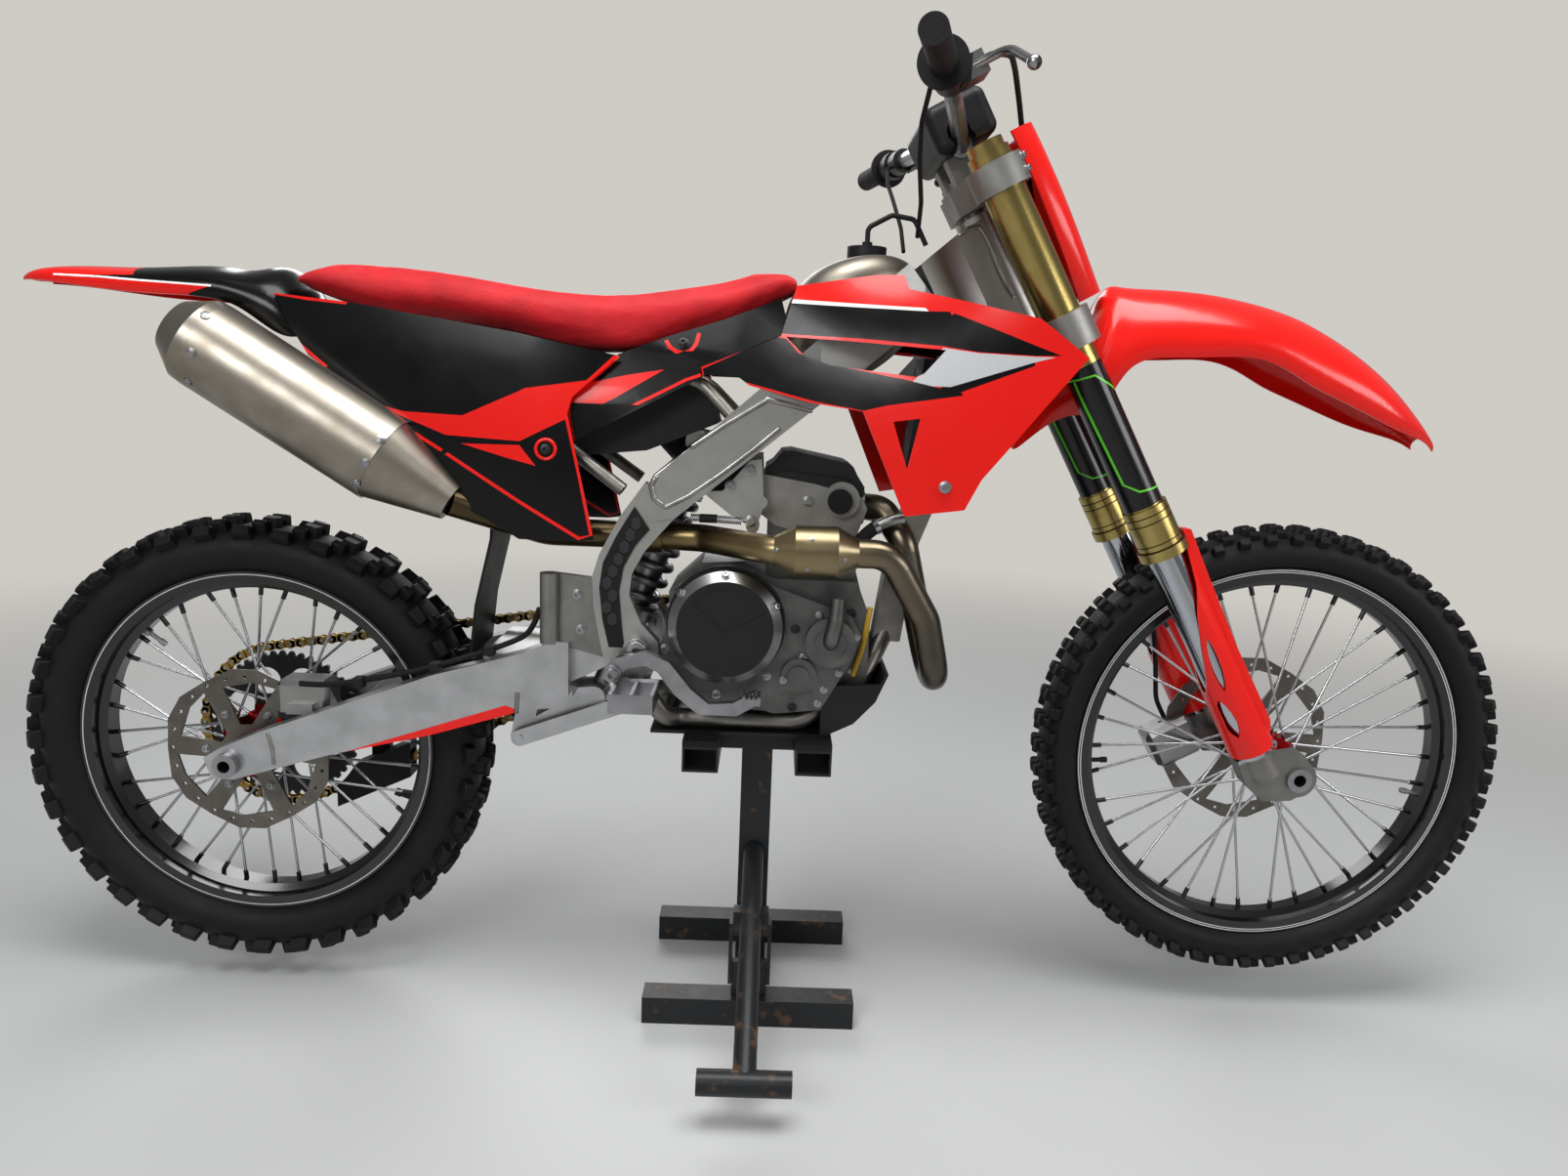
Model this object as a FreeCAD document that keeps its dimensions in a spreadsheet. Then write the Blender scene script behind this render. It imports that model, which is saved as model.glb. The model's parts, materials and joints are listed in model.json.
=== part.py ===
import FreeCAD, Part
import math
import os
import re
import Sketcher
import PartDesign

# A motocross bike on its paddock stand. Millimetres, +X ahead, +Y to the rider's left, +Z up.
# The origin is on the floor, under the middle of the stand.

V = FreeCAD.Vector
Placement = FreeCAD.Placement
Rotation = FreeCAD.Rotation
X_AXIS, Y_AXIS, Z_AXIS = V(1, 0, 0), V(0, 1, 0), V(0, 0, 1)
ORIGIN = V(0, 0, 0)
FULL_TURN = 360

# Driving dimensions, one spreadsheet cell each. Names that end in x or z are places along
# the bike and above the floor.
SIZES = {
    # axles and steering geometry
    "rear_axle_x": -729, "rear_axle_z": 359, "front_axle_x": 753, "front_axle_z": 393,
    "rake_angle": 29, "axle_lead": 37, "stem_offset": 22,
    "overrun": 2, "fit_gap": 0.2, "running_gap": 0.5, "moving_gap": 6,
    # wheels
    "rim_wall": 4, "rim_flange_tall": 13, "rim_drop": 10,
    "front_rim_radius": 281, "front_rim_wide": 54, "rear_rim_radius": 255, "rear_rim_wide": 68,
    "front_tyre_radius": 343, "front_tyre_wide": 86, "rear_tyre_radius": 334, "rear_tyre_wide": 106,
    "front_lug_count": 35, "rear_lug_count": 32, "front_lug_tall": 12, "rear_lug_tall": 15,
    "front_lug_long": 19, "rear_lug_long": 24,
    "hub_radius": 22, "hub_bore_radius": 12.5, "flange_thick": 6,
    "front_hub_half": 66, "front_flange_radius": 34, "front_flange_side": 34,
    "rear_hub_half": 82, "rear_flange_radius": 46, "rear_flange_side": 38,
    "spoke_radius": 2, "spoke_count": 36, "nipple_radius": 3.4, "nipple_long": 16,
    "front_disc_radius": 130, "rear_disc_radius": 120, "disc_thick": 3.5, "disc_band": 18,
    "disc_side": 58, "disc_arm": 16,
    # final drive
    "rear_tooth_count": 49, "front_tooth_count": 13, "chain_pitch": 15.875,
    "sprocket_window_count": 8, "disc_wave_count": 6, "disc_hole_count": 24,
    "sprocket_thick": 5.8, "tooth_deep": 6, "tooth_gap": 1.2, "chain_side": 68,
    "link_half_tall": 7.5, "link_waist": 2, "chain_half": 7.8,
    "countershaft_x": -102, "countershaft_z": 550, "countershaft_radius": 12,
    # axles
    "axle_radius": 12, "axle_bore_radius": 8.5, "front_axle_half": 130, "rear_axle_half": 132,
    "nut_radius": 17, "nut_tall": 12,
    # fork, clamps and bar, along the fork's own line
    "fork_side": 107, "outer_tube_radius": 28, "slider_radius": 24.5, "slider_low": 20,
    "collar_radius": 33, "collar_tall": 14, "outer_low": 372, "wrap_low": 444, "wrap_radius": 26,
    "fork_top": 945, "cap_radius": 24, "cap_tall": 12,
    "lower_clamp_low": 675, "lower_clamp_tall": 46, "upper_clamp_low": 893, "upper_clamp_tall": 37,
    "clamp_wall": 9, "clamp_back": 26, "clamp_back_half": 34, "clamp_ahead": 20, "stem_radius": 14,
    "foot_half_wide": 17, "foot_high": 62, "foot_back": 30, "foot_ahead": 62, "foot_low": 24,
    "guard_wall": 3, "guard_side": 30, "guard_back": 40, "guard_ahead": 42, "guard_top": 396,
    "bar_radius": 11.1, "bar_centre_radius": 14.3, "bar_ahead": -15, "bar_up": 972,
    "bar_straight_half": 62, "bar_knee_side": 165, "bar_half_wide": 400, "bar_rise": 46,
    "bar_tip_rise": 28, "bar_knee_back": 9, "bar_tip_back": 50, "bar_bend": 60,
    "bar_mount_side": 38, "bar_mount_wide": 26, "bar_mount_wall": 9,
    "grip_radius": 16, "grip_long": 114, "grip_flange_radius": 29, "grip_flange_thick": 5,
    "perch_gap": 16, "perch_wide": 30, "perch_radius": 18, "housing_radius": 21, "housing_wide": 34,
    "reservoir_long": 34, "reservoir_wide": 44, "reservoir_tall": 26, "reservoir_ahead": 24,
    "lever_radius": 5, "lever_reach": 62, "lever_drop": 44, "lever_inset": 64, "lever_ball_radius": 8,
    "pad_long": 84, "pad_wide": 190, "pad_tall": 64, "pad_round": 14, "pad_ahead": 6, "pad_up": 26,
    # front plastics
    "fender_wall": 3, "fender_half_wide": 84, "fender_long": 600, "fender_tall": 175,
    "fender_back": 62, "fender_down": 86,
    "plate_wall": 3, "plate_ahead": 84, "plate_low": 722, "plate_high": 958, "plate_half_wide": 92,
    "plate_wrap": 40,
    # front brake
    "caliper_back": 120, "caliper_up": 52, "caliper_long": 74, "caliper_tall": 62, "caliper_wide": 52,
    "pad_slot": 6, "hose_radius": 3.6, "hose_ahead": 60,
    # frame
    "pivot_x": -170, "pivot_z": 542, "head_low": 728, "head_high": 887, "head_radius": 30,
    "head_gusset_back": 105, "head_gusset_half": 34,
    "spar_thick": 28, "spar_low_x": -140, "spar_low_z": 745, "spar_high_x": 200, "spar_high_z": 1040,
    "spar_low_side": 104, "spar_high_side": 54, "spar_low_tall": 58, "spar_high_tall": 72,
    "web_side": 92, "web_thick": 20, "web_back_x": -232, "web_front_x": -118,
    "web_low_z": 500, "web_high_z": 775, "pivot_bolt_radius": 9,
    "frame_guard_thick": 4,
    "down_tube_deep": 40, "down_tube_wide": 46, "down_tube_top_x": 306, "down_tube_top_z": 985,
    "down_tube_mid_x": 199, "down_tube_mid_z": 690, "down_tube_low_x": 180, "down_tube_low_z": 545,
    "cradle_radius": 13, "cradle_side": 80, "cradle_front_x": 142,
    "cradle_nose_x": 58, "cradle_tail_x": -110, "cradle_back_x": -172, "cradle_bend": 40,
    "subframe_radius": 9, "subframe_side": 82, "subframe_tail_x": -600, "subframe_tail_z": 972,
    "subframe_top_x": -95, "subframe_top_z": 905, "subframe_foot_x": -192, "subframe_foot_z": 757,
    "subframe_strut_x": -470, "subframe_strut_z": 930,
    # swingarm, shock and linkage
    "arm_back_x": -762, "arm_front_x": -262, "arm_high_z": 549, "arm_low_z": 335,
    "arm_inner_back": 90, "arm_outer_back": 120, "arm_inner_front": 82, "arm_outer_front": 114,
    "guide_back_x": -650, "guide_front_x": -536, "guide_half_tall": 28, "guide_room": 14, "guide_inner": 52,
    "guide_outer": 84, "guide_wall": 6, "guide_strap_x": -590,
    "arm_pivot_radius": 20, "bridge_back_x": -385, "bridge_front_x": -262,
    "bridge_low_z": 462, "bridge_high_z": 522,
    "shock_top_x": -100, "shock_top_z": 822, "shock_low_x": -240, "shock_low_z": 448,
    "shock_radius": 24, "spring_turn_count": 7, "spring_radius": 37, "spring_wire": 6,
    "shock_eye_radius": 16, "shock_eye_half": 17,
    "link_rear_x": -346, "link_rear_z": 385, "link_front_x": -182, "link_front_z": 446,
    "link_radius": 15, "link_half": 30, "link_thick": 12, "rocker_x": -335, "rocker_z": 440,
    # engine
    "case_back_x": -165, "case_front_x": 150, "case_low_z": 447, "case_high_z": 640, "case_half": 78,
    "cylinder_back_x": 2, "cylinder_front_x": 128, "cylinder_high_z": 706, "cylinder_half": 62,
    "head_back_x": -11, "head_front_x": 139, "head_low_z": 685, "engine_head_high_z": 786,
    "engine_head_half": 66,
    "cover_high_z": 816, "cover_half": 58, "hanger_thick": 8, "hanger_boss_radius": 9,
    "clutch_x": -49, "clutch_z": 580, "clutch_radius": 77, "clutch_out": 142, "clutch_rim": 12,
    "sector_start_angle": 23, "sector_end_angle": 143, "sector_radius": 58, "sector_deep": 1.5,
    "pump_x": 94, "pump_z": 562, "pump_radius": 34, "pump_out": 122, "elbow_radius": 11, "elbow_side": 130,
    "elbow_tall": 62,
    "cam_boss_out": 12, "filter_x": 53, "filter_z": 513, "filter_radius": 24, "filter_out": 116,
    "generator_x": 52, "generator_z": 562, "generator_radius": 62, "generator_out": 118,
    "right_case_out": 104, "right_back_x": -139, "right_front_x": 138, "right_low_z": 455,
    "right_high_z": 650,
    # intake and exhaust
    "intake_radius": 24, "intake_x": -98, "intake_z": 806, "intake_side": 58,
    "airbox_back_x": -430, "airbox_low_z": 735, "airbox_high_z": 930, "airbox_half": 74, "flap_wall": 4,
    "flap_half_wide": 58,
    "flap_low_x": -412, "flap_low_z": 512, "flap_top_x": -378, "flap_top_z": 748,
    "header_radius": 19, "port_x": 138, "port_z": 738, "port_side": 12,
    "header_low_x": 236, "header_low_z": 520, "header_bend": 42, "header_out_side": 150,
    "header_run_z": 692, "header_in_side": 58, "bulge_radius": 34, "bulge_back_x": 12, "bulge_front_x": 122,
    "bulge_side": 160, "joint_x": -128, "joint_radius": 26, "mid_pipe_x": -300, "mid_pipe_z": 692,
    "muffler_low_x": -500, "muffler_low_z": 786, "muffler_angle": 31.5, "muffler_radius": 59,
    "muffler_long": 262, "muffler_side": 122, "muffler_cone": 100, "muffler_cap": 46,
    "cap_end_radius": 36, "outlet_radius": 20, "outlet_deep": 90,
    # radiators, tank and seat
    "radiator_thick": 36, "radiator_inner": 62, "radiator_outer": 152, "radiator_top_x": 258,
    "radiator_top_z": 950, "radiator_low_x": 236, "radiator_low_z": 752,
    "tank_back_x": 20, "tank_front_x": 188, "tank_low_z": 905, "tank_high_z": 1077, "tank_half": 92,
    "tank_cap_x": 125, "tank_cap_radius": 27, "tank_cap_low_z": 1072, "tank_cap_high_z": 1094,
    "vent_radius": 3.5, "vent_rise": 44, "vent_end_x": 206, "vent_end_z": 1100,
    "seat_back_x": -640, "seat_front_x": 32, "seat_low_z": 939, "seat_high_z": 1059, "seat_half": 78,
    # body panels
    "panel_wall": 3, "panel_boss_x": -291, "panel_back_x": -654, "panel_front_x": -199, "panel_low_z": 690,
    "panel_high_z": 995, "mid_back_x": -265, "mid_front_x": 24, "mid_low_z": 821, "mid_high_z": 1016,
    "mid_out": 118, "mid_in": 60, "mid_peg_x": -200,
    "panel_out": 132,
    "shroud_back_x": -92, "shroud_front_x": 393, "shroud_low_z": 744, "shroud_high_z": 1048,
    "shroud_in": 98, "shroud_out": 186,
    "tail_back_x": -1012, "tail_front_x": -560, "tail_low_z": 940, "tail_high_z": 1027, "tail_half": 80,
    # foot controls and rear brake
    "peg_x": -166, "peg_z": 490, "peg_side": 108, "peg_out": 202, "peg_long": 58, "peg_tall": 26,
    "peg_tooth_deep": 6, "peg_tooth_wide": 7, "peg_tooth_count": 8,
    "pedal_pivot_x": -196, "pedal_pivot_z": 517, "pedal_side": 138, "pedal_wide": 14, "pedal_tip_out": 176,
    "pedal_tip_x": -4, "pedal_tip_z": 492, "pedal_tall": 18, "tread_groove_count": 3, "pedal_low_z": 468,
    "pedal_high_z": 531,
    "gear_x": -50, "gear_z": 515, "gear_tip_x": 60, "gear_tip_z": 528, "gear_side": 118, "gear_radius": 8,
    "gear_tip_out": 162,
    "master_x": -289, "master_high_z": 642, "master_low_z": 545, "master_radius": 13, "master_side": 106,
    "rear_caliper_x": -640, "rear_caliper_z": 440,
    # skid plate
    "skid_wall": 5, "skid_half": 100, "skid_back_x": -150, "skid_front_x": 178, "skid_high_z": 515,
    # stand
    "stand_long": 302, "stand_beam": 40, "stand_half_wide": 140, "column_wide": 45, "tube_wall": 3,
    "platform_x": 78, "platform_tube": 50, "platform_tall": 36, "platform_half": 130,
    "platform_top_z": 411, "tread_thick": 9,
    "stand_lever_z": 218, "treadle_side": 352, "treadle_z": 58,
    "treadle_radius": 16, "treadle_half": 59, "stand_lever_radius": 15,
    "link_bar_thick": 5, "link_bar_wide": 22, "link_bar_x": 30,
    # control cables
    "cable_radius": 3, "cable_end_x": 184, "cable_end_side": 78, "cable_end_z": 1100,
}


class Sizes:
    """Reads a driving dimension from the sheet by its name."""

    def __getattr__(self, name):
        return float(sheet.get(name))


doc = FreeCAD.newDocument("dirt_bike")
sheet = doc.addObject("Spreadsheet::Sheet", "sizes")
for row, (alias, number) in enumerate(SIZES.items(), 1):
    sheet.set(f"A{row}", alias.replace("_", " "))
    sheet.set(f"B{row}", str(number))
    sheet.setAlias(f"B{row}", alias)
doc.recompute()
s = Sizes()
nodes = []


def formula(text):
    """A formula in plain size names, as the document's own expression."""
    return re.sub(r"\b(" + "|".join(SIZES) + r")\b", r"sizes.\1", text)


def worked_out(text):
    """The value that a formula has now."""
    found = sheet.evalExpression(formula(text))
    return float(getattr(found, "Value", found))


def bind(thing, **formulas):
    """Ties properties of a document object to formulas in size names."""
    for name, text in formulas.items():
        thing.setExpression(name.replace("__", "."), formula(text))
    return thing


def node(thing, label):
    """Names a finished sub-part, whose label is its file's name."""
    thing.Label = label
    nodes.append(thing)
    return thing


def solid_node(shape, label, placement=None):
    """A sub-part whose form neither a body nor a primitive fits."""
    thing = doc.addObject("Part::Feature", label)
    thing.Shape = shape
    if placement:
        thing.Placement = placement
    return node(thing, label)


# Bodies and sketches
def new_body(label):
    return node(doc.addObject("PartDesign::Body", label), label)


def new_sketch(body, name, role, lift=None):
    sketch = body.newObject("Sketcher::SketchObject", name)
    plane = [f for f in body.Origin.OriginFeatures if f.Role == role][0]
    sketch.AttachmentSupport = [(plane, "")]
    sketch.MapMode = "FlatFace"
    if lift:
        bind(sketch, AttachmentOffset__Base__z=lift)
    return sketch


def draw_outline(sketch, corners):
    """A closed outline whose corners are pairs of formulas."""
    places = [V(worked_out(a), worked_out(b), 0) for a, b in corners]
    first = sketch.GeometryCount
    count = len(places)
    for i in range(count):
        sketch.addGeometry(Part.LineSegment(places[i], places[(i + 1) % count]))
    for i in range(count):
        following = first + (i + 1) % count
        sketch.addConstraint(Sketcher.Constraint("Coincident", first + i, 2, following, 1))
    for i, (corner, at) in enumerate(zip(corners, places)):
        for kind, text, value in (("DistanceX", corner[0], at.x), ("DistanceY", corner[1], at.y)):
            index = sketch.addConstraint(Sketcher.Constraint(kind, -1, 1, first + i, 1, value))
            sketch.setExpression(f"Constraints[{index}]", formula(text))
    return sketch


def draw_circle(sketch, across, up, radius):
    """A circle whose centre and radius are formulas."""
    middle = V(worked_out(across), worked_out(up), 0)
    circle = sketch.addGeometry(Part.Circle(middle, Z_AXIS, worked_out(radius)))
    for kind, text, value in (("DistanceX", across, middle.x), ("DistanceY", up, middle.y)):
        index = sketch.addConstraint(Sketcher.Constraint(kind, -1, 1, circle, 3, value))
        sketch.setExpression(f"Constraints[{index}]", formula(text))
    index = sketch.addConstraint(Sketcher.Constraint("Radius", circle, worked_out(radius)))
    sketch.setExpression(f"Constraints[{index}]", formula(radius))
    return sketch


def pad(body, sketch, length, symmetric=False, reverse=False):
    feature = body.newObject("PartDesign::Pad", sketch.Name + "_pad")
    feature.Profile = sketch
    feature.SideType = "Symmetric" if symmetric else "One side"
    feature.Reversed = reverse
    return bind(feature, Length=length)


def pocket(body, sketch, length, symmetric=False, reverse=False):
    feature = body.newObject("PartDesign::Pocket", sketch.Name + "_pocket")
    feature.Profile = sketch
    feature.SideType = "Symmetric" if symmetric else "One side"
    feature.Reversed = reverse
    return bind(feature, Length=length)


def revolve(body, sketch, axis="H_Axis"):
    feature = body.newObject("PartDesign::Revolution", sketch.Name + "_turned")
    feature.Profile = sketch
    feature.ReferenceAxis = (sketch, [axis])
    feature.Angle = FULL_TURN
    return feature


def pattern_round(body, feature, sketch, count):
    """Repeats a feature round its sketch's normal."""
    pattern = body.newObject("PartDesign::PolarPattern", feature.Name + "_ring")
    pattern.Originals = [feature]
    pattern.Axis = (sketch, ["N_Axis"])
    pattern.Angle = FULL_TURN
    pattern.Occurrences = count
    body.Tip = pattern
    return pattern


# Frames that pieces are placed in
def put_at(thing, ahead="0", side="0", high="0"):
    return bind(thing, Placement__Base__x=ahead, Placement__Base__y=side, Placement__Base__z=high)


def on_front_wheel(thing):
    return put_at(thing, "front_axle_x", "0", "front_axle_z")


def on_rear_wheel(thing):
    return put_at(thing, "rear_axle_x", "0", "rear_axle_z")


def fork_place():
    """The fork's frame: x ahead of the fork line, z up along it from beside the axle."""
    lean = math.radians(s.rake_angle)
    foot_x = s.front_axle_x - s.axle_lead * math.cos(lean)
    foot_z = s.front_axle_z - s.axle_lead * math.sin(lean)
    return Placement(V(foot_x, 0, foot_z), Rotation(Y_AXIS, -s.rake_angle))


def fork_point(ahead, side, up):
    """A point of the fork's frame, in the bike's own."""
    return fork_place().multVec(V(ahead, side, up))


# Shapes made with Part's functions
def cylinder(start, end, radius):
    return Part.makeCylinder(radius, (end - start).Length, start, end - start)


def cone(start, end, radius, end_radius):
    return Part.makeCone(radius, end_radius, (end - start).Length, start, end - start)


def box(low, high):
    return Part.makeBox(high.x - low.x, high.y - low.y, high.z - low.z, low)


def tube_path(points, bend):
    """Straight runs joined by tangent arcs, each as large as asked or as its runs allow."""
    edges = []
    last = points[0]
    for before, corner, after in zip(points, points[1:], points[2:]):
        back, on = (before - corner), (after - corner)
        room = min(back.Length, on.Length) / 2.2
        back.normalize()
        on.normalize()
        half = back.getAngle(on) / 2
        radius = min(bend, room * math.tan(half))
        reach = radius / math.tan(half)
        along = back + on
        along.normalize()
        middle = corner + along * (radius / math.sin(half))
        start, end = corner + back * reach, corner + on * reach
        crest = middle - along * radius
        edges += [Part.makeLine(last, start), Part.Arc(start, crest, end).toShape()]
        last = end
    edges.append(Part.makeLine(last, points[-1]))
    return Part.Wire(edges)


def sweep(path, radius):
    """A round bar along a path."""
    first = path.OrderedEdges[0]
    start = first.valueAt(first.FirstParameter)
    ring = Part.Wire(Part.makeCircle(radius, start, first.tangentAt(first.FirstParameter)))
    return path.makePipeShell([ring], True, False)


def bent_tube(points, bend, radius, bore=0):
    path = tube_path(points, bend)
    made = sweep(path, radius)
    return made.cut(sweep(path, bore)) if bore else made


def prism(points, along):
    """The solid that a closed outline sweeps."""
    return Part.Face(Part.makePolygon(points + [points[0]])).extrude(along)


def framed(shares, low, high):
    """Outline shares of the box between two corners, as (ahead, high) places."""
    wide, tall = high[0] - low[0], high[1] - low[1]
    return [(low[0] + a * wide, low[1] + b * tall) for a, b in shares]


def across(outline, low_side, high_side):
    """A prism across the bike over an outline of (ahead, high) places."""
    return prism([V(x, low_side, z) for x, z in outline], V(0, high_side - low_side, 0))


def mirrored(shape):
    return shape.mirror(ORIGIN, Y_AXIS)


def both_sides(shape):
    return Part.makeCompound([shape, mirrored(shape)])


def smooth_wire(points):
    curve = Part.BSplineCurve()
    curve.interpolate(points)
    return curve.toShape()


def skin(stations, wall, lie=X_AXIS):
    """A curved wall through stations that lie square to one axis, each a run of outer points."""
    sections = []
    for outer in stations:
        inner = []
        for i, point in enumerate(outer):
            along = outer[min(i + 1, len(outer) - 1)] - outer[max(i - 1, 0)]
            inward = along.cross(lie)
            inward.normalize()
            inner.append(point + inward * wall)
        sections.append(Part.Wire([
            smooth_wire(outer), Part.makeLine(outer[-1], inner[-1]),
            smooth_wire(inner), Part.makeLine(inner[0], outer[0]),
        ]))
    return Part.makeLoft(sections, True, False)


def rounded_section(ahead, half, low, high, corner, back=0):
    """An upright rounded rectangle across the bike, leant back by its height."""
    def at(side, up):
        return V(ahead - back * up, side, up)

    r = min(corner, half * 0.95, (high - low) / 2 * 0.95)
    c = r * (1 - math.sqrt(0.5))
    edges = []
    corners = [
        (at(half - r, low), at(half - c, low + c), at(half, low + r)),
        (at(half, high - r), at(half - c, high - c), at(half - r, high)),
        (at(r - half, high), at(c - half, high - c), at(-half, high - r)),
        (at(-half, low + r), at(c - half, low + c), at(r - half, low)),
    ]
    for i, (start, crest, end) in enumerate(corners):
        edges.append(Part.Arc(start, crest, end).toShape())
        edges.append(Part.makeLine(end, corners[(i + 1) % 4][0]))
    return Part.Wire(edges)


def flat_solid(outlines):
    """A solid closed by flat faces with these outlines."""
    shell = Part.makeShell([Part.Face(Part.makePolygon(run + run[:1])) for run in outlines])
    shell.sewShape()
    made = Part.makeSolid(shell)
    if made.Volume < 0:
        made.reverse()
    return made


def round_axle(side, radius, turn):
    """A point at a turn about a wheel's axle, in radians."""
    return V(radius * math.cos(turn), side, radius * math.sin(turn))


# Wheels
def rim(which):
    """A drop-centre rim, turned about the axle."""
    body = new_body(f"{which}_rim")
    sketch = new_sketch(body, f"{which}_rim_section", "YZ_Plane")
    half, edge = f"{which}_rim_wide / 2", f"{which}_rim_radius"
    seat = f"{edge} - rim_flange_tall"
    well = f"{seat} - rim_drop"
    outside = [
        (f"{half} - rim_wall", edge), (half, edge), (half, f"{seat} - rim_wall"),
        (f"{half} / 2", f"{seat} - rim_wall"), (f"{half} / 3", f"{well} - rim_wall"),
    ]
    channel = [(f"{half} / 3", well), (f"{half} / 2", seat), (f"{half} - rim_wall", seat)]
    far_side = [(f"-({a})", b) for a, b in reversed(outside)]
    far_channel = [(f"-({a})", b) for a, b in reversed(channel)]
    draw_outline(sketch, outside + far_side + far_channel + channel)
    revolve(body, sketch)
    return body


def lug(section, radius, long, turn):
    """A block of the tread: its section across the tyre, drawn out along the way it rolls."""
    along = V(-math.sin(turn), 0, math.cos(turn)) * long
    start = [round_axle(side, radius + up, turn) - along * 0.5 for side, up in section]
    return prism(start, along)


def tyre(which, axle):
    """A tyre of flat facets, one to each pitch of its tread, with shoulder and middle lugs fused on."""
    read = {name: getattr(s, f"{which}_{name}") for name in (
        "rim_radius", "rim_wide", "tyre_radius", "tyre_wide", "lug_count", "lug_tall", "lug_long")}
    count = int(read["lug_count"])
    step = 2 * math.pi / count
    tall, tip = read["lug_tall"], read["tyre_radius"]
    bead = read["rim_wide"] / 2 - s.rim_wall
    seat = (read["rim_radius"] - s.rim_flange_tall) / math.cos(step / 2)
    edge = (read["rim_radius"] + s.fit_gap) / math.cos(step / 2)
    top = tip - tall
    half = read["tyre_wide"] / 2
    # side and height of the carcass, shares of its half width and of its rise over the rim
    carcass_shares = [(0.94, 0.6), (0.5, 1)]
    left = [(bead, seat), (bead, edge)] + [(half * a, edge + (top - edge) * b) for a, b in carcass_shares]
    profile = left + [(-a, b) for a, b in reversed(left)]
    flats = []
    for i in range(count):
        here, there = step * i, step * ((i + 1) % count)
        for (a, b), (c, d) in zip(profile, profile[1:] + profile[:1]):
            flats.append([round_axle(a, b, here), round_axle(c, d, here), round_axle(c, d, there),
                          round_axle(a, b, there)])
    carcass = flat_solid(flats)
    # each lug's corners, shares of the tyre's half width and of the lug's height over the carcass
    shoulder_shares = [(0.56, -0.9), (0.84, -1.15), (1, 0.4), (0.6, 0.94)]
    middle_shares = [(-0.42, -0.6), (0.42, -0.6), (0.38, 1), (-0.38, 1)]
    lugs = []
    for i in range(count):
        for share, side, shares in ((0.26, 1, shoulder_shares), (0.26, -1, shoulder_shares),
                                    (0.74, 1, middle_shares)):
            section = [(side * half * a, tall * b) for a, b in shares]
            lugs.append(lug(section, top, read["lug_long"], step * (i + share)))
    return solid_node(carcass.multiFuse(lugs), f"{which}_tyre", Placement(axle, Rotation()))


def spokes(flange_side, flange_radius, rim_radius):
    """Laced spokes: each leaves a flange on a slant and ends in a nipple at the rim."""
    count = int(s.spoke_count)
    made = []
    for i in range(count):
        side = 1 if i % 2 else -1
        slant = 1 if (i // 2) % 2 else -1
        turn = math.radians(FULL_TURN * i / count)
        lean = turn - slant * math.radians(FULL_TURN / 6)
        start = V(flange_radius * math.cos(lean), side * flange_side, flange_radius * math.sin(lean))
        end = V(rim_radius * math.cos(turn), side * s.nipple_radius, rim_radius * math.sin(turn))
        back = start - end
        back.normalize()
        made.append(cylinder(start, end, s.spoke_radius))
        made.append(cylinder(end + back * s.nipple_long, end, s.nipple_radius))
    return made


def hub(which, axle):
    """A hub with two spoke flanges, turned about the axle, and its laced spokes."""
    half, flange, flange_side = (getattr(s, f"{which}_{n}")
                                 for n in ("hub_half", "flange_radius", "flange_side"))
    seat = getattr(s, f"{which}_rim_radius") - s.rim_flange_tall
    rim_radius = seat - s.rim_drop - s.rim_wall
    barrel = cylinder(V(0, -half, 0), V(0, half, 0), s.hub_radius)
    thick = s.flange_thick / 2
    pieces = []
    for side in (-1, 1):
        middle = side * flange_side
        pieces.append(cylinder(V(0, middle - thick, 0), V(0, middle + thick, 0), flange))
    pieces += spokes(flange_side, flange - s.flange_thick, rim_radius + s.overrun)
    bore = cylinder(V(0, -half - s.overrun, 0), V(0, half + s.overrun, 0), s.hub_bore_radius)
    within = cylinder(V(0, -half - s.overrun, 0), V(0, half + s.overrun, 0), rim_radius)
    made = barrel.multiFuse(pieces).cut(bore).common(within)
    return solid_node(made, f"{which}_hub_spokes", Placement(axle, Rotation()))


def brake_disc(which, side):
    """A floating disc on its arms, bolted to the hub, with a wavy outer edge."""
    body = new_body(f"{which}_disc")
    middle = f"{side} * disc_side"
    face = new_sketch(body, f"{which}_disc_face", "XZ_Plane", middle)
    waves, holes = int(s.disc_wave_count), int(s.disc_hole_count)
    turn = 180 / waves
    corners = []
    for i in range(waves * 2):
        for share, radius in ((-0.3, 1), (0.3, 1)) if i % 2 else ((0, 0.955),):
            corners.append((f"{which}_disc_radius * {radius} * cos(1deg * {turn * (i + share):.4g})",
                            f"{which}_disc_radius * {radius} * sin(1deg * {turn * (i + share):.4g})"))
    draw_outline(face, corners)
    draw_circle(face, "0", "0", "hub_radius + fit_gap")
    pad(body, face, "disc_thick", symmetric=True)
    inner, outer = "(hub_radius + disc_arm)", f"({which}_disc_radius - disc_band)"
    window = new_sketch(body, f"{which}_disc_window", "XZ_Plane", middle)
    draw_outline(window, [
        (f"{inner} * 0.94", f"{inner} * 0.34"), (f"{outer} * 0.99", "disc_arm * 0.6"),
        (f"{outer} * 0.9", f"{outer} * 0.4"), (f"{outer} * 0.62", f"{outer} * 0.72"),
        (f"{inner} * 0.72", f"{inner} * 0.7"),
    ])
    pattern_round(body, pocket(body, window, "disc_thick * 4", symmetric=True), window, waves)
    hole = new_sketch(body, f"{which}_disc_hole", "XZ_Plane", middle)
    draw_circle(hole, f"{which}_disc_radius - disc_band * 0.68", "0", "disc_band / 7")
    pattern_round(body, pocket(body, hole, "disc_thick * 4", symmetric=True), hole, holes)
    return body


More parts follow.
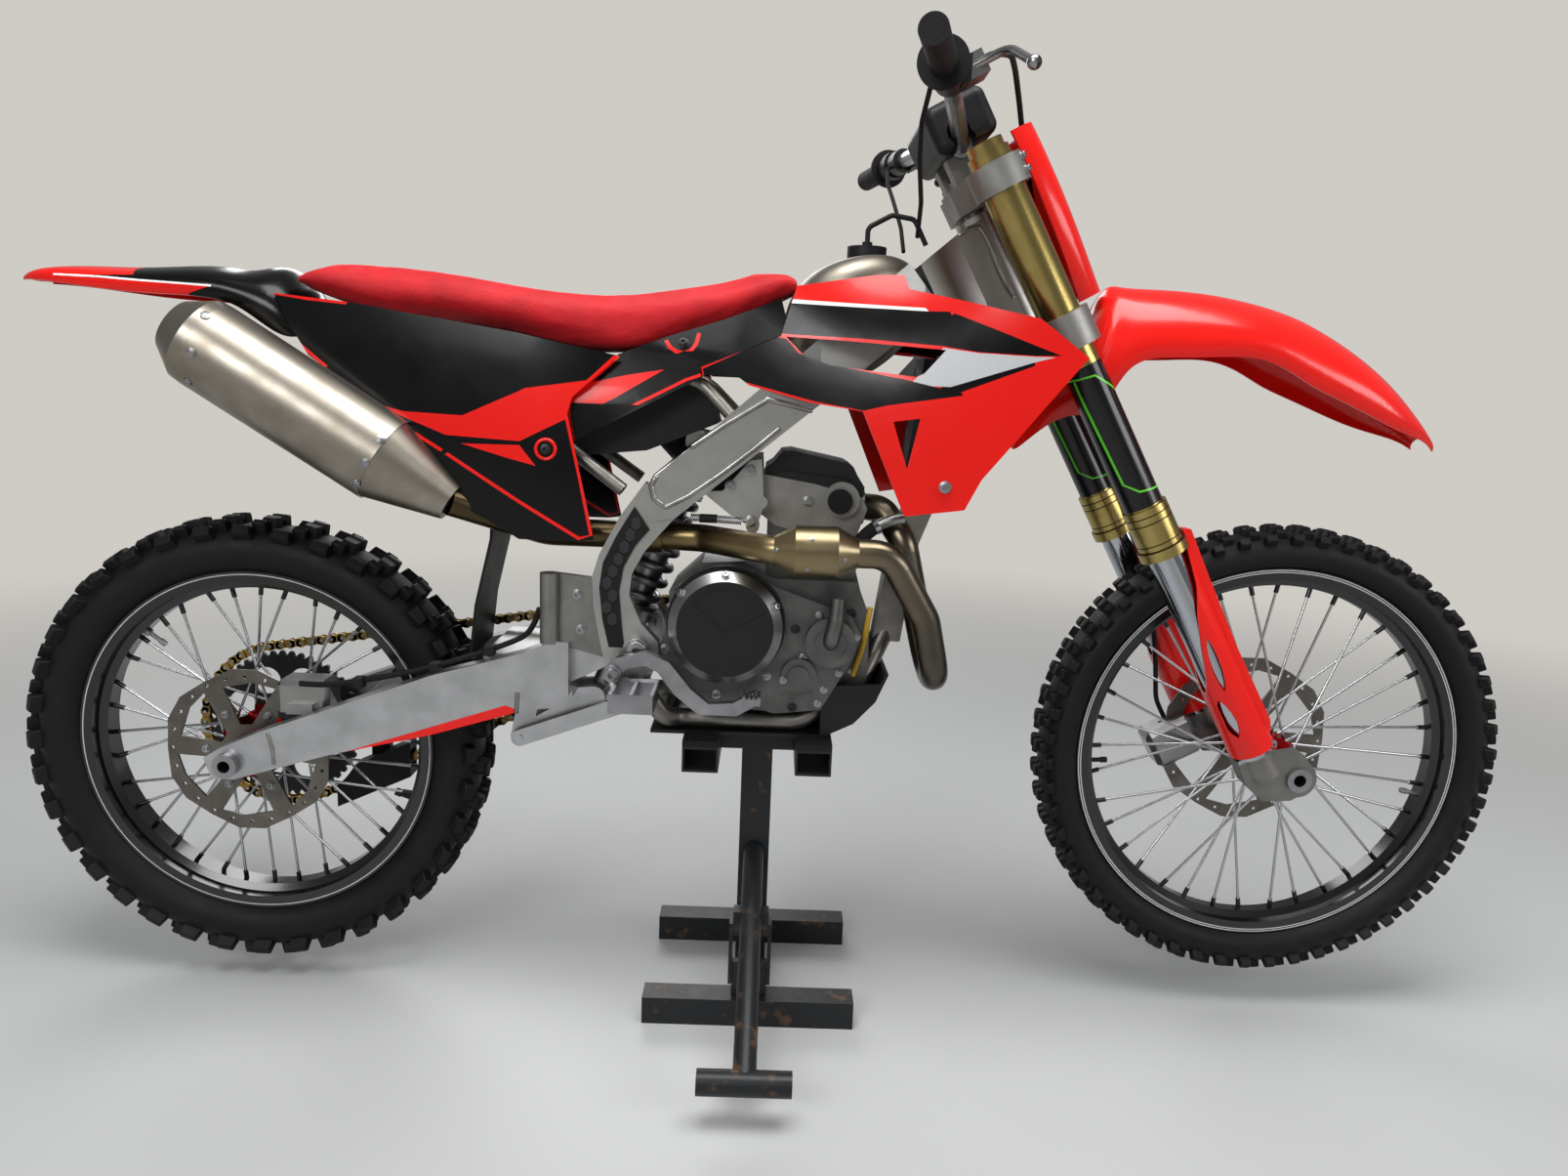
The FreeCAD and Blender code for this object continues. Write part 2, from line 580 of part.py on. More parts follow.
def pitch_radius(teeth):
    return s.chain_pitch / (2 * math.sin(math.pi / teeth))


def toothed(teeth, side, thick, gap):
    """A sprocket's outline: teeth out to a gap from the chain's links."""
    tip = pitch_radius(teeth) - s.link_half_tall - gap
    root = tip - s.tooth_deep
    step = 2 * math.pi / teeth
    points = []
    for i in range(teeth):
        for share, radius in ((0.1, root), (0.36, tip), (0.64, tip), (0.9, root)):
            turn = step * (i + share)
            points.append(V(radius * math.cos(turn), side - thick / 2, radius * math.sin(turn)))
    return prism(points, V(0, thick, 0))


def rear_sprocket():
    teeth = int(s.rear_tooth_count)
    made = toothed(teeth, s.chain_side, s.sprocket_thick, s.tooth_gap)
    low, high = s.chain_side - s.chain_side / 4, s.chain_side + s.chain_side / 4
    made = made.cut(cylinder(V(0, low, 0), V(0, high, 0), s.hub_radius + s.fit_gap))
    outer = pitch_radius(teeth) - s.link_half_tall - s.tooth_deep * 3
    inner = s.rear_flange_radius + s.overrun
    reach = (outer - inner) / 2
    windows = int(s.sprocket_window_count)
    for i in range(windows):
        turn = 2 * math.pi * (i + 0.5) / windows
        middle = (outer + inner) / 2
        at = V(middle * math.cos(turn), low, middle * math.sin(turn))
        made = made.cut(Part.makeCylinder(reach * 0.85, high - low, at, Y_AXIS))
    axle = V(s.rear_axle_x, 0, s.rear_axle_z)
    return solid_node(made, "rear_sprocket", Placement(axle, Rotation()))


def front_sprocket(links):
    """The small sprocket on the gearbox's output shaft, its teeth between the chain's links."""
    teeth = int(s.front_tooth_count)
    made = toothed(teeth, s.chain_side, s.sprocket_thick, -s.link_waist)
    inner = s.chain_side - s.chain_half - s.overrun
    shaft = cylinder(V(0, s.case_half, 0), V(0, inner, 0), s.countershaft_radius)
    at = V(s.countershaft_x, 0, s.countershaft_z)
    band = links.Shape.copy()
    band.translate(-at)
    made = made.cut(band).fuse(shaft)
    return solid_node(max(made.Solids, key=lambda piece: piece.Volume), "front_sprocket",
                      Placement(at, Rotation()))


def chain_runs(offset):
    """The chain line moved out by an offset: two arcs round the sprockets and two tangents."""
    rear, front = V(s.rear_axle_x, 0, s.rear_axle_z), V(s.countershaft_x, 0, s.countershaft_z)
    line = front - rear
    big = pitch_radius(int(s.rear_tooth_count))
    small = pitch_radius(int(s.front_tooth_count))
    slope = math.atan2(line.z, line.x)
    spread = math.acos((big - small) / line.Length)

    def at(centre, radius, turn):
        return centre + V(radius * math.cos(turn), 0, radius * math.sin(turn))

    over, under = slope + spread, slope - spread
    rear_top, rear_low = at(rear, big + offset, over), at(rear, big + offset, under)
    front_top, front_low = at(front, small + offset, over), at(front, small + offset, under)
    back = at(rear, big + offset, slope + math.pi)
    nose = at(front, small + offset, slope)
    return [
        Part.makeLine(rear_top, front_top), Part.Arc(front_top, nose, front_low).toShape(),
        Part.makeLine(front_low, rear_low), Part.Arc(rear_low, back, rear_top).toShape(),
    ]


def chain():
    """The closed chain, its outline swelled at each outer link."""
    line = Part.Wire(chain_runs(0))
    count = 2 * round(line.Length / s.chain_pitch / 2)
    middles = line.discretize(Number=count + 1)[:-1]
    outlines = [[], []]
    for i, at in enumerate(middles):
        along = middles[(i + 1) % count] - middles[i - 1]
        along.normalize()
        out = V(-along.z, 0, along.x)
        tall = s.link_half_tall - (s.link_waist if i % 2 else 0)
        for outline, offset in zip(outlines, (tall, -tall)):
            outline.append(at + out * offset)
    outer, inner = (Part.Face(Part.makePolygon(run + run[:1])) for run in outlines)
    band = outer.cut(inner).extrude(V(0, 2 * s.chain_half, 0))
    band.translate(V(0, s.chain_side - s.chain_half, 0))
    return solid_node(band, "chain")


def axle(which, half, at):
    """A hollow axle with its head, nut and spacers."""
    bar = cylinder(V(0, -half, 0), V(0, half, 0), s.axle_radius)
    head = cylinder(V(0, -half, 0), V(0, s.nut_tall - half, 0), s.nut_radius)
    nut = cylinder(V(0, half - s.nut_tall, 0), V(0, half, 0), s.nut_radius)
    made = bar.fuse([head, nut])
    made = made.cut(cylinder(V(0, -half - s.overrun, 0), V(0, half + s.overrun, 0), s.axle_bore_radius))
    return solid_node(made, f"{which}_axle", Placement(at, Rotation()))


# Fork and bar, in the fork's frame
def fork_node(shape, label):
    return solid_node(shape, label, fork_place())


def in_fork_frame(thing):
    """A fork piece's shape before it was placed."""
    shape = thing.Shape.copy()
    shape.Placement = Placement()
    return shape


def outer_tubes():
    """Each leg's outer tube: dust collar, thick lower end, wrapped middle, clamped top and cap."""
    steps = [
        (s.outer_low, s.outer_low + s.collar_tall, s.collar_radius),
        (s.outer_low + s.collar_tall, s.wrap_low, s.outer_tube_radius + s.overrun),
        (s.wrap_low, s.lower_clamp_low, s.wrap_radius),
        (s.lower_clamp_low, s.fork_top, s.outer_tube_radius - s.fit_gap),
        (s.fork_top, s.fork_top + s.cap_tall, s.cap_radius),
    ]
    made = None
    for low, high, radius in steps:
        piece = cylinder(V(0, s.fork_side, low), V(0, s.fork_side, high), radius)
        made = made.fuse(piece) if made else piece
    return fork_node(both_sides(made), "fork_outer_tubes")


def fork_foot_outline():
    """The casting that carries the axle ahead of the leg, shares of its own box."""
    foot_shares = [
        (0, 0.55), (0.02, 1), (0.52, 1), (0.68, 0.72), (0.96, 0.62), (1, 0.35), (0.8, 0.02),
        (0.5, 0), (0.12, 0.2),
    ]
    return framed(foot_shares, (-s.foot_back, -s.foot_low), (s.foot_ahead, s.foot_high))


def fork_legs():
    """The bright sliders and the castings at their feet."""
    slider = cylinder(V(0, s.fork_side, s.slider_low), V(0, s.fork_side, s.outer_low), s.slider_radius)
    low, high = s.fork_side - s.foot_half_wide, s.fork_side + s.foot_half_wide
    foot = across(fork_foot_outline(), low, high)
    boss_radius = s.nut_radius + s.clamp_wall
    boss = cylinder(V(s.axle_lead, low, 0), V(s.axle_lead, high, 0), boss_radius)
    bore = cylinder(V(s.axle_lead, low - s.overrun, 0), V(s.axle_lead, high + s.overrun, 0),
                    s.axle_radius + s.fit_gap)
    nut = cylinder(V(s.axle_lead, s.front_axle_half - s.nut_tall, 0), V(s.axle_lead, high + s.overrun, 0),
                   s.nut_radius + s.fit_gap)
    leg = slider.fuse([foot, boss]).cut(bore.fuse(nut))
    return fork_node(both_sides(leg), "fork_legs")


def fork_guards():
    """The plastic shells that cover the front of each slider."""
    guard_shares = [
        (0, 0.12), (0.1, 0), (0.78, 0), (0.94, 0.1), (0.92, 0.45), (0.96, 0.78), (1, 0.98),
        (0.86, 1), (0.66, 0.77), (0.47, 0.66), (0.34, 0.54), (0.13, 0.29),
    ]
    outline = framed(guard_shares, (-s.guard_back, s.foot_high), (s.guard_ahead, s.guard_top))
    reach = s.guard_side + s.guard_wall
    solid = across(outline, s.fork_side - reach, s.fork_side + reach)
    middle = V(0, s.fork_side, s.slider_low)
    top = V(0, s.fork_side, s.guard_top + s.overrun)
    hollow = cylinder(middle, top, s.slider_radius + s.guard_wall)
    # the shell follows the slider: a wall round it, open inboard and behind
    shell = cylinder(middle, top, s.slider_radius + 2 * s.guard_wall).cut(hollow)
    keel = box(V(s.slider_radius + s.guard_wall, s.fork_side - reach / 3, s.slider_low),
               V(s.guard_ahead, s.fork_side + reach / 3, s.guard_top))
    made = shell.fuse(keel).common(solid)
    foot_gap = box(V(-s.foot_back - s.overrun, s.fork_side - reach, -s.foot_low),
                   V(s.foot_ahead, s.fork_side + reach, s.foot_high + s.overrun))
    foot = box(V(0, s.fork_side - reach / 3, s.foot_high - s.clamp_wall),
               V(s.slider_radius + 2 * s.guard_wall, s.fork_side + reach / 3, s.foot_high + s.clamp_wall))
    foot = foot.cut(cylinder(middle, top, s.slider_radius))
    made = made.cut(foot_gap).fuse(foot)
    clear = V(0, s.fork_side, s.outer_low)
    made = made.cut(cylinder(clear, top, s.collar_radius + s.fit_gap))
    made = made.cut(across(fork_foot_outline(), s.fork_side - reach, s.fork_side + reach))
    return fork_node(both_sides(made), "fork_guards")


def triple_clamps():
    """Upper and lower clamps joined by the steering stem, with the bar's mounts on top."""
    ring = s.outer_tube_radius + s.clamp_wall
    pieces = []
    bores = []
    for low, tall in ((s.lower_clamp_low, s.lower_clamp_tall), (s.upper_clamp_low, s.upper_clamp_tall)):
        high = low + tall
        for side in (-s.fork_side, s.fork_side):
            pieces.append(cylinder(V(0, side, low), V(0, side, high), ring))
            bores.append(cylinder(V(0, side, low - s.overrun), V(0, side, high + s.overrun),
                                  s.outer_tube_radius))
        bridge = [
            (s.clamp_ahead * 0.6, -s.fork_side), (s.clamp_ahead * 0.2, 0), (s.clamp_ahead * 0.6, s.fork_side),
            (-s.clamp_ahead, s.fork_side), (-s.stem_offset - s.clamp_back, s.clamp_back_half),
            (-s.stem_offset - s.clamp_back, -s.clamp_back_half), (-s.clamp_ahead, -s.fork_side),
        ]
        pieces.append(prism([V(x, y, low) for x, y in bridge], V(0, 0, tall)))
    top = s.upper_clamp_low + s.upper_clamp_tall
    stem = cylinder(V(-s.stem_offset, 0, s.lower_clamp_low), V(-s.stem_offset, 0, top + s.cap_tall),
                    s.stem_radius)
    for side in (-s.bar_mount_side, s.bar_mount_side):
        reach = s.bar_centre_radius + s.bar_mount_wall
        half = s.bar_mount_wide / 2
        pieces.append(box(V(s.bar_ahead - reach, side - half, top - s.overrun),
                          V(s.bar_ahead + reach, side + half, s.bar_up)))
        pieces.append(cylinder(V(s.bar_ahead, side - half, s.bar_up),
                               V(s.bar_ahead, side + half, s.bar_up), reach))
    wide = s.bar_mount_side + s.bar_mount_wide
    bores.append(cylinder(V(s.bar_ahead, -wide, s.bar_up), V(s.bar_ahead, wide, s.bar_up),
                          s.bar_centre_radius + s.fit_gap))
    return fork_node(stem.multiFuse(pieces).cut(Part.makeCompound(bores)), "triple_clamps")


def bar_knee(side):
    return V(s.bar_ahead - s.bar_knee_back, side * s.bar_knee_side, s.bar_up + s.bar_rise)


def bar_end(side):
    knee = bar_knee(side)
    return V(knee.x - s.bar_tip_back, side * s.bar_half_wide, knee.z + s.bar_tip_rise)


def bar_place(side, out):
    """The point of the bar's outer run that lies this far out."""
    knee, end = bar_knee(side), bar_end(side)
    share = (out - s.bar_knee_side) / (s.bar_half_wide - s.bar_knee_side)
    return knee + (end - knee) * share


def bar_direction(side):
    along = bar_end(side) - bar_knee(side)
    along.normalize()
    return along


def perch_side():
    """How far out each lever's perch sits: inside the grip and its housing."""
    return s.bar_half_wide - s.grip_long - s.housing_wide - s.perch_gap


def handlebar():
    """The bar: a thick centre that bends up and back to the thinner grips."""
    pieces = []
    for side in (-1, 1):
        start = V(s.bar_ahead, side * s.bar_straight_half, s.bar_up)
        middle = V(s.bar_ahead, 0, s.bar_up)
        points = [middle, start, bar_knee(side), bar_end(side)]
        pieces.append(bent_tube(points, s.bar_bend, s.bar_radius))
    centre = cylinder(V(s.bar_ahead, -s.bar_straight_half, s.bar_up),
                      V(s.bar_ahead, s.bar_straight_half, s.bar_up), s.bar_centre_radius)
    return fork_node(centre.multiFuse(pieces), "handlebar")


def grips():
    made = []
    for side in (-1, 1):
        along = bar_direction(side)
        outer = bar_end(side)
        inner = outer - along * s.grip_long
        sleeve = cylinder(inner, outer, s.grip_radius)
        flange = cylinder(inner, inner + along * s.grip_flange_thick, s.grip_flange_radius)
        bore = cylinder(inner - along * s.overrun, outer + along * s.overrun, s.bar_radius + s.fit_gap)
        made.append(sleeve.fuse(flange).cut(bore))
    return fork_node(Part.makeCompound(made), "grips")


def bar_controls():
    """Each side's lever on its perch, and what clamps beside it."""
    made = []
    for side in (-1, 1):
        along = bar_direction(side)
        perch = bar_place(side, perch_side())
        half = along * (s.perch_wide / 2)
        ring = cylinder(perch - half, perch + half, s.perch_radius)
        ahead = perch + V(s.reservoir_ahead, 0, -s.lever_radius)
        block = box(ahead - V(s.reservoir_long / 2, s.reservoir_wide / 2, s.reservoir_tall / 2),
                    ahead + V(s.reservoir_long / 2, s.reservoir_wide / 2, s.reservoir_tall / 2))
        pivot = ahead + V(0, side * s.reservoir_wide / 3, 0)
        tip = V(perch.x + s.lever_reach, side * (s.bar_half_wide - s.lever_inset), perch.z - s.lever_drop)
        knee = V(tip.x, side * (perch_side() + s.reservoir_wide), pivot.z - s.lever_radius)
        lever = bent_tube([pivot, knee, tip], s.bar_bend / 2, s.lever_radius)
        ball = Part.makeSphere(s.lever_ball_radius, tip)
        gap = along * (s.overrun + s.fit_gap)
        housing_end = bar_end(side) - along * s.grip_long - gap
        housing = cylinder(housing_end - along * s.housing_wide, housing_end, s.housing_radius)
        group = ring.multiFuse([block, lever, ball, housing])
        bore = cylinder(bar_knee(side), bar_end(side), s.bar_radius + s.fit_gap)
        made.append(group.cut(bore))
    return fork_node(Part.makeCompound(made), "bar_controls")


def bar_pad():
    """The foam pad over the bar's clamps."""
    low = V(s.bar_ahead + s.pad_ahead - s.pad_long / 2, -s.pad_wide / 2, s.bar_up + s.pad_up - s.pad_tall / 2)
    high = low + V(s.pad_long, s.pad_wide, s.pad_tall)
    solid = box(low, high)
    solid = solid.makeFillet(s.pad_round, solid.Edges)
    reach = s.bar_centre_radius + s.bar_mount_wall + s.running_gap
    wide = s.bar_mount_side + s.bar_mount_wide / 2 + s.running_gap
    room = [
        cylinder(V(s.bar_ahead, -wide, s.bar_up), V(s.bar_ahead, wide, s.bar_up), reach),
        box(V(s.bar_ahead - reach, -wide, low.z - s.overrun), V(s.bar_ahead + reach, wide, s.bar_up)),
        cylinder(V(s.bar_ahead, -s.pad_wide, s.bar_up), V(s.bar_ahead, s.pad_wide, s.bar_up),
                 s.bar_centre_radius + s.running_gap),
    ]
    for side in (-1, 1):
        start = V(s.bar_ahead, side * s.bar_straight_half, s.bar_up)
        room.append(cylinder(start, bar_knee(side), s.bar_centre_radius + s.running_gap))
    return fork_node(solid.cut(Part.makeCompound(room)), "bar_pad")


# Front plastics
def front_fender(clamps):
    """An arched mudguard under the lower clamp: its crown rises ahead of the clamp and falls to the tip."""
    # along, crown height, crease height, edge height and half width, shares of the fender's own sizes
    station_shares = [
        (0, 0.04, -0.1, -0.22, 0.74), (0.09, 0.38, 0.1, -0.06, 0.8), (0.145, 0.45, 0.28, 0, 0.86),
        (0.2, 0.93, 0.5, 0.1, 0.9), (0.27, 1, 0.56, 0.42, 0.96), (0.4, 0.99, 0.6, 0.47, 1),
        (0.52, 0.94, 0.6, 0.48, 1), (0.62, 0.86, 0.5, 0.36, 0.98), (0.72, 0.72, 0.36, 0.2, 0.94),
        (0.82, 0.52, 0.2, 0.06, 0.86), (0.92, 0.24, 0.02, -0.06, 0.66), (1, -0.06, -0.14, -0.18, 0.34),
    ]
    base = V(-s.fender_back, 0, -s.fender_down)
    stations = []
    for along, crown, crease, edge, wide in station_shares:
        half = s.fender_half_wide * wide
        x = base.x + s.fender_long * along
        z = [base.z + s.fender_tall * share for share in (edge, crease, crown)]
        rise = z[2] - z[1]
        stations.append([
            V(x, -half * 0.97, z[0]), V(x, -half, z[1]), V(x, -half * 0.6, z[1] + rise * 0.72),
            V(x, 0, z[2]), V(x, half * 0.6, z[1] + rise * 0.72), V(x, half, z[1]), V(x, half * 0.97, z[0]),
        ])
    made = skin(stations, s.fender_wall)
    seat = fork_point(0, 0, s.lower_clamp_low)
    made.Placement = Placement(seat, Rotation())
    return solid_node(made.cut(clamps.Shape), "front_fender")


def number_plate(clamps):
    """The front plate: a bowed shell ahead of the clamps, its sides wrapped back."""
    rows = []
    for share, wide, out in ((0, 0.62, 0.3), (0.3, 0.86, 0.2), (0.65, 1, 0.1), (1, 0.94, 0)):
        up = s.plate_low + (s.plate_high - s.plate_low) * share
        half = s.plate_half_wide * wide
        x = s.plate_ahead + s.plate_wall * out
        rows.append([
            V(x - s.plate_wrap, -half, up), V(x - s.plate_wrap * 0.3, -half * 0.86, up),
            V(x, -half * 0.4, up),
            V(x, half * 0.4, up), V(x - s.plate_wrap * 0.3, half * 0.86, up), V(x - s.plate_wrap, half, up),
        ])
    made = skin(rows, -s.plate_wall, Z_AXIS)
    # a peg behind each edge meets the upper clamp
    middle = s.upper_clamp_low + s.upper_clamp_tall / 2
    side = s.plate_half_wide * 0.92
    for y in (-side, side):
        peg_end = V(s.plate_ahead - s.plate_wrap * 0.76, y, middle)
        made = made.fuse(cylinder(V(s.clamp_ahead * 1.3, y, middle), peg_end, s.hose_radius))
    return fork_node(made.cut(in_fork_frame(clamps)), "front_number_plate")


# Front brake
def front_caliper():
    """The caliper behind the left leg, astride the disc and bolted to the leg's foot."""
    middle = V(s.axle_lead - s.caliper_back + s.caliper_long / 4, s.disc_side, s.caliper_up)
    half = V(s.caliper_long / 2, s.caliper_wide / 2, s.caliper_tall / 2)
    block = box(middle - half, middle + half)
    block = block.makeChamfer(s.caliper_tall / 8, block.Edges)
    lug = box(V(middle.x, s.disc_side + s.pad_slot, middle.z - half.z / 2),
              V(-s.foot_back, s.fork_side + s.foot_half_wide / 2, middle.z))
    slot = cylinder(V(s.axle_lead, s.disc_side - s.pad_slot / 2, 0),
                    V(s.axle_lead, s.disc_side + s.pad_slot / 2, 0),
                    s.front_disc_radius + s.pad_slot)
    return fork_node(block.fuse(lug).cut(slot), "front_caliper")


def front_brake_hose():
    """The hose from the master cylinder, behind the plate and down inside the left leg."""
    inside = s.fork_side - s.slider_radius - 3 * s.guard_wall - s.hose_radius
    start = bar_place(-1, perch_side()) + V(s.reservoir_ahead + s.reservoir_long / 2, 0, 0)
    # ahead, side and height, shares of the hose's lead, the legs' side and the fork's top
    upper_shares = [
        (0.73, -1.96, 1.08), (0.98, -1.4, 1.07), (1.07, -0.9, 1.04), (1.03, -0.42, 0.99), (0.97, 0, 0.93),
        (0.93, 0.3, 0.87), (0.93, 0.34, 0.8), (0.92, 0.5, 0.748), (0.9, 0.84, 0.728), (0.85, 0.86, 0.68),
        (0.8, 0.84, 0.59), (0.77, 0.82, 0.49),
    ]
    route = [start, start + V(s.hose_ahead / 4, 0, 0)]
    route += [V(s.hose_ahead * a, s.fork_side * b, s.fork_top * c) for a, b, c in upper_shares]
    for ahead_share, up_share in ((0.5, 1), (0, 0.7), (-0.57, 0.45)):
        route.append(V(s.hose_ahead * ahead_share, inside, s.outer_low * up_share))
    end = V(-s.caliper_back * 0.47, s.disc_side + s.caliper_wide / 4, s.caliper_up + s.caliper_tall / 2)
    route += [end + V(0, 0, s.caliper_tall / 2), end]
    return fork_node(bent_tube(route, s.bar_bend, s.hose_radius), "front_brake_hose")


# Frame
def between(plan, side_outline, low, high):
    """What a plan outline raised between two heights shares with a prism across the bike."""
    raised = prism([V(x, y, low) for x, y in plan], V(0, 0, high - low))
    return raised.common(side_outline)


def frame_head():
    """The head pipe and the casting that spreads from it to the spars."""
    pipe = cylinder(V(-s.stem_offset, 0, s.head_low), V(-s.stem_offset, 0, s.head_high), s.head_radius)
    casting_shares = [(1, 0.06), (1, 0.95), (0.76, 0.95), (0, 0.84), (0, 0.42), (0.3, 0.36), (0.68, 0.06)]
    back = -s.stem_offset - s.head_gusset_back
    outline = framed(casting_shares, (back, s.head_low), (-s.stem_offset, s.head_high))
    solid = across(outline, -s.spar_high_side * 2, s.spar_high_side * 2)
    wide = s.spar_high_side + s.spar_thick / 2
    plan = [
        (-s.stem_offset, -s.head_radius), (back * 0.5, -s.head_gusset_half), (back, -wide),
        (back, wide), (back * 0.5, s.head_gusset_half), (-s.stem_offset, s.head_radius),
    ]
    casting = between(plan, solid, s.head_low, s.head_high)
    bore = cylinder(V(-s.stem_offset, 0, s.head_low - s.overrun),
                    V(-s.stem_offset, 0, s.head_high + s.overrun),
                    s.stem_radius + s.running_gap)
    return fork_node(pipe.fuse(casting).cut(bore), "frame_head")


def spar_shape():
    """The left spar: a deep beam that bows out from the head down to the pivot plate."""
    low, high = V(s.spar_low_x, 0, s.spar_low_z), V(s.spar_high_x, 0, s.spar_high_z)
    along = high - low
    along.normalize()
    up = V(-along.z, 0, along.x)
    deep, shallow = s.spar_high_tall / 2, s.spar_low_tall / 2
    corners = [
        low - up * shallow, high - up * deep, high + up * deep, low + up * shallow,
        low - along * shallow * 0.8 + up * shallow * 0.5, low - along * shallow * 0.8 - up * shallow * 0.5,
    ]
    solid = across([(p.x, p.z) for p in corners], 0, s.spar_low_side * 2)
    half = s.spar_thick / 2
    tail, nose = s.spar_low_x - s.spar_low_tall, s.spar_high_x + s.spar_high_tall
    middle = s.spar_low_x + (s.spar_high_x - s.spar_low_x) * 0.6
    bow = s.spar_low_side - s.spar_thick * 0.2
    plan = [
        (tail, s.spar_low_side - half), (middle, bow - half), (s.spar_high_x, s.spar_high_side - half),
        (nose, s.spar_high_side - half), (nose, s.spar_high_side + half),
        (s.spar_high_x, s.spar_high_side + half), (middle, bow + half), (tail, s.spar_low_side + half),
    ]
    return between(plan, solid, s.spar_low_z - s.spar_low_tall, s.spar_high_z + s.spar_high_tall)


def frame_spars(head):
    """Both spars, the beam between them, its two ears for the shock and the engine's hangers."""
    left = spar_shape()
    inner = s.spar_low_side - s.spar_thick / 2 + s.overrun
    ear = s.shock_eye_half + s.running_gap
    eye = s.shock_eye_radius
    top = V(s.shock_top_x, 0, s.shock_top_z)
    front = top.x + s.shock_radius + s.overrun
    slope = (s.spar_high_z - s.spar_low_z) / (s.spar_high_x - s.spar_low_x)
    beam_z = s.spar_low_z + (front + s.spar_thick / 2 - s.spar_low_x) * slope
    beam = box(V(front, -inner, beam_z - eye), V(front + s.spar_thick, inner, beam_z + eye))
    pieces = [mirrored(left), beam]
    for side in (-1, 1):
        near, far = sorted((side * ear, side * (ear + s.link_thick)))
        pieces.append(bar_between(top, V(front + eye, 0, beam_z), near, far, eye))
    pieces.append(cylinder(top - V(0, ear + s.link_thick, 0), top + V(0, ear + s.link_thick, 0), eye / 2))
    # the hangers reach down from the spars to the head's back corners
    hanger_shares = [(0.75, 0.97), (0.94, 1), (1, 0.35), (0.88, 0), (0.46, 0.2), (0, 0.51), (0.33, 0.54)]
    corner = V(s.head_back_x + s.hanger_thick, 0, s.head_low_z + s.hanger_thick * 3)
    low, high = (corner.x - s.spar_thick * 3, corner.z), (corner.x, corner.z + s.spar_thick * 3.4)
    outline = framed(hanger_shares, low, high)
    near = s.spar_low_side - s.spar_thick / 2 - s.hanger_thick * 0.7
    hanger = across(outline, near, near + s.hanger_thick)
    for x, z in (outline[2], outline[3]):
        start = V(x - s.hanger_boss_radius / 2, s.engine_head_half, z + s.hanger_boss_radius / 2)
        hanger = hanger.fuse(cylinder(start, V(start.x, near + s.hanger_thick + s.overrun, start.z),
                                      s.hanger_boss_radius))
    pieces += [hanger, mirrored(hanger)]
    made = left.multiFuse(pieces).cut(head.Shape)
    return solid_node(max(made.Solids, key=lambda piece: piece.Volume), "frame_spars")


def pivot_plates(spars):
    """The arched plates that carry the swingarm's bolt, with the bolt through them."""
    plate_shares = [
        (0.62, 0.98), (0.33, 0.81), (0.09, 0.62), (0.01, 0.51), (0.03, 0.36), (0.09, 0.22), (0.17, 0.07),
        (0.32, 0), (0.72, 0.01), (0.82, 0.1), (0.8, 0.19), (0.6, 0.28), (0.45, 0.42), (0.48, 0.53),
        (0.62, 0.64), (0.8, 0.73), (0.99, 0.82),
    ]
    outline = framed(plate_shares, (s.web_back_x, s.web_low_z), (s.web_front_x, s.web_high_z))
    outer = s.web_side + s.web_thick
    plate = across(outline, s.web_side, outer)
    bolt = cylinder(V(s.pivot_x, -outer - s.overrun, s.pivot_z), V(s.pivot_x, outer + s.overrun, s.pivot_z),
                    s.pivot_bolt_radius)
    nuts = [cylinder(V(s.pivot_x, side * outer, s.pivot_z),
                     V(s.pivot_x, side * (outer + s.flange_thick), s.pivot_z),
                     s.pivot_bolt_radius * 2) for side in (-1, 1)]
    made = plate.multiFuse([mirrored(plate), bolt] + nuts).cut(spars.Shape)
    return solid_node(made, "pivot_plates")


def frame_guards(plates):
    """Rubber guards laid on the pivot plates, where the boots rub."""
    guard_shares = [
        (0.5, 0.86), (0.3, 0.72), (0.14, 0.58), (0.1, 0.46), (0.14, 0.3), (0.22, 0.16), (0.4, 0.16),
        (0.36, 0.3), (0.33, 0.44), (0.38, 0.56), (0.52, 0.67), (0.68, 0.75),
    ]
    outline = framed(guard_shares, (s.web_back_x, s.web_low_z), (s.web_front_x, s.web_high_z))
    outer = s.web_side + s.web_thick
    made = both_sides(across(outline, outer, outer + s.frame_guard_thick)).cut(plates.Shape)
    return solid_node(made, "frame_guards")


def cradle_height():
    """The cradle lies on the skid plate, which lies on the stand's treads."""
    return skid_low() + s.skid_wall + s.cradle_radius


def skid_low():
    return s.platform_top_z + s.tread_thick


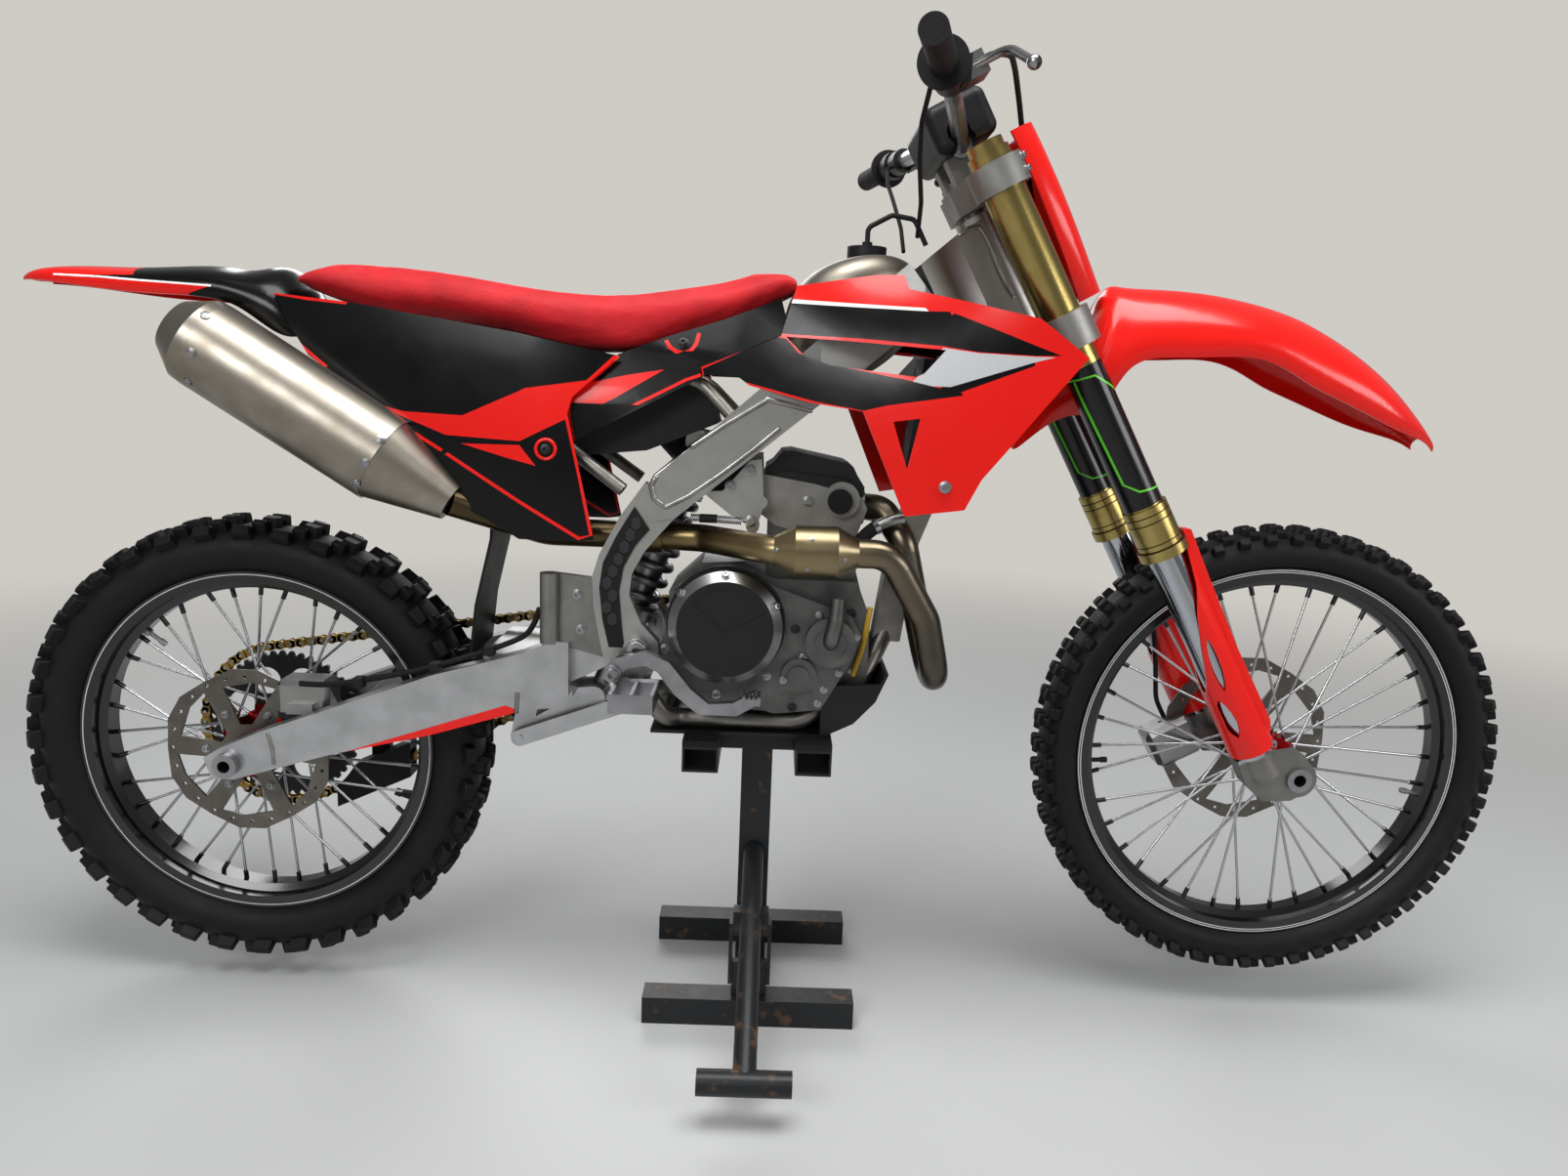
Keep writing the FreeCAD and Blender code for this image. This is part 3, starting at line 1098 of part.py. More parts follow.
def frame_cradle(plates):
    """The down tube, the two rails under the engine and the lug that holds the linkage."""
    deep = s.down_tube_deep / 2
    places = [
        (s.down_tube_top_x, s.down_tube_top_z), (s.down_tube_mid_x, s.down_tube_mid_z),
        (s.down_tube_low_x, s.down_tube_low_z),
    ]
    outline = [(x + deep, z) for x, z in places] + [(x - deep, z) for x, z in reversed(places)]
    half = s.down_tube_wide / 2
    down_tube = across(outline, -half, half)
    low = cradle_height()
    rails = []
    for side in (-1, 1):
        route = [
            V(s.down_tube_low_x, side * half * 0.4, s.down_tube_low_z + s.cradle_radius),
            V(s.cradle_front_x, side * s.cradle_side * 0.7, low + s.cradle_radius * 4),
            V(s.cradle_nose_x, side * s.cradle_side, low), V(s.cradle_tail_x, side * s.cradle_side, low),
            V(s.cradle_back_x + s.cradle_bend, side * (s.web_side + s.web_thick / 2),
              low + s.cradle_radius / 2),
            V(s.cradle_back_x, side * (s.web_side + s.web_thick / 2), s.web_low_z + s.overrun),
        ]
        rails.append(bent_tube(route, s.cradle_bend, s.cradle_radius))
    lug_z = s.link_front_z
    bar_x = s.cradle_back_x + s.cradle_bend
    bar = cylinder(V(bar_x, -s.web_side - s.overrun, lug_z), V(bar_x, s.web_side + s.overrun, lug_z),
                   s.link_thick)
    lug_half = s.link_half - s.running_gap
    lug = box(V(s.link_front_x, -lug_half, lug_z - s.link_radius), V(bar_x, lug_half, lug_z + s.link_radius))
    eye = cylinder(V(s.link_front_x, -lug_half, lug_z), V(s.link_front_x, lug_half, lug_z), s.link_radius)
    # the lower clamp turns in front of the down tube's top
    reach = math.hypot(s.clamp_back, s.clamp_back_half) + s.clamp_wall + s.moving_gap
    room_low, room_high = (fork_point(-s.stem_offset, 0, up) for up in (
        s.lower_clamp_low - s.moving_gap, s.lower_clamp_low + s.lower_clamp_tall + s.moving_gap))
    clamp_room = cylinder(room_low, room_high, reach)
    made = down_tube.cut(clamp_room).multiFuse(rails + [bar, lug, eye]).cut(plates.Shape)
    return solid_node(made, "frame_cradle")


def subframe(spars, plates):
    """The light rails that carry the seat and the rear mudguard."""
    pieces = []
    tail = V(s.subframe_tail_x, s.subframe_side * 0.75, s.subframe_tail_z)
    for side in (-1, 1):
        rail = [
            V(s.subframe_top_x + s.spar_low_tall, side * s.spar_low_side * 0.96,
              s.subframe_top_z - s.spar_low_tall),
            V(s.subframe_top_x, side * s.subframe_side, s.subframe_top_z),
            V(tail.x, side * tail.y, tail.z),
        ]
        pieces.append(bent_tube(rail, s.bar_bend, s.subframe_radius))
        share = (s.subframe_strut_x - s.subframe_top_x) / (tail.x - s.subframe_top_x)
        joint_side = s.subframe_side + (tail.y - s.subframe_side) * share
        joint_z = s.subframe_top_z + (tail.z - s.subframe_top_z) * share
        foot = V(s.subframe_foot_x, side * (s.web_side + s.web_thick / 2), s.subframe_foot_z)
        pieces.append(cylinder(foot, V(s.subframe_strut_x, side * joint_side, joint_z), s.subframe_radius))
    pieces.append(cylinder(V(tail.x, -tail.y, tail.z), tail, s.subframe_radius))
    made = pieces[0].multiFuse(pieces[1:]).cut(Part.makeCompound([spars.Shape, plates.Shape]))
    return solid_node(made, "subframe")


# Swingarm, shock and linkage
def chain_guide():
    """The block below the left arm that the chain's lower run passes through."""
    front, rear = (corner.Point for corner in chain_runs(0)[2].Vertexes)
    slope = (front.z - rear.z) / (front.x - rear.x)

    def level(x, up):
        return x, rear.z + (x - rear.x) * slope + up

    back, nose, tall, room = s.guide_back_x, s.guide_front_x, s.guide_half_tall, s.guide_room
    far_back, far_nose = back - s.overrun, nose + s.overrun
    block = across([level(back, -tall), level(nose, -tall), level(nose, tall), level(back, tall)],
                   s.guide_inner, s.guide_outer)
    tunnel = across([level(far_back, -room), level(far_nose, -room), level(far_nose, room),
                     level(far_back, room)],
                    s.guide_inner + s.guide_wall, s.guide_outer - s.guide_wall)
    x, half = s.guide_strap_x, s.guide_half_tall / 2
    top = s.arm_low_z + (s.arm_high_z - s.arm_low_z) * 0.3
    strap = across([level(x - half, room), level(x + half, room), (x + half, top), (x - half, top)],
                   s.guide_outer - s.guide_wall, s.arm_inner_back + s.guide_wall / 2)
    teeth = pitch_radius(int(s.rear_tooth_count)) - s.link_half_tall + s.moving_gap
    turning = cylinder(V(s.rear_axle_x, 0, s.rear_axle_z),
                       V(s.rear_axle_x, s.arm_inner_back, s.rear_axle_z), teeth)
    return block.fuse(strap).cut([tunnel, turning])


def swingarm():
    """Two tapering arms, the bridge between them, and the necks that reach the pivot."""
    arm_shares = [
        (0, 0.15), (0.04, 0.21), (0.16, 0.34), (0.63, 0.75), (0.87, 0.91), (0.96, 1), (1, 0.99), (1, 0.64),
        (0.87, 0.53), (0.62, 0.35), (0.35, 0.2), (0.08, 0.01), (0.02, 0.01),
    ]
    outline = framed(arm_shares, (s.arm_back_x, s.arm_low_z), (s.arm_front_x, s.arm_high_z))
    solid = across(outline, 0, s.arm_outer_back * 2)
    plan = [
        (s.arm_back_x - s.overrun, s.arm_inner_back), (s.arm_front_x + s.overrun, s.arm_inner_front),
        (s.arm_front_x + s.overrun, s.arm_outer_front), (s.arm_back_x - s.overrun, s.arm_outer_back),
    ]
    arm = between(plan, solid, s.arm_low_z - s.overrun, s.arm_high_z + s.overrun)
    r = s.arm_pivot_radius
    neck_back = s.arm_front_x - 2 * r
    tall = s.arm_high_z - s.arm_low_z
    neck = across([
        (neck_back, s.arm_low_z + tall * 0.9), (s.pivot_x - r, s.pivot_z + r), (s.pivot_x, s.pivot_z + r),
        (s.pivot_x, s.pivot_z - r), (s.pivot_x - r, s.pivot_z - r), (neck_back, s.arm_low_z + tall * 0.62),
    ], s.arm_inner_front - s.overrun, s.web_side - s.running_gap)
    boss = cylinder(V(s.pivot_x, s.web_side * 0.6, s.pivot_z),
                    V(s.pivot_x, s.web_side - s.running_gap, s.pivot_z), r)
    left = arm.fuse([neck, boss])
    bridge = box(V(s.bridge_back_x, -s.arm_inner_front - s.overrun, s.bridge_low_z),
                 V(s.bridge_front_x, s.arm_inner_front + s.overrun, s.bridge_high_z))
    lug_half = s.shock_eye_half
    lug = box(V(s.rocker_x - s.link_radius, -lug_half, s.rocker_z), V(s.rocker_x + s.link_radius, lug_half,
                                                                     s.bridge_low_z + s.overrun))
    eye = cylinder(V(s.rocker_x, -lug_half, s.rocker_z), V(s.rocker_x, lug_half, s.rocker_z), s.link_radius)
    made = left.multiFuse([mirrored(left), bridge, lug, eye, chain_guide()])
    outer = s.arm_outer_back + s.overrun
    bores = [
        cylinder(V(s.pivot_x, -outer, s.pivot_z), V(s.pivot_x, outer, s.pivot_z),
                 s.pivot_bolt_radius + s.fit_gap),
        cylinder(V(s.rear_axle_x, -outer, s.rear_axle_z), V(s.rear_axle_x, outer, s.rear_axle_z),
                 s.axle_radius + s.fit_gap),
    ]
    return solid_node(made.cut(Part.makeCompound(bores)), "swingarm")


def rear_shock():
    """The shock: eyes at both ends, a body, the spring's coils and the reservoir beside it."""
    top, low = V(s.shock_top_x, 0, s.shock_top_z), V(s.shock_low_x, 0, s.shock_low_z)
    down = low - top
    long = down.Length
    down.normalize()
    eyes = [cylinder(at - V(0, s.shock_eye_half, 0), at + V(0, s.shock_eye_half, 0), s.shock_eye_radius)
            for at in (top, low)]
    spring_top, spring_low = top + down * (long * 0.2), top + down * (long * 0.62)
    body = [
        cylinder(top, spring_top, s.shock_eye_half), cylinder(spring_low, low, s.shock_radius / 2),
        cylinder(top + down * (2 * s.shock_eye_radius), spring_low, s.shock_radius),
        cylinder(spring_top - down * s.spring_wire, spring_top, s.spring_radius),
        cylinder(spring_low, spring_low + down * s.spring_wire, s.spring_radius),
    ]
    turns = int(s.spring_turn_count)
    run = (spring_low - spring_top).Length
    for i in range(turns):
        at = spring_top + down * (run * (i + 0.5) / turns)
        coil = Part.makeTorus(s.spring_radius - s.spring_wire, s.spring_wire, at, down)
        body.append(coil)
        web = cylinder(at - down * (s.spring_wire / 2), at + down * (s.spring_wire / 2),
                       s.spring_radius - s.spring_wire)
        body.append(web)
    made = eyes[0].multiFuse([eyes[1]] + body)
    pin = s.shock_eye_radius / 2 + s.fit_gap
    bores = [cylinder(at - V(0, s.spring_radius, 0), at + V(0, s.spring_radius, 0), pin) for at in (top, low)]
    return solid_node(made.cut(Part.makeCompound(bores)), "rear_shock")


def bar_between(start, end, low_side, high_side, radius):
    """A flat link with round ends about two pins."""
    along = end - start
    along.normalize()
    out = V(-along.z, 0, along.x) * radius
    flat = across([(p.x, p.z) for p in (start - out, end - out, end + out, start + out)], low_side, high_side)
    ends = [cylinder(V(p.x, low_side, p.z), V(p.x, high_side, p.z), radius) for p in (start, end)]
    return flat.fuse(ends)


def shock_linkage(keep_clear):
    """The rocker under the swingarm and the pull rods to the frame, with their pins."""
    rocker, shock = V(s.rocker_x, 0, s.rocker_z), V(s.shock_low_x, 0, s.shock_low_z)
    rear, front = V(s.link_rear_x, 0, s.link_rear_z), V(s.link_front_x, 0, s.link_front_z)
    inner = s.shock_eye_half + s.running_gap
    outer = inner + s.link_thick
    made = []
    for side in (-1, 1):
        near, far = sorted((side * inner, side * outer))
        plate = [bar_between(a, b, near, far, s.link_radius) for a,
                 b in ((rocker, shock), (shock, rear), (rear, rocker))]
        near_rod, far_rod = sorted((side * (s.link_half + s.running_gap),
                                    side * (s.link_half + s.link_thick)))
        made += plate + [bar_between(rear, front, near_rod, far_rod, s.link_radius * 0.8)]
    reach = s.link_half + s.link_thick + s.overrun
    made.append(cylinder(V(rear.x, -reach, rear.z), V(rear.x, reach, rear.z), s.link_radius / 3))
    made.append(cylinder(V(shock.x, -outer, shock.z), V(shock.x, outer, shock.z), s.shock_eye_radius / 2))
    return solid_node(made[0].multiFuse(made[1:]).cut(keep_clear), "shock_linkage")


# Engine
def crankcase(cradle):
    """The cases: a full outline in the middle, stepped in on the left for the chain."""
    case_shares = [
        (0.04, 0.14), (0.33, 0), (0.7, 0), (0.9, 0.07), (1, 0.3), (1, 0.74), (0.93, 1), (0.54, 1),
        (0.4, 1.12), (0.2, 1.1), (0.05, 0.88), (0.06, 0.56),
    ]
    low, high = (s.case_back_x + s.arm_pivot_radius, s.case_low_z), (s.case_front_x, s.case_high_z)
    outline = framed(case_shares, low, high)
    inner = s.chain_side - s.chain_half - s.overrun
    full = across(outline, -s.case_half, inner)
    clear = pitch_radius(int(s.front_tooth_count)) + s.link_half_tall + s.overrun
    ahead = s.countershaft_x + clear
    left = across(framed(case_shares, (ahead, low[1]), high), inner - s.overrun, s.case_half)
    return solid_node(full.fuse(left).cut(cradle.Shape), "crankcase")


def engine_cylinder(case, head):
    barrel = across([
        (s.cylinder_back_x, s.case_low_z), (s.cylinder_front_x, s.case_low_z),
        (s.cylinder_front_x, s.engine_head_high_z), (s.cylinder_back_x, s.engine_head_high_z),
    ], -s.cylinder_half, s.cylinder_half)
    barrel = barrel.common(box(V(s.head_back_x, -s.cylinder_half, s.case_high_z - s.case_half / 2),
                               V(s.head_front_x, s.cylinder_half, s.cylinder_high_z + s.flange_thick * 3)))
    return solid_node(barrel.cut(Part.makeCompound([case.Shape, head.Shape])), "engine_cylinder")


def head_outline():
    head_shares = [(0, 0.45), (0.02, 0.97), (0.51, 0.86), (0.95, 0.7), (1, 0.54), (0.87, 0), (0.16, 0.28)]
    return framed(head_shares, (s.head_back_x, s.head_low_z), (s.head_front_x, s.engine_head_high_z))


def cylinder_head():
    """The head, its top sloped to the front, with the round boss over the cam's right end."""
    block = across(head_outline(), -s.engine_head_half, s.engine_head_half)
    wide = s.head_front_x - s.head_back_x
    x, z = s.head_back_x + wide * 0.76, s.engine_head_high_z - wide * 0.22
    boss = cylinder(V(x, -s.engine_head_half - s.cam_boss_out, z), V(x, 0, z), s.filter_radius)
    plug = cylinder(V(x, -s.engine_head_half - s.cam_boss_out - s.rim_wall, z), V(x, 0, z),
                    s.filter_radius * 0.66)
    port = cylinder(V(s.head_front_x - s.column_wide, -s.port_side, s.port_z),
                    V(s.port_x, -s.port_side, s.port_z),
                    s.header_radius + s.flange_thick)
    return solid_node(block.fuse([boss, plug, port]), "cylinder_head")


def valve_cover(head):
    """The cover on the head: a stepped hood that follows the head's sloped top."""
    cover_shares = [
        (0.04, 0.1), (0.05, 0.53), (0.12, 0.66), (0.2, 0.96), (0.28, 1), (0.8, 0.72), (0.86, 0.62),
        (0.9, 0.4),
        (0.97, 0.1), (0.94, -0.3),
    ]
    outline = framed(cover_shares, (s.head_back_x, s.cylinder_high_z + s.cover_half),
                     (s.head_front_x, s.cover_high_z))
    made = across(outline, -s.cover_half, s.cover_half)
    rail = across(framed([(a, b * 0.55 - 0.1) for a, b in cover_shares],
                         (s.head_back_x, s.cylinder_high_z + s.cover_half), (s.head_front_x, s.cover_high_z)),
                  -s.engine_head_half + s.overrun, s.engine_head_half - s.overrun)
    return solid_node(made.fuse(rail).cut(head.Shape), "valve_cover")


def clutch_cover():
    """The round cover over the clutch, with a bevelled rim."""
    body = new_body("clutch_cover")
    sketch = new_sketch(body, "clutch_cover_section", "YZ_Plane")
    draw_outline(sketch, [
        ("-right_case_out", "0"), ("-right_case_out", "clutch_radius + clutch_rim / 3"),
        ("-right_case_out - clutch_rim / 2", "clutch_radius + clutch_rim / 3"),
        ("-right_case_out - clutch_rim / 2", "clutch_radius"), ("-clutch_out + clutch_rim", "clutch_radius"),
        ("-clutch_out", "clutch_radius - clutch_rim"), ("-clutch_out", "0"),
    ])
    revolve(body, sketch)
    # a sunk field between two creases that meet near the middle
    field = new_sketch(body, "clutch_cover_field", "XZ_Plane", "clutch_out")
    corners = [("0", "-clutch_rim / 3")]
    for share in (0, 0.25, 0.5, 0.75, 1):
        turn = s.sector_start_angle + (s.sector_end_angle - s.sector_start_angle) * share
        corners.append((f"sector_radius * cos(1deg * {turn})", f"sector_radius * sin(1deg * {turn})"))
    draw_outline(field, corners)
    pocket(body, field, "2 * sector_deep", symmetric=True)
    return put_at(body, "clutch_x", "0", "clutch_z")


def engine_covers(cradle):
    """The right cover with its pump, elbow and filter cap, and the generator's cover on the left."""
    base_shares = [
        (0.06, 0.86), (0, 0.43), (0.05, 0.23), (0.29, 0.04), (0.53, 0.02), (0.58, 0), (0.81, 0.04),
        (0.94, 0.37),
        (1, 0.58), (0.94, 0.73), (0.8, 0.8), (0.57, 0.91), (0.45, 1),
    ]
    outline = framed(base_shares, (s.right_back_x, s.right_low_z), (s.right_front_x, s.right_high_z))
    right = across(outline, -s.right_case_out, -s.case_half)
    for x, z, radius, out in (
        (s.pump_x, s.pump_z, s.pump_radius, s.pump_out),
        (s.filter_x, s.filter_z, s.filter_radius, s.filter_out),
    ):
        right = right.fuse(cylinder(V(x, -s.case_half, z), V(x, -out, z), radius))
        right = right.fuse(cylinder(V(x, -s.case_half, z), V(x, -out - s.rim_wall, z), radius * 0.6))
    right = right.fuse(bent_tube(elbow_route(), s.elbow_tall / 3, s.elbow_radius))
    left = cylinder(V(s.generator_x, s.case_half, s.generator_z),
                    V(s.generator_x, s.generator_out, s.generator_z),
                    s.generator_radius)
    cap = cylinder(V(s.generator_x, s.case_half, s.generator_z),
                   V(s.generator_x, s.generator_out + s.rim_wall, s.generator_z), s.generator_radius * 0.4)
    shaft = cylinder(V(s.generator_x + s.generator_radius, s.case_half,
                       s.generator_z - s.generator_radius / 2),
                     V(s.generator_x + s.generator_radius, s.case_half + s.clutch_rim,
                       s.generator_z - s.generator_radius / 2),
                     s.generator_radius / 2)
    return solid_node(Part.makeCompound([right, left.fuse([cap, shaft])]).cut(cradle.Shape), "engine_covers")


def elbow_route():
    """The pump's outlet, out of its cover and up beside the barrel."""
    x, z = s.pump_x, s.pump_z
    return [
        V(x, -s.pump_out + s.overrun, z), V(x, -s.elbow_side, z + s.elbow_radius / 2),
        V(x + s.elbow_radius / 2, -s.elbow_side, z + s.elbow_tall / 2),
        V(x + s.elbow_radius * 0.7, -s.elbow_side + s.elbow_radius / 2, z + s.elbow_tall),
    ]


# Intake and exhaust
def airbox(keep_clear):
    """The airbox round the shock, the boot to the head and the rubber flap that hangs behind it."""
    box_shares = [
        (1, 0.58), (0.74, 0.38), (0.5, 0.33), (0.28, 0.06), (0.06, 0), (0, 0.3), (0, 1), (0.57, 0.96),
        (0.96, 0.82),
    ]
    front = s.subframe_top_x + s.intake_radius
    outline = framed(box_shares, (s.airbox_back_x, s.airbox_low_z), (front, s.airbox_high_z))
    solid = across(outline, -s.airbox_half, s.airbox_half)
    top, low = V(s.shock_top_x, 0, s.shock_top_z), V(s.shock_low_x, 0, s.shock_low_z)
    reach = s.spring_radius + s.overrun
    room = cylinder(top, low,
                    reach).fuse(cylinder(top - V(0, reach, 0), top + V(0, reach, 0), s.shock_radius))
    start = V(s.head_back_x + s.overrun, 0, s.engine_head_high_z - s.intake_radius)
    beside = V(s.shock_top_x, s.intake_side, s.intake_z - s.intake_radius)
    knee = V((start.x + beside.x) / 2, s.intake_side / 4, start.z)
    end = V(s.intake_x - 2 * s.intake_radius, s.intake_side - s.overrun, s.intake_z + s.intake_radius)
    boot = bent_tube([start, knee, beside, end], s.bar_bend, s.intake_radius)
    wall = s.flap_wall
    places = [
        (s.flap_top_x, s.flap_top_z), (s.flap_top_x - wall, s.flap_top_z * 0.7 + s.flap_low_z * 0.3),
        (s.flap_low_x + wall * 2, s.flap_top_z * 0.3 + s.flap_low_z * 0.7), (s.flap_low_x, s.flap_low_z),
    ]
    flap = across(places + [(x + wall, z) for x, z in reversed(places)], -s.flap_half_wide, s.flap_half_wide)
    made = solid.cut(room).multiFuse([boot, flap])
    return solid_node(made.cut(keep_clear), "airbox")


def muffler_axis():
    turn = math.radians(s.muffler_angle)
    back = V(-math.cos(turn), 0, math.sin(turn))
    return V(s.muffler_low_x, -s.muffler_side, s.muffler_low_z), back


def header_route():
    """The header's corners, from the port down, under and back up outside, then rearwards."""
    low, back = muffler_axis()
    cone_start = low - back * (s.muffler_cone - s.overrun)
    inside = s.web_side - s.joint_radius - s.overrun
    bend = s.header_bend
    return [
        V(s.port_x, -s.port_side, s.port_z), V(s.port_x + bend * 0.6, -s.header_in_side / 2, s.port_z),
        V(s.port_x + bend * 1.3, -s.header_in_side, s.port_z - bend),
        V(s.header_low_x, -s.header_in_side, s.header_low_z),
        V(s.header_low_x, -s.header_out_side, s.header_low_z),
        V(s.header_low_x - s.header_radius, -s.header_out_side, s.header_low_z + bend * 2),
        V(s.bulge_front_x + bend, -s.bulge_side, s.header_run_z),
        V(s.bulge_back_x, -s.bulge_side, s.header_run_z),
        V(s.joint_x + bend, -inside - s.flange_thick, s.header_run_z), V(s.joint_x, -inside, s.header_run_z),
        V(s.mid_pipe_x, -inside, s.mid_pipe_z), cone_start,
    ]


def exhaust_header(keep_clear):
    """The looped header pipe with its bulge and slip joint."""
    route = header_route()
    made = bent_tube(route, s.header_bend, s.header_radius)
    front, back = V(s.bulge_front_x, -s.bulge_side, s.header_run_z), V(s.bulge_back_x, -s.bulge_side,
                                                                       s.header_run_z)
    quarter = (front - back) * 0.25
    bulge = [
        cone(back, back + quarter, s.header_radius, s.bulge_radius),
        cylinder(back + quarter, front - quarter, s.bulge_radius),
        cone(front - quarter, front, s.bulge_radius, s.header_radius),
    ]
    sleeve_start = route[9] - V(s.cradle_radius, 0, 0)
    sleeve = cylinder(sleeve_start, sleeve_start - V(s.column_wide, 0, 0), s.header_radius + s.rim_wall)
    return solid_node(made.multiFuse(bulge + [sleeve]).cut(keep_clear), "exhaust_header")


def muffler():
    """The muffler, turned about its axis: cone, can and end cap with its outlet."""
    body = new_body("muffler")
    sketch = new_sketch(body, "muffler_section", "XZ_Plane")
    end, cap = "muffler_long", "(muffler_long + muffler_cap)"
    draw_outline(sketch, [
        ("-muffler_cone", "0"), ("-muffler_cone", "joint_radius"), ("0", "muffler_radius - rim_wall / 2"),
        ("0", "muffler_radius"), (end, "muffler_radius"),
        (f"{end} + muffler_cap * 0.3", "muffler_radius * 0.98"),
        (cap, "cap_end_radius"), (cap, "outlet_radius"), (f"{cap} - outlet_deep", "outlet_radius"),
        (f"{cap} - outlet_deep", "0"),
    ])
    revolve(body, sketch)
    low, back = muffler_axis()
    body.Placement = Placement(low, Rotation(X_AXIS, back))
    return put_at(body, "muffler_low_x", "-muffler_side", "muffler_low_z")


# Radiators, tank and seat
def radiators(cradle):
    thick = s.radiator_thick
    outline = [
        (s.radiator_top_x, s.radiator_top_z), (s.radiator_low_x, s.radiator_low_z),
        (s.radiator_low_x - thick, s.radiator_low_z), (s.radiator_top_x - thick, s.radiator_top_z),
    ]
    core = across(outline, s.radiator_inner, s.radiator_outer)
    for share in (0.25, 0.75):
        x = s.radiator_low_x + (s.radiator_top_x - s.radiator_low_x) * share
        z = s.radiator_low_z + (s.radiator_top_z - s.radiator_low_z) * share
        core = core.fuse(box(V(x - s.cradle_radius, s.down_tube_wide / 2 - s.overrun, z),
                             V(x, s.radiator_inner + s.overrun, z + s.flange_thick)))
    return solid_node(both_sides(core).cut(cradle.Shape), "radiators")


def fuel_tank(keep_clear):
    """The tank between the spars: rounded sections, low under the seat's nose and narrow at the head."""
    station_shares = [
        (-0.03, 0.66, 0.12, 0.5), (0.12, 0.86, 0, 0.8), (0.45, 1, 0.02, 0.97), (0.8, 0.84, 0.2, 1.01),
        (1, 0.6, 0.4, 0.94),
    ]
    sections = []
    for along, wide, low, high in station_shares:
        x = s.tank_back_x + (s.tank_front_x - s.tank_back_x) * along
        tall = s.tank_high_z - s.tank_low_z
        sections.append(rounded_section(x, s.tank_half * wide, s.tank_low_z + tall * low,
                                        s.tank_low_z + tall * high,
                                        tall / 5))
    return solid_node(Part.makeLoft(sections, True, False).cut(keep_clear), "fuel_tank")


def fuel_cap(tank):
    """The screw cap with the vent hose that loops forward from its top."""
    top = V(s.tank_cap_x, 0, s.tank_cap_high_z)
    made = cylinder(V(s.tank_cap_x, 0, s.tank_cap_low_z - s.rim_wall), top, s.tank_cap_radius)
    made = made.fuse(cylinder(top - V(0, 0, s.rim_wall), top + V(0, 0, s.vent_radius * 2), s.vent_radius * 2))
    run = s.vent_end_x - top.x
    route = [
        top, top + V(0, 0, s.vent_rise * 0.6), top + V(run * 0.4, 0, s.vent_rise),
        top + V(run * 0.78, 0, s.vent_rise * 0.9), V(s.vent_end_x, 0, s.vent_end_z),
    ]
    hose = bent_tube(route, s.vent_rise / 4, s.vent_radius)
    return solid_node(made.fuse(hose).cut(tank.Shape), "fuel_cap")


def seat():
    """The seat's foam: rounded sections that dip in the middle and climb the tank."""
    # along, top, bottom and half width, shares of the seat's box
    station_shares = [
        (0, 0.66, 0.62, 0.8), (0.02, 0.72, 0.6, 0.86), (0.1, 0.78, 0.46, 0.94), (0.28, 0.74, 0.32, 1),
        (0.45, 0.62, 0.2, 0.98), (0.56, 0.57, 0.08, 0.92), (0.66, 0.58, 0.03, 0.86), (0.78, 0.69, 0.24, 0.76),
        (0.9, 0.86, 0.52, 0.66), (0.97, 0.98, 0.72, 0.6), (1, 0.9, 0.8, 0.54),
    ]
    tall = s.seat_high_z - s.seat_low_z
    sections = []
    for along, top, bottom, wide in station_shares:
        x = s.seat_back_x + (s.seat_front_x - s.seat_back_x) * along
        low, high = s.seat_low_z + tall * bottom, s.seat_low_z + tall * top
        sections.append(rounded_section(x, s.seat_half * wide, low, high, tall / 5))
    return solid_node(Part.makeLoft(sections, True, False), "seat")


# Body panels
def shrouds(spars):
    """The curved shrouds: a flared wall cut to its outline, with a window and a slot."""
    columns = [
        (-0.02, (0.08, 0.07, 0.02, -0.07)), (0.25, (0.34, 0.34, 0.25, -0.02)), (0.52, (0.8, 0.75, 0.6, 0.07)),
        (0.77, (0.98, 0.95, 0.84, 0.6)), (1.02, (1.05, 1.05, 1, 0.95)),
    ]
    height_shares = (-0.04, 0.35, 0.68, 1.04)
    stations = []
    for along, outs in columns:
        x = s.shroud_back_x + (s.shroud_front_x - s.shroud_back_x) * along
        stations.append([
            V(x, s.shroud_in + (s.shroud_out - s.shroud_in) * out,
              s.shroud_low_z + (s.shroud_high_z - s.shroud_low_z) * up) for up,
              out in zip(height_shares, outs)
        ])
    wall = skin(stations, -s.panel_wall)
    outline_shares = [
        (0.25, 0.94), (0.456, 0.997), (0.532, 1), (0.545, 0.94), (0.674, 0.898), (0.874, 0.83), (1, 0.68),
        (0.748, 0.168), (0.709, 0.039), (0.555, 0), (0.435, 0.428), (0.297, 0.454), (0.132, 0.516),
        (0.099, 0.553), (0.004, 0.553), (0, 0.586), (0.212, 0.727),
    ]
    window_shares = [
        (0.226, 0.726), (0.276, 0.648), (0.347, 0.612), (0.567, 0.578), (0.588, 0.593), (0.641, 0.692),
        (0.387, 0.716),
    ]
    slot_shares = [(0.514, 0.391), (0.583, 0.409), (0.556, 0.195)]
    corners = (s.shroud_back_x, s.shroud_low_z), (s.shroud_front_x, s.shroud_high_z)
    far = s.shroud_out * 2
    made = wall.common(across(framed(outline_shares, *corners), 0, far))
    for cut in (window_shares, slot_shares):
        made = made.cut(across(framed(cut, *corners), 0, far))
    return solid_node(both_sides(made).cut(spars.Shape), "radiator_shrouds")


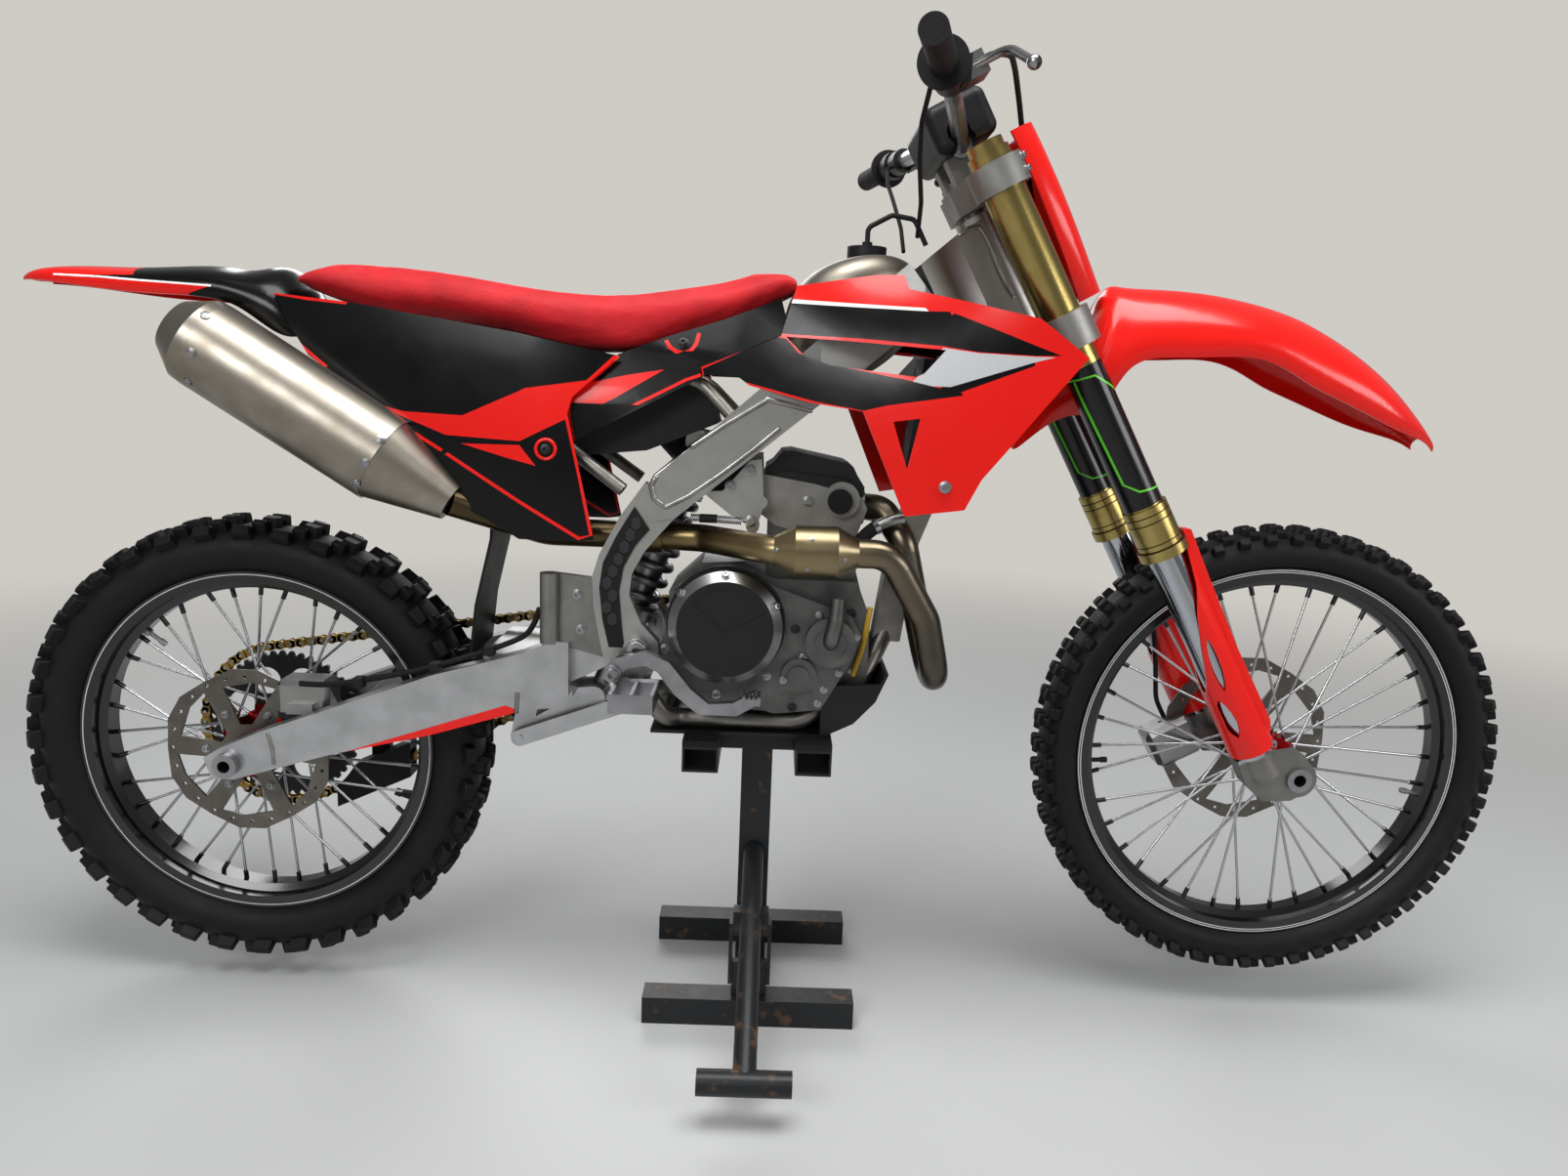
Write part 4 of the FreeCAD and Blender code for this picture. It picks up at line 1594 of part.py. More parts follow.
def side_panels(keep_clear):
    """The number panels beside the seat, bowed out over the muffler's front."""
    columns = [
        (-0.02, (0.66, 0.68, 0.66, 0.62)), (0.24, (0.82, 0.83, 0.82, 0.76)), (0.55, (0.96, 0.97, 0.95, 0.86)),
        (0.85, (1.02, 1.01, 0.96, 0.84)), (1.02, (1.0, 0.97, 0.9, 0.8)),
    ]
    height_shares = (-0.03, 0.3, 0.66, 1.03)
    stations = []
    for along, outs in columns:
        x = s.panel_back_x + (s.panel_front_x - s.panel_back_x) * along
        stations.append([
            V(x, s.panel_out * out, s.panel_low_z + (s.panel_high_z - s.panel_low_z) * up)
            for up, out in zip(height_shares, outs)
        ])
    wall = skin(stations, -s.panel_wall)
    outline_shares = [
        (0, 1), (0.235, 0.97), (0.714, 0.872), (1, 0.79), (0.875, 0.613), (0.862, 0.544), (0.941, 0.01),
        (0.897, 0),
        (0.725, 0), (0.66, 0.056), (0.446, 0.213), (0.382, 0.32), (0.347, 0.498), (0.277, 0.577),
        (0.105, 0.744),
        (0.057, 0.849),
    ]
    corners = (s.panel_back_x, s.panel_low_z), (s.panel_front_x, s.panel_high_z)
    made = wall.common(across(framed(outline_shares, *corners), 0, s.panel_out * 2))
    x = s.panel_boss_x
    z = s.subframe_foot_z + (s.subframe_strut_z - s.subframe_foot_z) * (s.subframe_foot_x - x) / (
        s.subframe_foot_x - s.subframe_strut_x)
    made = made.fuse(cylinder(V(x, s.subframe_side, z), V(x, s.panel_out * 0.99, z), s.peg_tall / 4))
    made = Part.makeCompound([made, mid_cover().cut(wall)])
    return solid_node(both_sides(made).cut(keep_clear), "side_panels")


def mid_cover():
    """The cover between the seat, the shroud and the number panel, leaning in to the tank."""
    outline_shares = [
        (0, 0.241), (0.218, 0.579), (0.439, 0.713), (0.689, 0.841), (0.952, 1), (1, 0.754), (0.958, 0.754),
        (0.592, 0.513), (0.606, 0.451), (0.37, 0.262), (0.038, 0),
    ]
    low, high = s.mid_low_z, s.mid_high_z
    corners = (s.mid_back_x, low), (s.mid_front_x, high)
    lean_shares = [(1, -0.1), (0.97, 0.25), (0.62, 0.62), (0.12, 0.92), (0, 1.1)]
    outside = [V(s.mid_back_x, s.mid_in + (s.mid_out - s.mid_in) * a, low + (high - low) * b) for a,
               b in lean_shares]
    inside = [at - V(0, s.panel_wall, 0) for at in reversed(outside)]
    wall = prism(outside + inside, V(s.mid_front_x - s.mid_back_x, 0, 0))
    made = wall.common(across(framed(outline_shares, *corners), 0, s.mid_out * 2))
    # a peg from the airbox's side meets the cover's back
    z = low + (high - low) * 0.3
    out = s.mid_in + (s.mid_out - s.mid_in) * 0.88
    return made.fuse(cylinder(V(s.mid_peg_x, s.airbox_half, z), V(s.mid_peg_x, out, z), s.peg_tall / 4))


def rear_fender():
    """The rear mudguard: a flat-topped shell from under the seat to the tail."""
    # along, top, edge and half width, shares of the tail's own sizes
    station_shares = [
        (0, 0.77, 0.72, 0.4), (0.06, 0.9, 0.71, 0.62), (0.25, 0.96, 0.62, 0.78), (0.47, 1, 0.56, 0.93),
        (0.61, 1, 0.52, 0.99), (0.7, 0.98, 0.36, 1), (0.79, 0.95, 0.06, 1), (0.835, 0.66, 0, 0.96),
        (1, 0.4, 0, 0.9),
    ]
    stations = []
    tall = s.tail_high_z - s.tail_low_z
    for along, top, edge, wide in station_shares:
        x = s.tail_back_x + (s.tail_front_x - s.tail_back_x) * along
        half = s.tail_half * wide
        z = [s.tail_low_z + tall * share for share in (edge, top)]
        rise = z[1] - z[0]
        stations.append([
            V(x, -half, z[0]), V(x, -half * 0.97, z[0] + rise * 0.6), V(x, -half * 0.6, z[1] - rise * 0.06),
            V(x, half * 0.6, z[1] - rise * 0.06), V(x, half * 0.97, z[0] + rise * 0.6), V(x, half, z[0]),
        ])
    return solid_node(skin(stations, s.panel_wall), "rear_fender")


# Foot controls and rear brake
def footpegs():
    """Each peg: a toothed frame on a hinge beside the pivot plate."""
    low, high = s.peg_x - s.peg_long / 2, s.peg_x + s.peg_long / 2
    inner, outer_side = s.peg_side + s.peg_tall / 2, s.web_side + s.web_thick
    floor, top = s.peg_z - s.peg_tall / 2, s.peg_z + s.peg_tall / 2
    frame_box = box(V(low, inner, floor), V(high, s.peg_out, top))
    wall = s.rim_wall
    inside = box(V(low + wall, inner + wall, s.peg_z - s.peg_tall),
                 V(high - wall, s.peg_out - wall, s.peg_z + s.peg_tall))
    rib = box(V(s.peg_x - wall / 2, s.peg_side, floor), V(s.peg_x + wall / 2, s.peg_out, top))
    hinge = box(V(low + s.peg_long / 4, outer_side - s.web_thick, s.web_low_z - s.peg_tall),
                V(high - s.peg_long / 4, inner + wall, s.web_low_z))
    made = frame_box.cut(inside).multiFuse([rib, hinge])
    count = int(s.peg_tooth_count)
    pitch = (s.peg_out - inner) / count
    notch = [(-s.peg_tooth_wide / 2, 0), (0, -s.peg_tooth_deep), (s.peg_tooth_wide / 2, 0)]
    for i in range(count):
        start = [V(low - wall, inner + pitch * (i + 0.5) + a, top + b) for a, b in notch]
        made = made.cut(prism(start, V(s.peg_long + 2 * wall, 0, 0)))
    return made


def footpeg_node(keep_clear):
    return solid_node(both_sides(footpegs()).cut(keep_clear), "footpegs")


def foot_controls():
    """The brake pedal's forged arm on the right and the gear lever on the left."""
    radius = s.pedal_wide / 2
    side = -s.pedal_side - radius
    low, high = (s.pedal_pivot_x, s.pedal_low_z), (s.pedal_tip_x, s.pedal_high_z)
    arm_shares = [
        (-0.07, 0.66), (0.02, 0.68), (0.09, 0.88), (0.225, 0.97), (0.31, 0.84), (0.43, 0.36), (0.6, -0.06),
        (0.87, -0.06),
        (1.02, 0.22), (1, 0.5), (0.84, 0.22), (0.67, 0.18), (0.54, 0.5), (0.39, 1.06), (0.23, 1.26),
        (0.02, 1.12),
        (-0.06, 0.85),
    ]
    pedal = across(framed(arm_shares, low, high), side - radius, side + radius)
    tread_long = s.pedal_tall
    tread = box(V(s.pedal_tip_x - tread_long, -s.pedal_tip_out, s.pedal_tip_z - s.pedal_tall / 3),
                V(s.pedal_tip_x + tread_long / 3, side, s.pedal_tip_z + s.pedal_tall / 3))
    for i in range(1, int(s.tread_groove_count) + 1):
        x = s.pedal_tip_x - tread_long + tread_long * i / s.tread_groove_count
        groove = box(V(x - s.rim_wall / 2, -s.pedal_tip_out - s.overrun, s.pedal_tip_z + s.pedal_tall / 6),
                     V(x + s.rim_wall / 2, side + s.overrun, s.pedal_tip_z + s.pedal_tall))
        tread = tread.cut(groove)
    boss = cylinder(V(s.pedal_pivot_x, side - radius * 1.2, s.pedal_pivot_z),
                    V(s.pedal_pivot_x, -s.web_side - s.web_thick, s.pedal_pivot_z), radius * 1.5)
    start = V(s.gear_x, s.gear_side + s.gear_radius, s.gear_z)
    end = V(s.gear_tip_x, start.y, s.gear_tip_z)
    lever = cylinder(start, end, s.gear_radius * 0.7)
    toe = cylinder(end, V(s.gear_tip_x, s.gear_tip_out, s.gear_tip_z), s.gear_radius)
    shaft = cylinder(V(s.gear_x, s.case_half, s.gear_z), start, s.gear_radius)
    return solid_node(Part.makeCompound([pedal.fuse([tread, boss]), lever.fuse([toe, shaft])]),
                      "foot_controls")


def rear_brake(keep_clear):
    """The master cylinder on its bracket, and the caliper astride the rear disc."""
    x, side = s.master_x, -s.master_side
    outer = -s.web_side - s.web_thick / 2
    bracket = across([
        (x, s.master_low_z), (x, s.master_high_z),
        (s.web_back_x + s.flange_thick, s.master_high_z - s.flange_thick),
        (s.web_back_x + s.web_thick, s.master_low_z - s.web_thick),
    ], outer, -s.web_side)
    body = cylinder(V(x, side, s.master_low_z), V(x, side, s.master_high_z), s.master_radius)
    master = body.fuse(bracket)
    middle = V(s.rear_caliper_x, -s.disc_side, s.rear_caliper_z)
    half = V(s.caliper_long / 2, s.caliper_wide / 2, s.caliper_tall / 2)
    block = box(middle - half, middle + half)
    block = block.makeChamfer(s.caliper_tall / 8, block.Edges)
    carrier = box(V(middle.x - half.x / 2, -s.arm_inner_back - s.overrun, middle.z - half.z),
                  V(middle.x + half.x / 2, middle.y - half.y / 2, middle.z))
    slot = cylinder(V(s.rear_axle_x, middle.y - s.pad_slot / 2, s.rear_axle_z),
                    V(s.rear_axle_x, middle.y + s.pad_slot / 2, s.rear_axle_z),
                    s.rear_disc_radius + s.pad_slot)
    caliper = block.fuse(carrier).cut(slot)
    return solid_node(Part.makeCompound([master, caliper]).cut(keep_clear), "rear_brake")


def skid_plate(keep_clear):
    """The plate under the cradle, turned up at the front."""
    low = skid_low()
    tall = s.skid_high_z - low
    lower_shares = [(0, 0), (0.72, 0), (0.86, 0.24), (0.95, 0.58), (1, 1)]
    lower = framed(lower_shares, (s.skid_back_x, low), (s.skid_front_x, low + tall))
    upper = [(x - (s.skid_wall if z > low + s.skid_wall else 0),
              z + s.skid_wall * (1 if z < low + tall / 3 else 0)) for x, z in lower]
    sheet_metal = across(lower + upper[::-1], -s.skid_half, s.skid_half)
    cheek_shares = [(0.72, 0), (0.86, 0.24), (0.95, 0.58), (0.98, 0.85), (0.72, 0.8)]
    cheek = across(framed(cheek_shares, (s.skid_back_x, low), (s.skid_front_x, low + tall)),
                   s.skid_half - s.skid_wall, s.skid_half)
    return solid_node(sheet_metal.multiFuse([cheek, mirrored(cheek)]).cut(keep_clear), "skid_plate")


# Paddock stand
def stand_base():
    """Two floor beams joined by a cross beam, square tube."""
    long, beam, half = s.stand_long, s.stand_beam, s.stand_half_wide
    pieces = []
    for low in (-half, half - beam):
        pieces.append(box(V(-long / 2, low, 0), V(long / 2, low + beam, beam)))
    joined = box(V(-beam / 2, -half + beam - s.overrun, 0), V(beam / 2, half - beam + s.overrun, beam))
    made = joined.multiFuse(pieces)
    wall = s.tube_wall
    for low in (-half, half - beam):
        made = made.cut(box(V(-long / 2 - s.overrun, low + wall, wall),
                            V(long / 2 + s.overrun, low + beam - wall, beam - wall)))
    lug = box(V(-s.link_bar_x + s.link_bar_thick, -half + beam / 3, beam - s.overrun),
              V(s.link_bar_x - s.link_bar_thick, -half + beam * 0.66, beam * 2.3))
    return solid_node(made.fuse(lug), "stand_base")


def stand_column():
    """The square column, the two treads' tubes across it and the beam that carries them."""
    half, wall = s.column_wide / 2, s.tube_wall
    tube_low = s.platform_top_z - s.platform_tall
    column = box(V(-half, -half, s.stand_beam), V(half, half, tube_low))
    column = column.cut(box(V(wall - half, wall - half, s.stand_beam), V(half - wall, half - wall, tube_low)))
    beam = box(V(-s.platform_x, -half, tube_low), V(s.platform_x, half, s.platform_top_z))
    made = column.fuse(beam)
    wide = s.platform_tube / 2
    for x in (-s.platform_x, s.platform_x):
        tube = box(V(x - wide, -s.platform_half, tube_low), V(x + wide, s.platform_half, s.platform_top_z))
        made = made.fuse(tube)
    for x in (-s.platform_x, s.platform_x):
        made = made.cut(box(V(x - wide + wall, -s.platform_half - s.overrun, tube_low + wall),
                            V(x + wide - wall, s.platform_half + s.overrun, s.platform_top_z - wall)))
    return solid_node(made, "stand_column")


def stand_treads():
    """The ribbed rubber strips that the bike rests on."""
    wide = s.platform_tube / 2
    made = []
    for x in (-s.platform_x, s.platform_x):
        strip = box(V(x - wide, -s.platform_half, s.platform_top_z),
                    V(x + wide, s.platform_half, s.platform_top_z + s.tread_thick))
        made.append(strip)
    return solid_node(Part.makeCompound(made), "stand_treads")


def stand_lever():
    """The foot lever: a round tube to the treadle, held down by two link bars at the base."""
    half = s.column_wide / 2
    top = V(0, -half, s.stand_lever_z)
    end = V(0, -s.treadle_side, s.treadle_z)
    along = end - top
    along.normalize()
    arm = cylinder(top + along * s.overrun, end, s.stand_lever_radius)
    treadle = cylinder(V(-s.treadle_half, end.y, end.z), V(s.treadle_half, end.y, end.z), s.treadle_radius)
    link_side = s.stand_half_wide - s.stand_beam / 2
    share = (link_side - half) / (s.treadle_side - half)
    arm_z = s.stand_lever_z + (s.treadle_z - s.stand_lever_z) * share
    inner = s.link_bar_x - s.link_bar_thick
    drop = s.stand_lever_radius * 2.4
    gusset = box(V(-inner, -link_side - s.link_bar_wide / 2, arm_z - drop),
                 V(inner, -link_side + s.link_bar_wide / 2, arm_z))
    pieces = [treadle, gusset]
    bars = []
    for side in (-1, 1):
        near, far = sorted((side * inner, side * s.link_bar_x))
        bars.append(box(V(near, -link_side - s.link_bar_wide / 2, s.stand_beam * 1.5),
                        V(far, -link_side + s.link_bar_wide / 2, arm_z - drop / 2)))
    post = box(V(-half, -half, 0), V(half, half, s.platform_top_z))
    return solid_node(arm.multiFuse(pieces + bars).cut(post), "stand_lever")


# Control cables, from the bar down behind the head pipe
def control_cables():
    cable_shares = [(0, 0, 0), (-0.2, 0.27, 0.21), (0.2, 0.56, 0.44), (0.86, 0.79, 0.74), (1, 1, 1)]
    made = []
    for side in (-1, 1):
        along = bar_direction(side)
        start = bar_end(side) - along * (s.grip_long + s.housing_wide * 1.5)
        place = fork_place()
        begin = place.multVec(start + V(-s.housing_radius, 0, 0))
        end = V(s.cable_end_x, side * s.cable_end_side, s.cable_end_z)
        run = end - begin
        route = [begin + V(run.x * a, run.y * b, run.z * c) for a, b, c in cable_shares]
        made.append(bent_tube(route, s.bar_bend, s.cable_radius))
    return solid_node(Part.makeCompound(made), "control_cables")


def build():
    front_axle_at, rear_axle_at = V(s.front_axle_x, 0, s.front_axle_z), V(s.rear_axle_x, 0, s.rear_axle_z)
    for which, place, axle_at in (("front", on_front_wheel, front_axle_at),
                                  ("rear", on_rear_wheel, rear_axle_at)):
        place(rim(which))
        tyre(which, axle_at)
        hub(which, axle_at)
    on_front_wheel(brake_disc("front", "-1"))
    on_rear_wheel(brake_disc("rear", "1"))
    rear_sprocket()
    front_sprocket(chain())
    axle("front", s.front_axle_half, front_axle_at)
    axle("rear", s.rear_axle_half, rear_axle_at)
    outer_tubes()
    fork_legs()
    fork_guards()
    clamps = triple_clamps()
    handlebar()
    grips()
    bar_controls()
    bar_pad()
    front_fender(clamps)
    number_plate(clamps)
    front_caliper()
    front_brake_hose()
    head = frame_head()
    spars = frame_spars(head)
    plates = pivot_plates(spars)
    frame_guards(plates)
    cradle = frame_cradle(plates)
    rails = subframe(spars, plates)
    arm = swingarm()
    shock = rear_shock()
    shock_linkage(Part.makeCompound([arm.Shape, shock.Shape, cradle.Shape]))
    case = crankcase(cradle)
    head_casting = cylinder_head()
    engine_cylinder(case, head_casting)
    valve_cover(head_casting)
    clutch_cover()
    covers = engine_covers(cradle)
    airbox(Part.makeCompound([spars.Shape, rails.Shape, head_casting.Shape]))
    can = muffler()
    doc.recompute()
    header = exhaust_header(Part.makeCompound([can.Shape, head_casting.Shape]))
    radiators(cradle)
    tank = fuel_tank(Part.makeCompound([spars.Shape, head.Shape, rails.Shape]))
    fuel_cap(tank)
    seat()
    wings = shrouds(spars)
    doc.recompute()
    side_panels(Part.makeCompound([can.Shape, header.Shape, rails.Shape, wings.Shape]))
    rear_fender()
    footpeg_node(Part.makeCompound([plates.Shape, cradle.Shape]))
    foot_controls()
    rear_brake(Part.makeCompound([plates.Shape, arm.Shape]))
    skid_plate(Part.makeCompound([covers.Shape, case.Shape]))
    stand_base()
    stand_column()
    stand_treads()
    stand_lever()
    control_cables()


build()
doc.recompute()
broken = [thing.Label for thing in doc.Objects if "Invalid" in thing.State or "Error" in thing.State]
for part in nodes:
    if part.Shape.isNull() or not part.Shape.isValid() or not part.Shape.Solids:
        broken.append(part.Label)
if broken:
    raise SystemExit("broken: " + ", ".join(broken))
os.makedirs("parts", exist_ok=True)
for part in nodes:
    part.Shape.exportStep(f"parts/{part.Label}.step")
print(len(nodes), "sub-parts")
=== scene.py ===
# %% [markdown]
# An off-road motorcycle stands on its paddock lift stand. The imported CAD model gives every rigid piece
# its place, and this lesson dresses it: first the stage, then one material for each real finish, and
# then the small pieces that the CAD model leaves out.

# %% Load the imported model
import json
import math

import bmesh
import bpy
from mathutils import Matrix, Vector
from mathutils.bvhtree import BVHTree


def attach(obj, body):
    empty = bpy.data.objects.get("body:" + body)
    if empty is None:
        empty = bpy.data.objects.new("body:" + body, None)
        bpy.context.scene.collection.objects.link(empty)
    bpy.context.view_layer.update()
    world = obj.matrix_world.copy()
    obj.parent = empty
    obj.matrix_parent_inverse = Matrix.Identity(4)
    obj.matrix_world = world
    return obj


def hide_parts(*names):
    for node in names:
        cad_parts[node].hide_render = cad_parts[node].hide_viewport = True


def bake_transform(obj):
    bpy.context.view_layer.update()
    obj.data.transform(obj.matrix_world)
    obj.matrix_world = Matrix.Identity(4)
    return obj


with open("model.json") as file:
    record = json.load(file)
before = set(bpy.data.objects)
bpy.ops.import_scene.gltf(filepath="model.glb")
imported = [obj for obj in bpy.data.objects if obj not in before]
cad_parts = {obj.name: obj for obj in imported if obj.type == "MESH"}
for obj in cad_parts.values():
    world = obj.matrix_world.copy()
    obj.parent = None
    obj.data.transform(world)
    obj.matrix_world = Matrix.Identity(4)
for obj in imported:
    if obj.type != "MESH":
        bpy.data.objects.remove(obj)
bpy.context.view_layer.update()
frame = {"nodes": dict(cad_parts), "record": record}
nodes = frame["nodes"]

MM = 0.001


def new_object(name, data):
    """An object with its data, added to the scene."""
    thing = bpy.data.objects.new(name, data)
    bpy.context.scene.collection.objects.link(thing)
    return thing


# %% [markdown]
# The camera stands where the photographer stood: 1.55 m to the right of the bike, 0.9 m above the
# floor, looking slightly down. Its turn is given as three directions, because a hand-held shot is
# rolled a little as well.

# %% Camera
PHOTO_WIDE = 1606
FOCAL_PIXELS = 1107.9
SENSOR = 36
CAMERA_AT = Vector((0.00573, -1.54883, 0.89881))
LOOK_RIGHT = Vector((0.99916, -0.00815, 0.04007))
LOOK_AHEAD = Vector((0.01528, 0.98334, -0.18115))
LOOK_UP = Vector((-0.03793, 0.18161, 0.98264))

camera_data = bpy.data.cameras.new("photo_camera")
camera_data.sensor_width = SENSOR
camera_data.lens = FOCAL_PIXELS * SENSOR / PHOTO_WIDE
camera = new_object("photo_camera", camera_data)
turn = Matrix((LOOK_RIGHT, LOOK_UP, -LOOK_AHEAD)).transposed().to_4x4()
camera.matrix_world = Matrix.Translation(CAMERA_AT) @ turn
bpy.context.scene.camera = camera
print("lens", round(camera_data.lens, 2), "mm")


# %% [markdown]
# Every finish starts from the real material. A small function adds one node with its settings and
# links, another turns the maker's hex colours into the linear values that the shader wants, and a
# third starts a material with its plain base values on the shader itself. Most finishes then share one
# build: a cloud of soft spots shifts their gloss and tone, and a fine grain gives them relief.

# %% Material helpers
EVEN = (1, 1, 1)


def linear(code, alpha=1.0):
    """A colour written as hex, as Blender's linear numbers."""
    parts = [int(code[i:i + 2], 16) / 255 for i in (0, 2, 4)]
    return tuple(c / 12.92 if c <= 0.04045 else ((c + 0.055) / 1.055) ** 2.4 for c in parts) + (alpha,)


def add(tree, kind, settings=None, **links):
    """Add one shader node, set its values and join its inputs (i0, i1 or a name with underscores)."""
    new = tree.nodes.new(kind)
    for key, value in (settings or {}).items():
        if hasattr(new, key):
            setattr(new, key, value)
        else:
            new.inputs[int(key) if key.isdigit() else key].default_value = value
    for key, source in links.items():
        numbered = key[0] == "i" and key[1:].isdigit()
        tree.links.new(source, new.inputs[int(key[1:]) if numbered else key.replace("_", " ")])
    return new


def finish(name, colour, rough, metal=0.0, coat=0.0, coat_rough=0.05):
    """Start a material: returns it with its tree and its shader, with the plain values set."""
    material = bpy.data.materials.new(name)
    material.use_nodes = True
    shader = material.node_tree.nodes["Principled BSDF"]
    for socket, value in (("Base Color", linear(colour)), ("Roughness", rough), ("Metallic", metal),
                          ("Coat Weight", coat), ("Coat Roughness", coat_rough)):
        shader.inputs[socket].default_value = value
    return material, material.node_tree, shader


def place(tree):
    return add(tree, "ShaderNodeTexCoord").outputs["Object"]


def grain(tree, at, spacing, detail, stretch=EVEN):
    """Noise whose spots lie a real distance apart, in millimetres."""
    scaled = add(tree, "ShaderNodeMapping", {"Scale": stretch}, Vector=at).outputs[0]
    noise = add(tree, "ShaderNodeTexNoise", {"Scale": 1 / (spacing * MM), "Detail": detail}, Vector=scaled)
    return noise.outputs["Fac"]


def ramp(tree, value, stops, change="LINEAR"):
    """A colour ramp from (place, hex) stops."""
    node = add(tree, "ShaderNodeValToRGB", {}, Fac=value)
    band = node.color_ramp
    band.interpolation = change
    while len(band.elements) < len(stops):
        band.elements.new(0.5)
    for element, (at, colour) in zip(band.elements, stops):
        element.position = at
        element.color = linear(colour)
    return node.outputs["Color"]


def spread(tree, value, low, high):
    """A 0 to 1 pattern spread between two values."""
    return add(tree, "ShaderNodeMapRange", {"To Min": low, "To Max": high}, Value=value).outputs[0]


def bump(tree, shader, height, depth, strength):
    """Relief of a real depth, in millimetres."""
    made = add(tree, "ShaderNodeBump", {"Strength": strength, "Distance": depth * MM}, Height=height)
    tree.links.new(made.outputs[0], shader.inputs["Normal"])


def weathered(name, colour, rough, cloud, gloss, fine, relief, tones=None, sharp=None, stretch=EVEN, **base):
    """A finish with a cloud and a fine grain, each given by its spacing in mm and its detail.

    gloss is the roughness at the cloud's two ends, tones are its colours, and relief is the fine
    grain's depth in mm and its strength.
    """
    material, tree, shader = finish(name, colour, rough, **base)
    if sharp is not None:
        shader.inputs["Specular IOR Level"].default_value = sharp
    at = place(tree)
    spots = grain(tree, at, *cloud)
    if tones:
        tree.links.new(ramp(tree, spots, tones), shader.inputs["Base Color"])
    tree.links.new(spread(tree, spots, *gloss), shader.inputs["Roughness"])
    bump(tree, shader, grain(tree, at, *fine, stretch), *relief)
    return material


print("mid grey in linear numbers:", [round(part, 3) for part in linear("808080")])


# %% [markdown]
# The stage is a pale floor that fades into a plain backdrop of the wall's warm light grey, so that no
# horizon line cuts the picture. Four large area lamps give the soft light of a garage ceiling.

# %% Floor, backdrop and lamps
BACKDROP = (0.62, 0.60, 0.56, 1)
AMBIENT, AMBIENT_STRENGTH = (0.76, 0.77, 0.78, 1), 0.3
FLOOR_WIDE = 24
FADE_START, FADE_END = 1.5, 4.5


def area_lamp(name, at, target, wide, power):
    """One soft lamp, half as tall as wide, that points at a target: metres and watts."""
    data = bpy.data.lights.new(name, "AREA")
    data.shape = "RECTANGLE"
    data.size, data.size_y = wide, wide / 2
    data.energy = power
    lamp = new_object(name, data)
    lamp.location = at
    ahead = (Vector(target) - lamp.location).normalized()
    lamp.rotation_euler = ahead.to_track_quat("-Z", "Y").to_euler()


area_lamp("ceiling_lamp", (0.2, -0.6, 3.2), (0, 0, 0.5), 2.6, 100)
area_lamp("side_lamp", (-1.6, -3.2, 2.4), (0, 0, 0.6), 1.8, 62)
area_lamp("front_lamp", (3.2, -1.8, 1.8), (0.2, 0, 0.6), 1.8, 40)
area_lamp("back_lamp", (-1.0, 3.2, 2.4), (0, 0, 0.6), 2.4, 45)


def pale_room():
    """A world that lights softly, and that the camera sees as the backdrop."""
    world = bpy.data.worlds.new("pale_room")
    bpy.context.scene.world = world
    world.use_nodes = True
    tree = world.node_tree
    light = tree.nodes["Background"]
    light.inputs["Color"].default_value = AMBIENT
    light.inputs["Strength"].default_value = AMBIENT_STRENGTH
    seen = add(tree, "ShaderNodeBackground", {"Color": BACKDROP, "Strength": 1})
    rays = add(tree, "ShaderNodeLightPath")
    mix = add(tree, "ShaderNodeMixShader", {}, i0=rays.outputs["Is Camera Ray"], i1=light.outputs[0],
              i2=seen.outputs[0])
    tree.links.new(mix.outputs[0], tree.nodes["World Output"].inputs[0])


def pale_floor():
    """A pale painted floor that turns into the backdrop's colour a few metres away."""
    material, tree, shader = finish("pale_floor", "b2b3b3", 0.5)
    far = add(tree, "ShaderNodeVectorMath", {"operation": "LENGTH"}, i0=place(tree)).outputs["Value"]
    fade = add(tree, "ShaderNodeMapRange", {"interpolation_type": "SMOOTHSTEP", "From Min": FADE_START,
                                            "From Max": FADE_END}, Value=far).outputs[0]
    rays = add(tree, "ShaderNodeLightPath")
    seen = add(tree, "ShaderNodeMath", {"operation": "MAXIMUM"}, i0=rays.outputs["Is Camera Ray"],
               i1=rays.outputs["Is Glossy Ray"]).outputs[0]
    share = add(tree, "ShaderNodeMath", {"operation": "MULTIPLY"}, i0=fade, i1=seen).outputs[0]
    glow = add(tree, "ShaderNodeEmission", {"Color": BACKDROP, "Strength": 1}).outputs[0]
    mix = add(tree, "ShaderNodeMixShader", {}, i0=share, i1=shader.outputs[0], i2=glow).outputs[0]
    tree.links.new(mix, tree.nodes["Material Output"].inputs["Surface"])
    return material


pale_room()
bpy.context.scene.view_settings.view_transform = "Standard"

bpy.ops.object.select_all(action="DESELECT")
bpy.ops.mesh.primitive_plane_add(size=FLOOR_WIDE, location=(0, 0, 0))
floor = bpy.context.object
floor.name = "floor"
bpy.ops.object.mode_set(mode="EDIT")
bpy.ops.mesh.select_all(action="SELECT")
bpy.ops.mesh.subdivide(number_cuts=1)
bpy.ops.object.mode_set(mode="OBJECT")
floor.data.materials.append(pale_floor())
print("floor", FLOOR_WIDE, "m wide")


# %% [markdown]
# The body panels are polypropylene with its colour in the plastic, moulded in polished tools and
# covered by glossy printed film. The eye sees a sharp highlight that wavers a little over large panels.

# %% Moulded panels and plain black parts
def panel_gloss(name, colour, rough=0.2, coat=0.12, sharp=0.3):
    """Glossy moulded plastic: slight waviness, and dust that dulls it here and there."""
    return weathered(name, colour, rough, (45, 6), (rough * 0.75, rough * 1.5), (28, 1), (0.25, 0.35),
                     sharp=sharp, coat=coat, coat_rough=0.08)


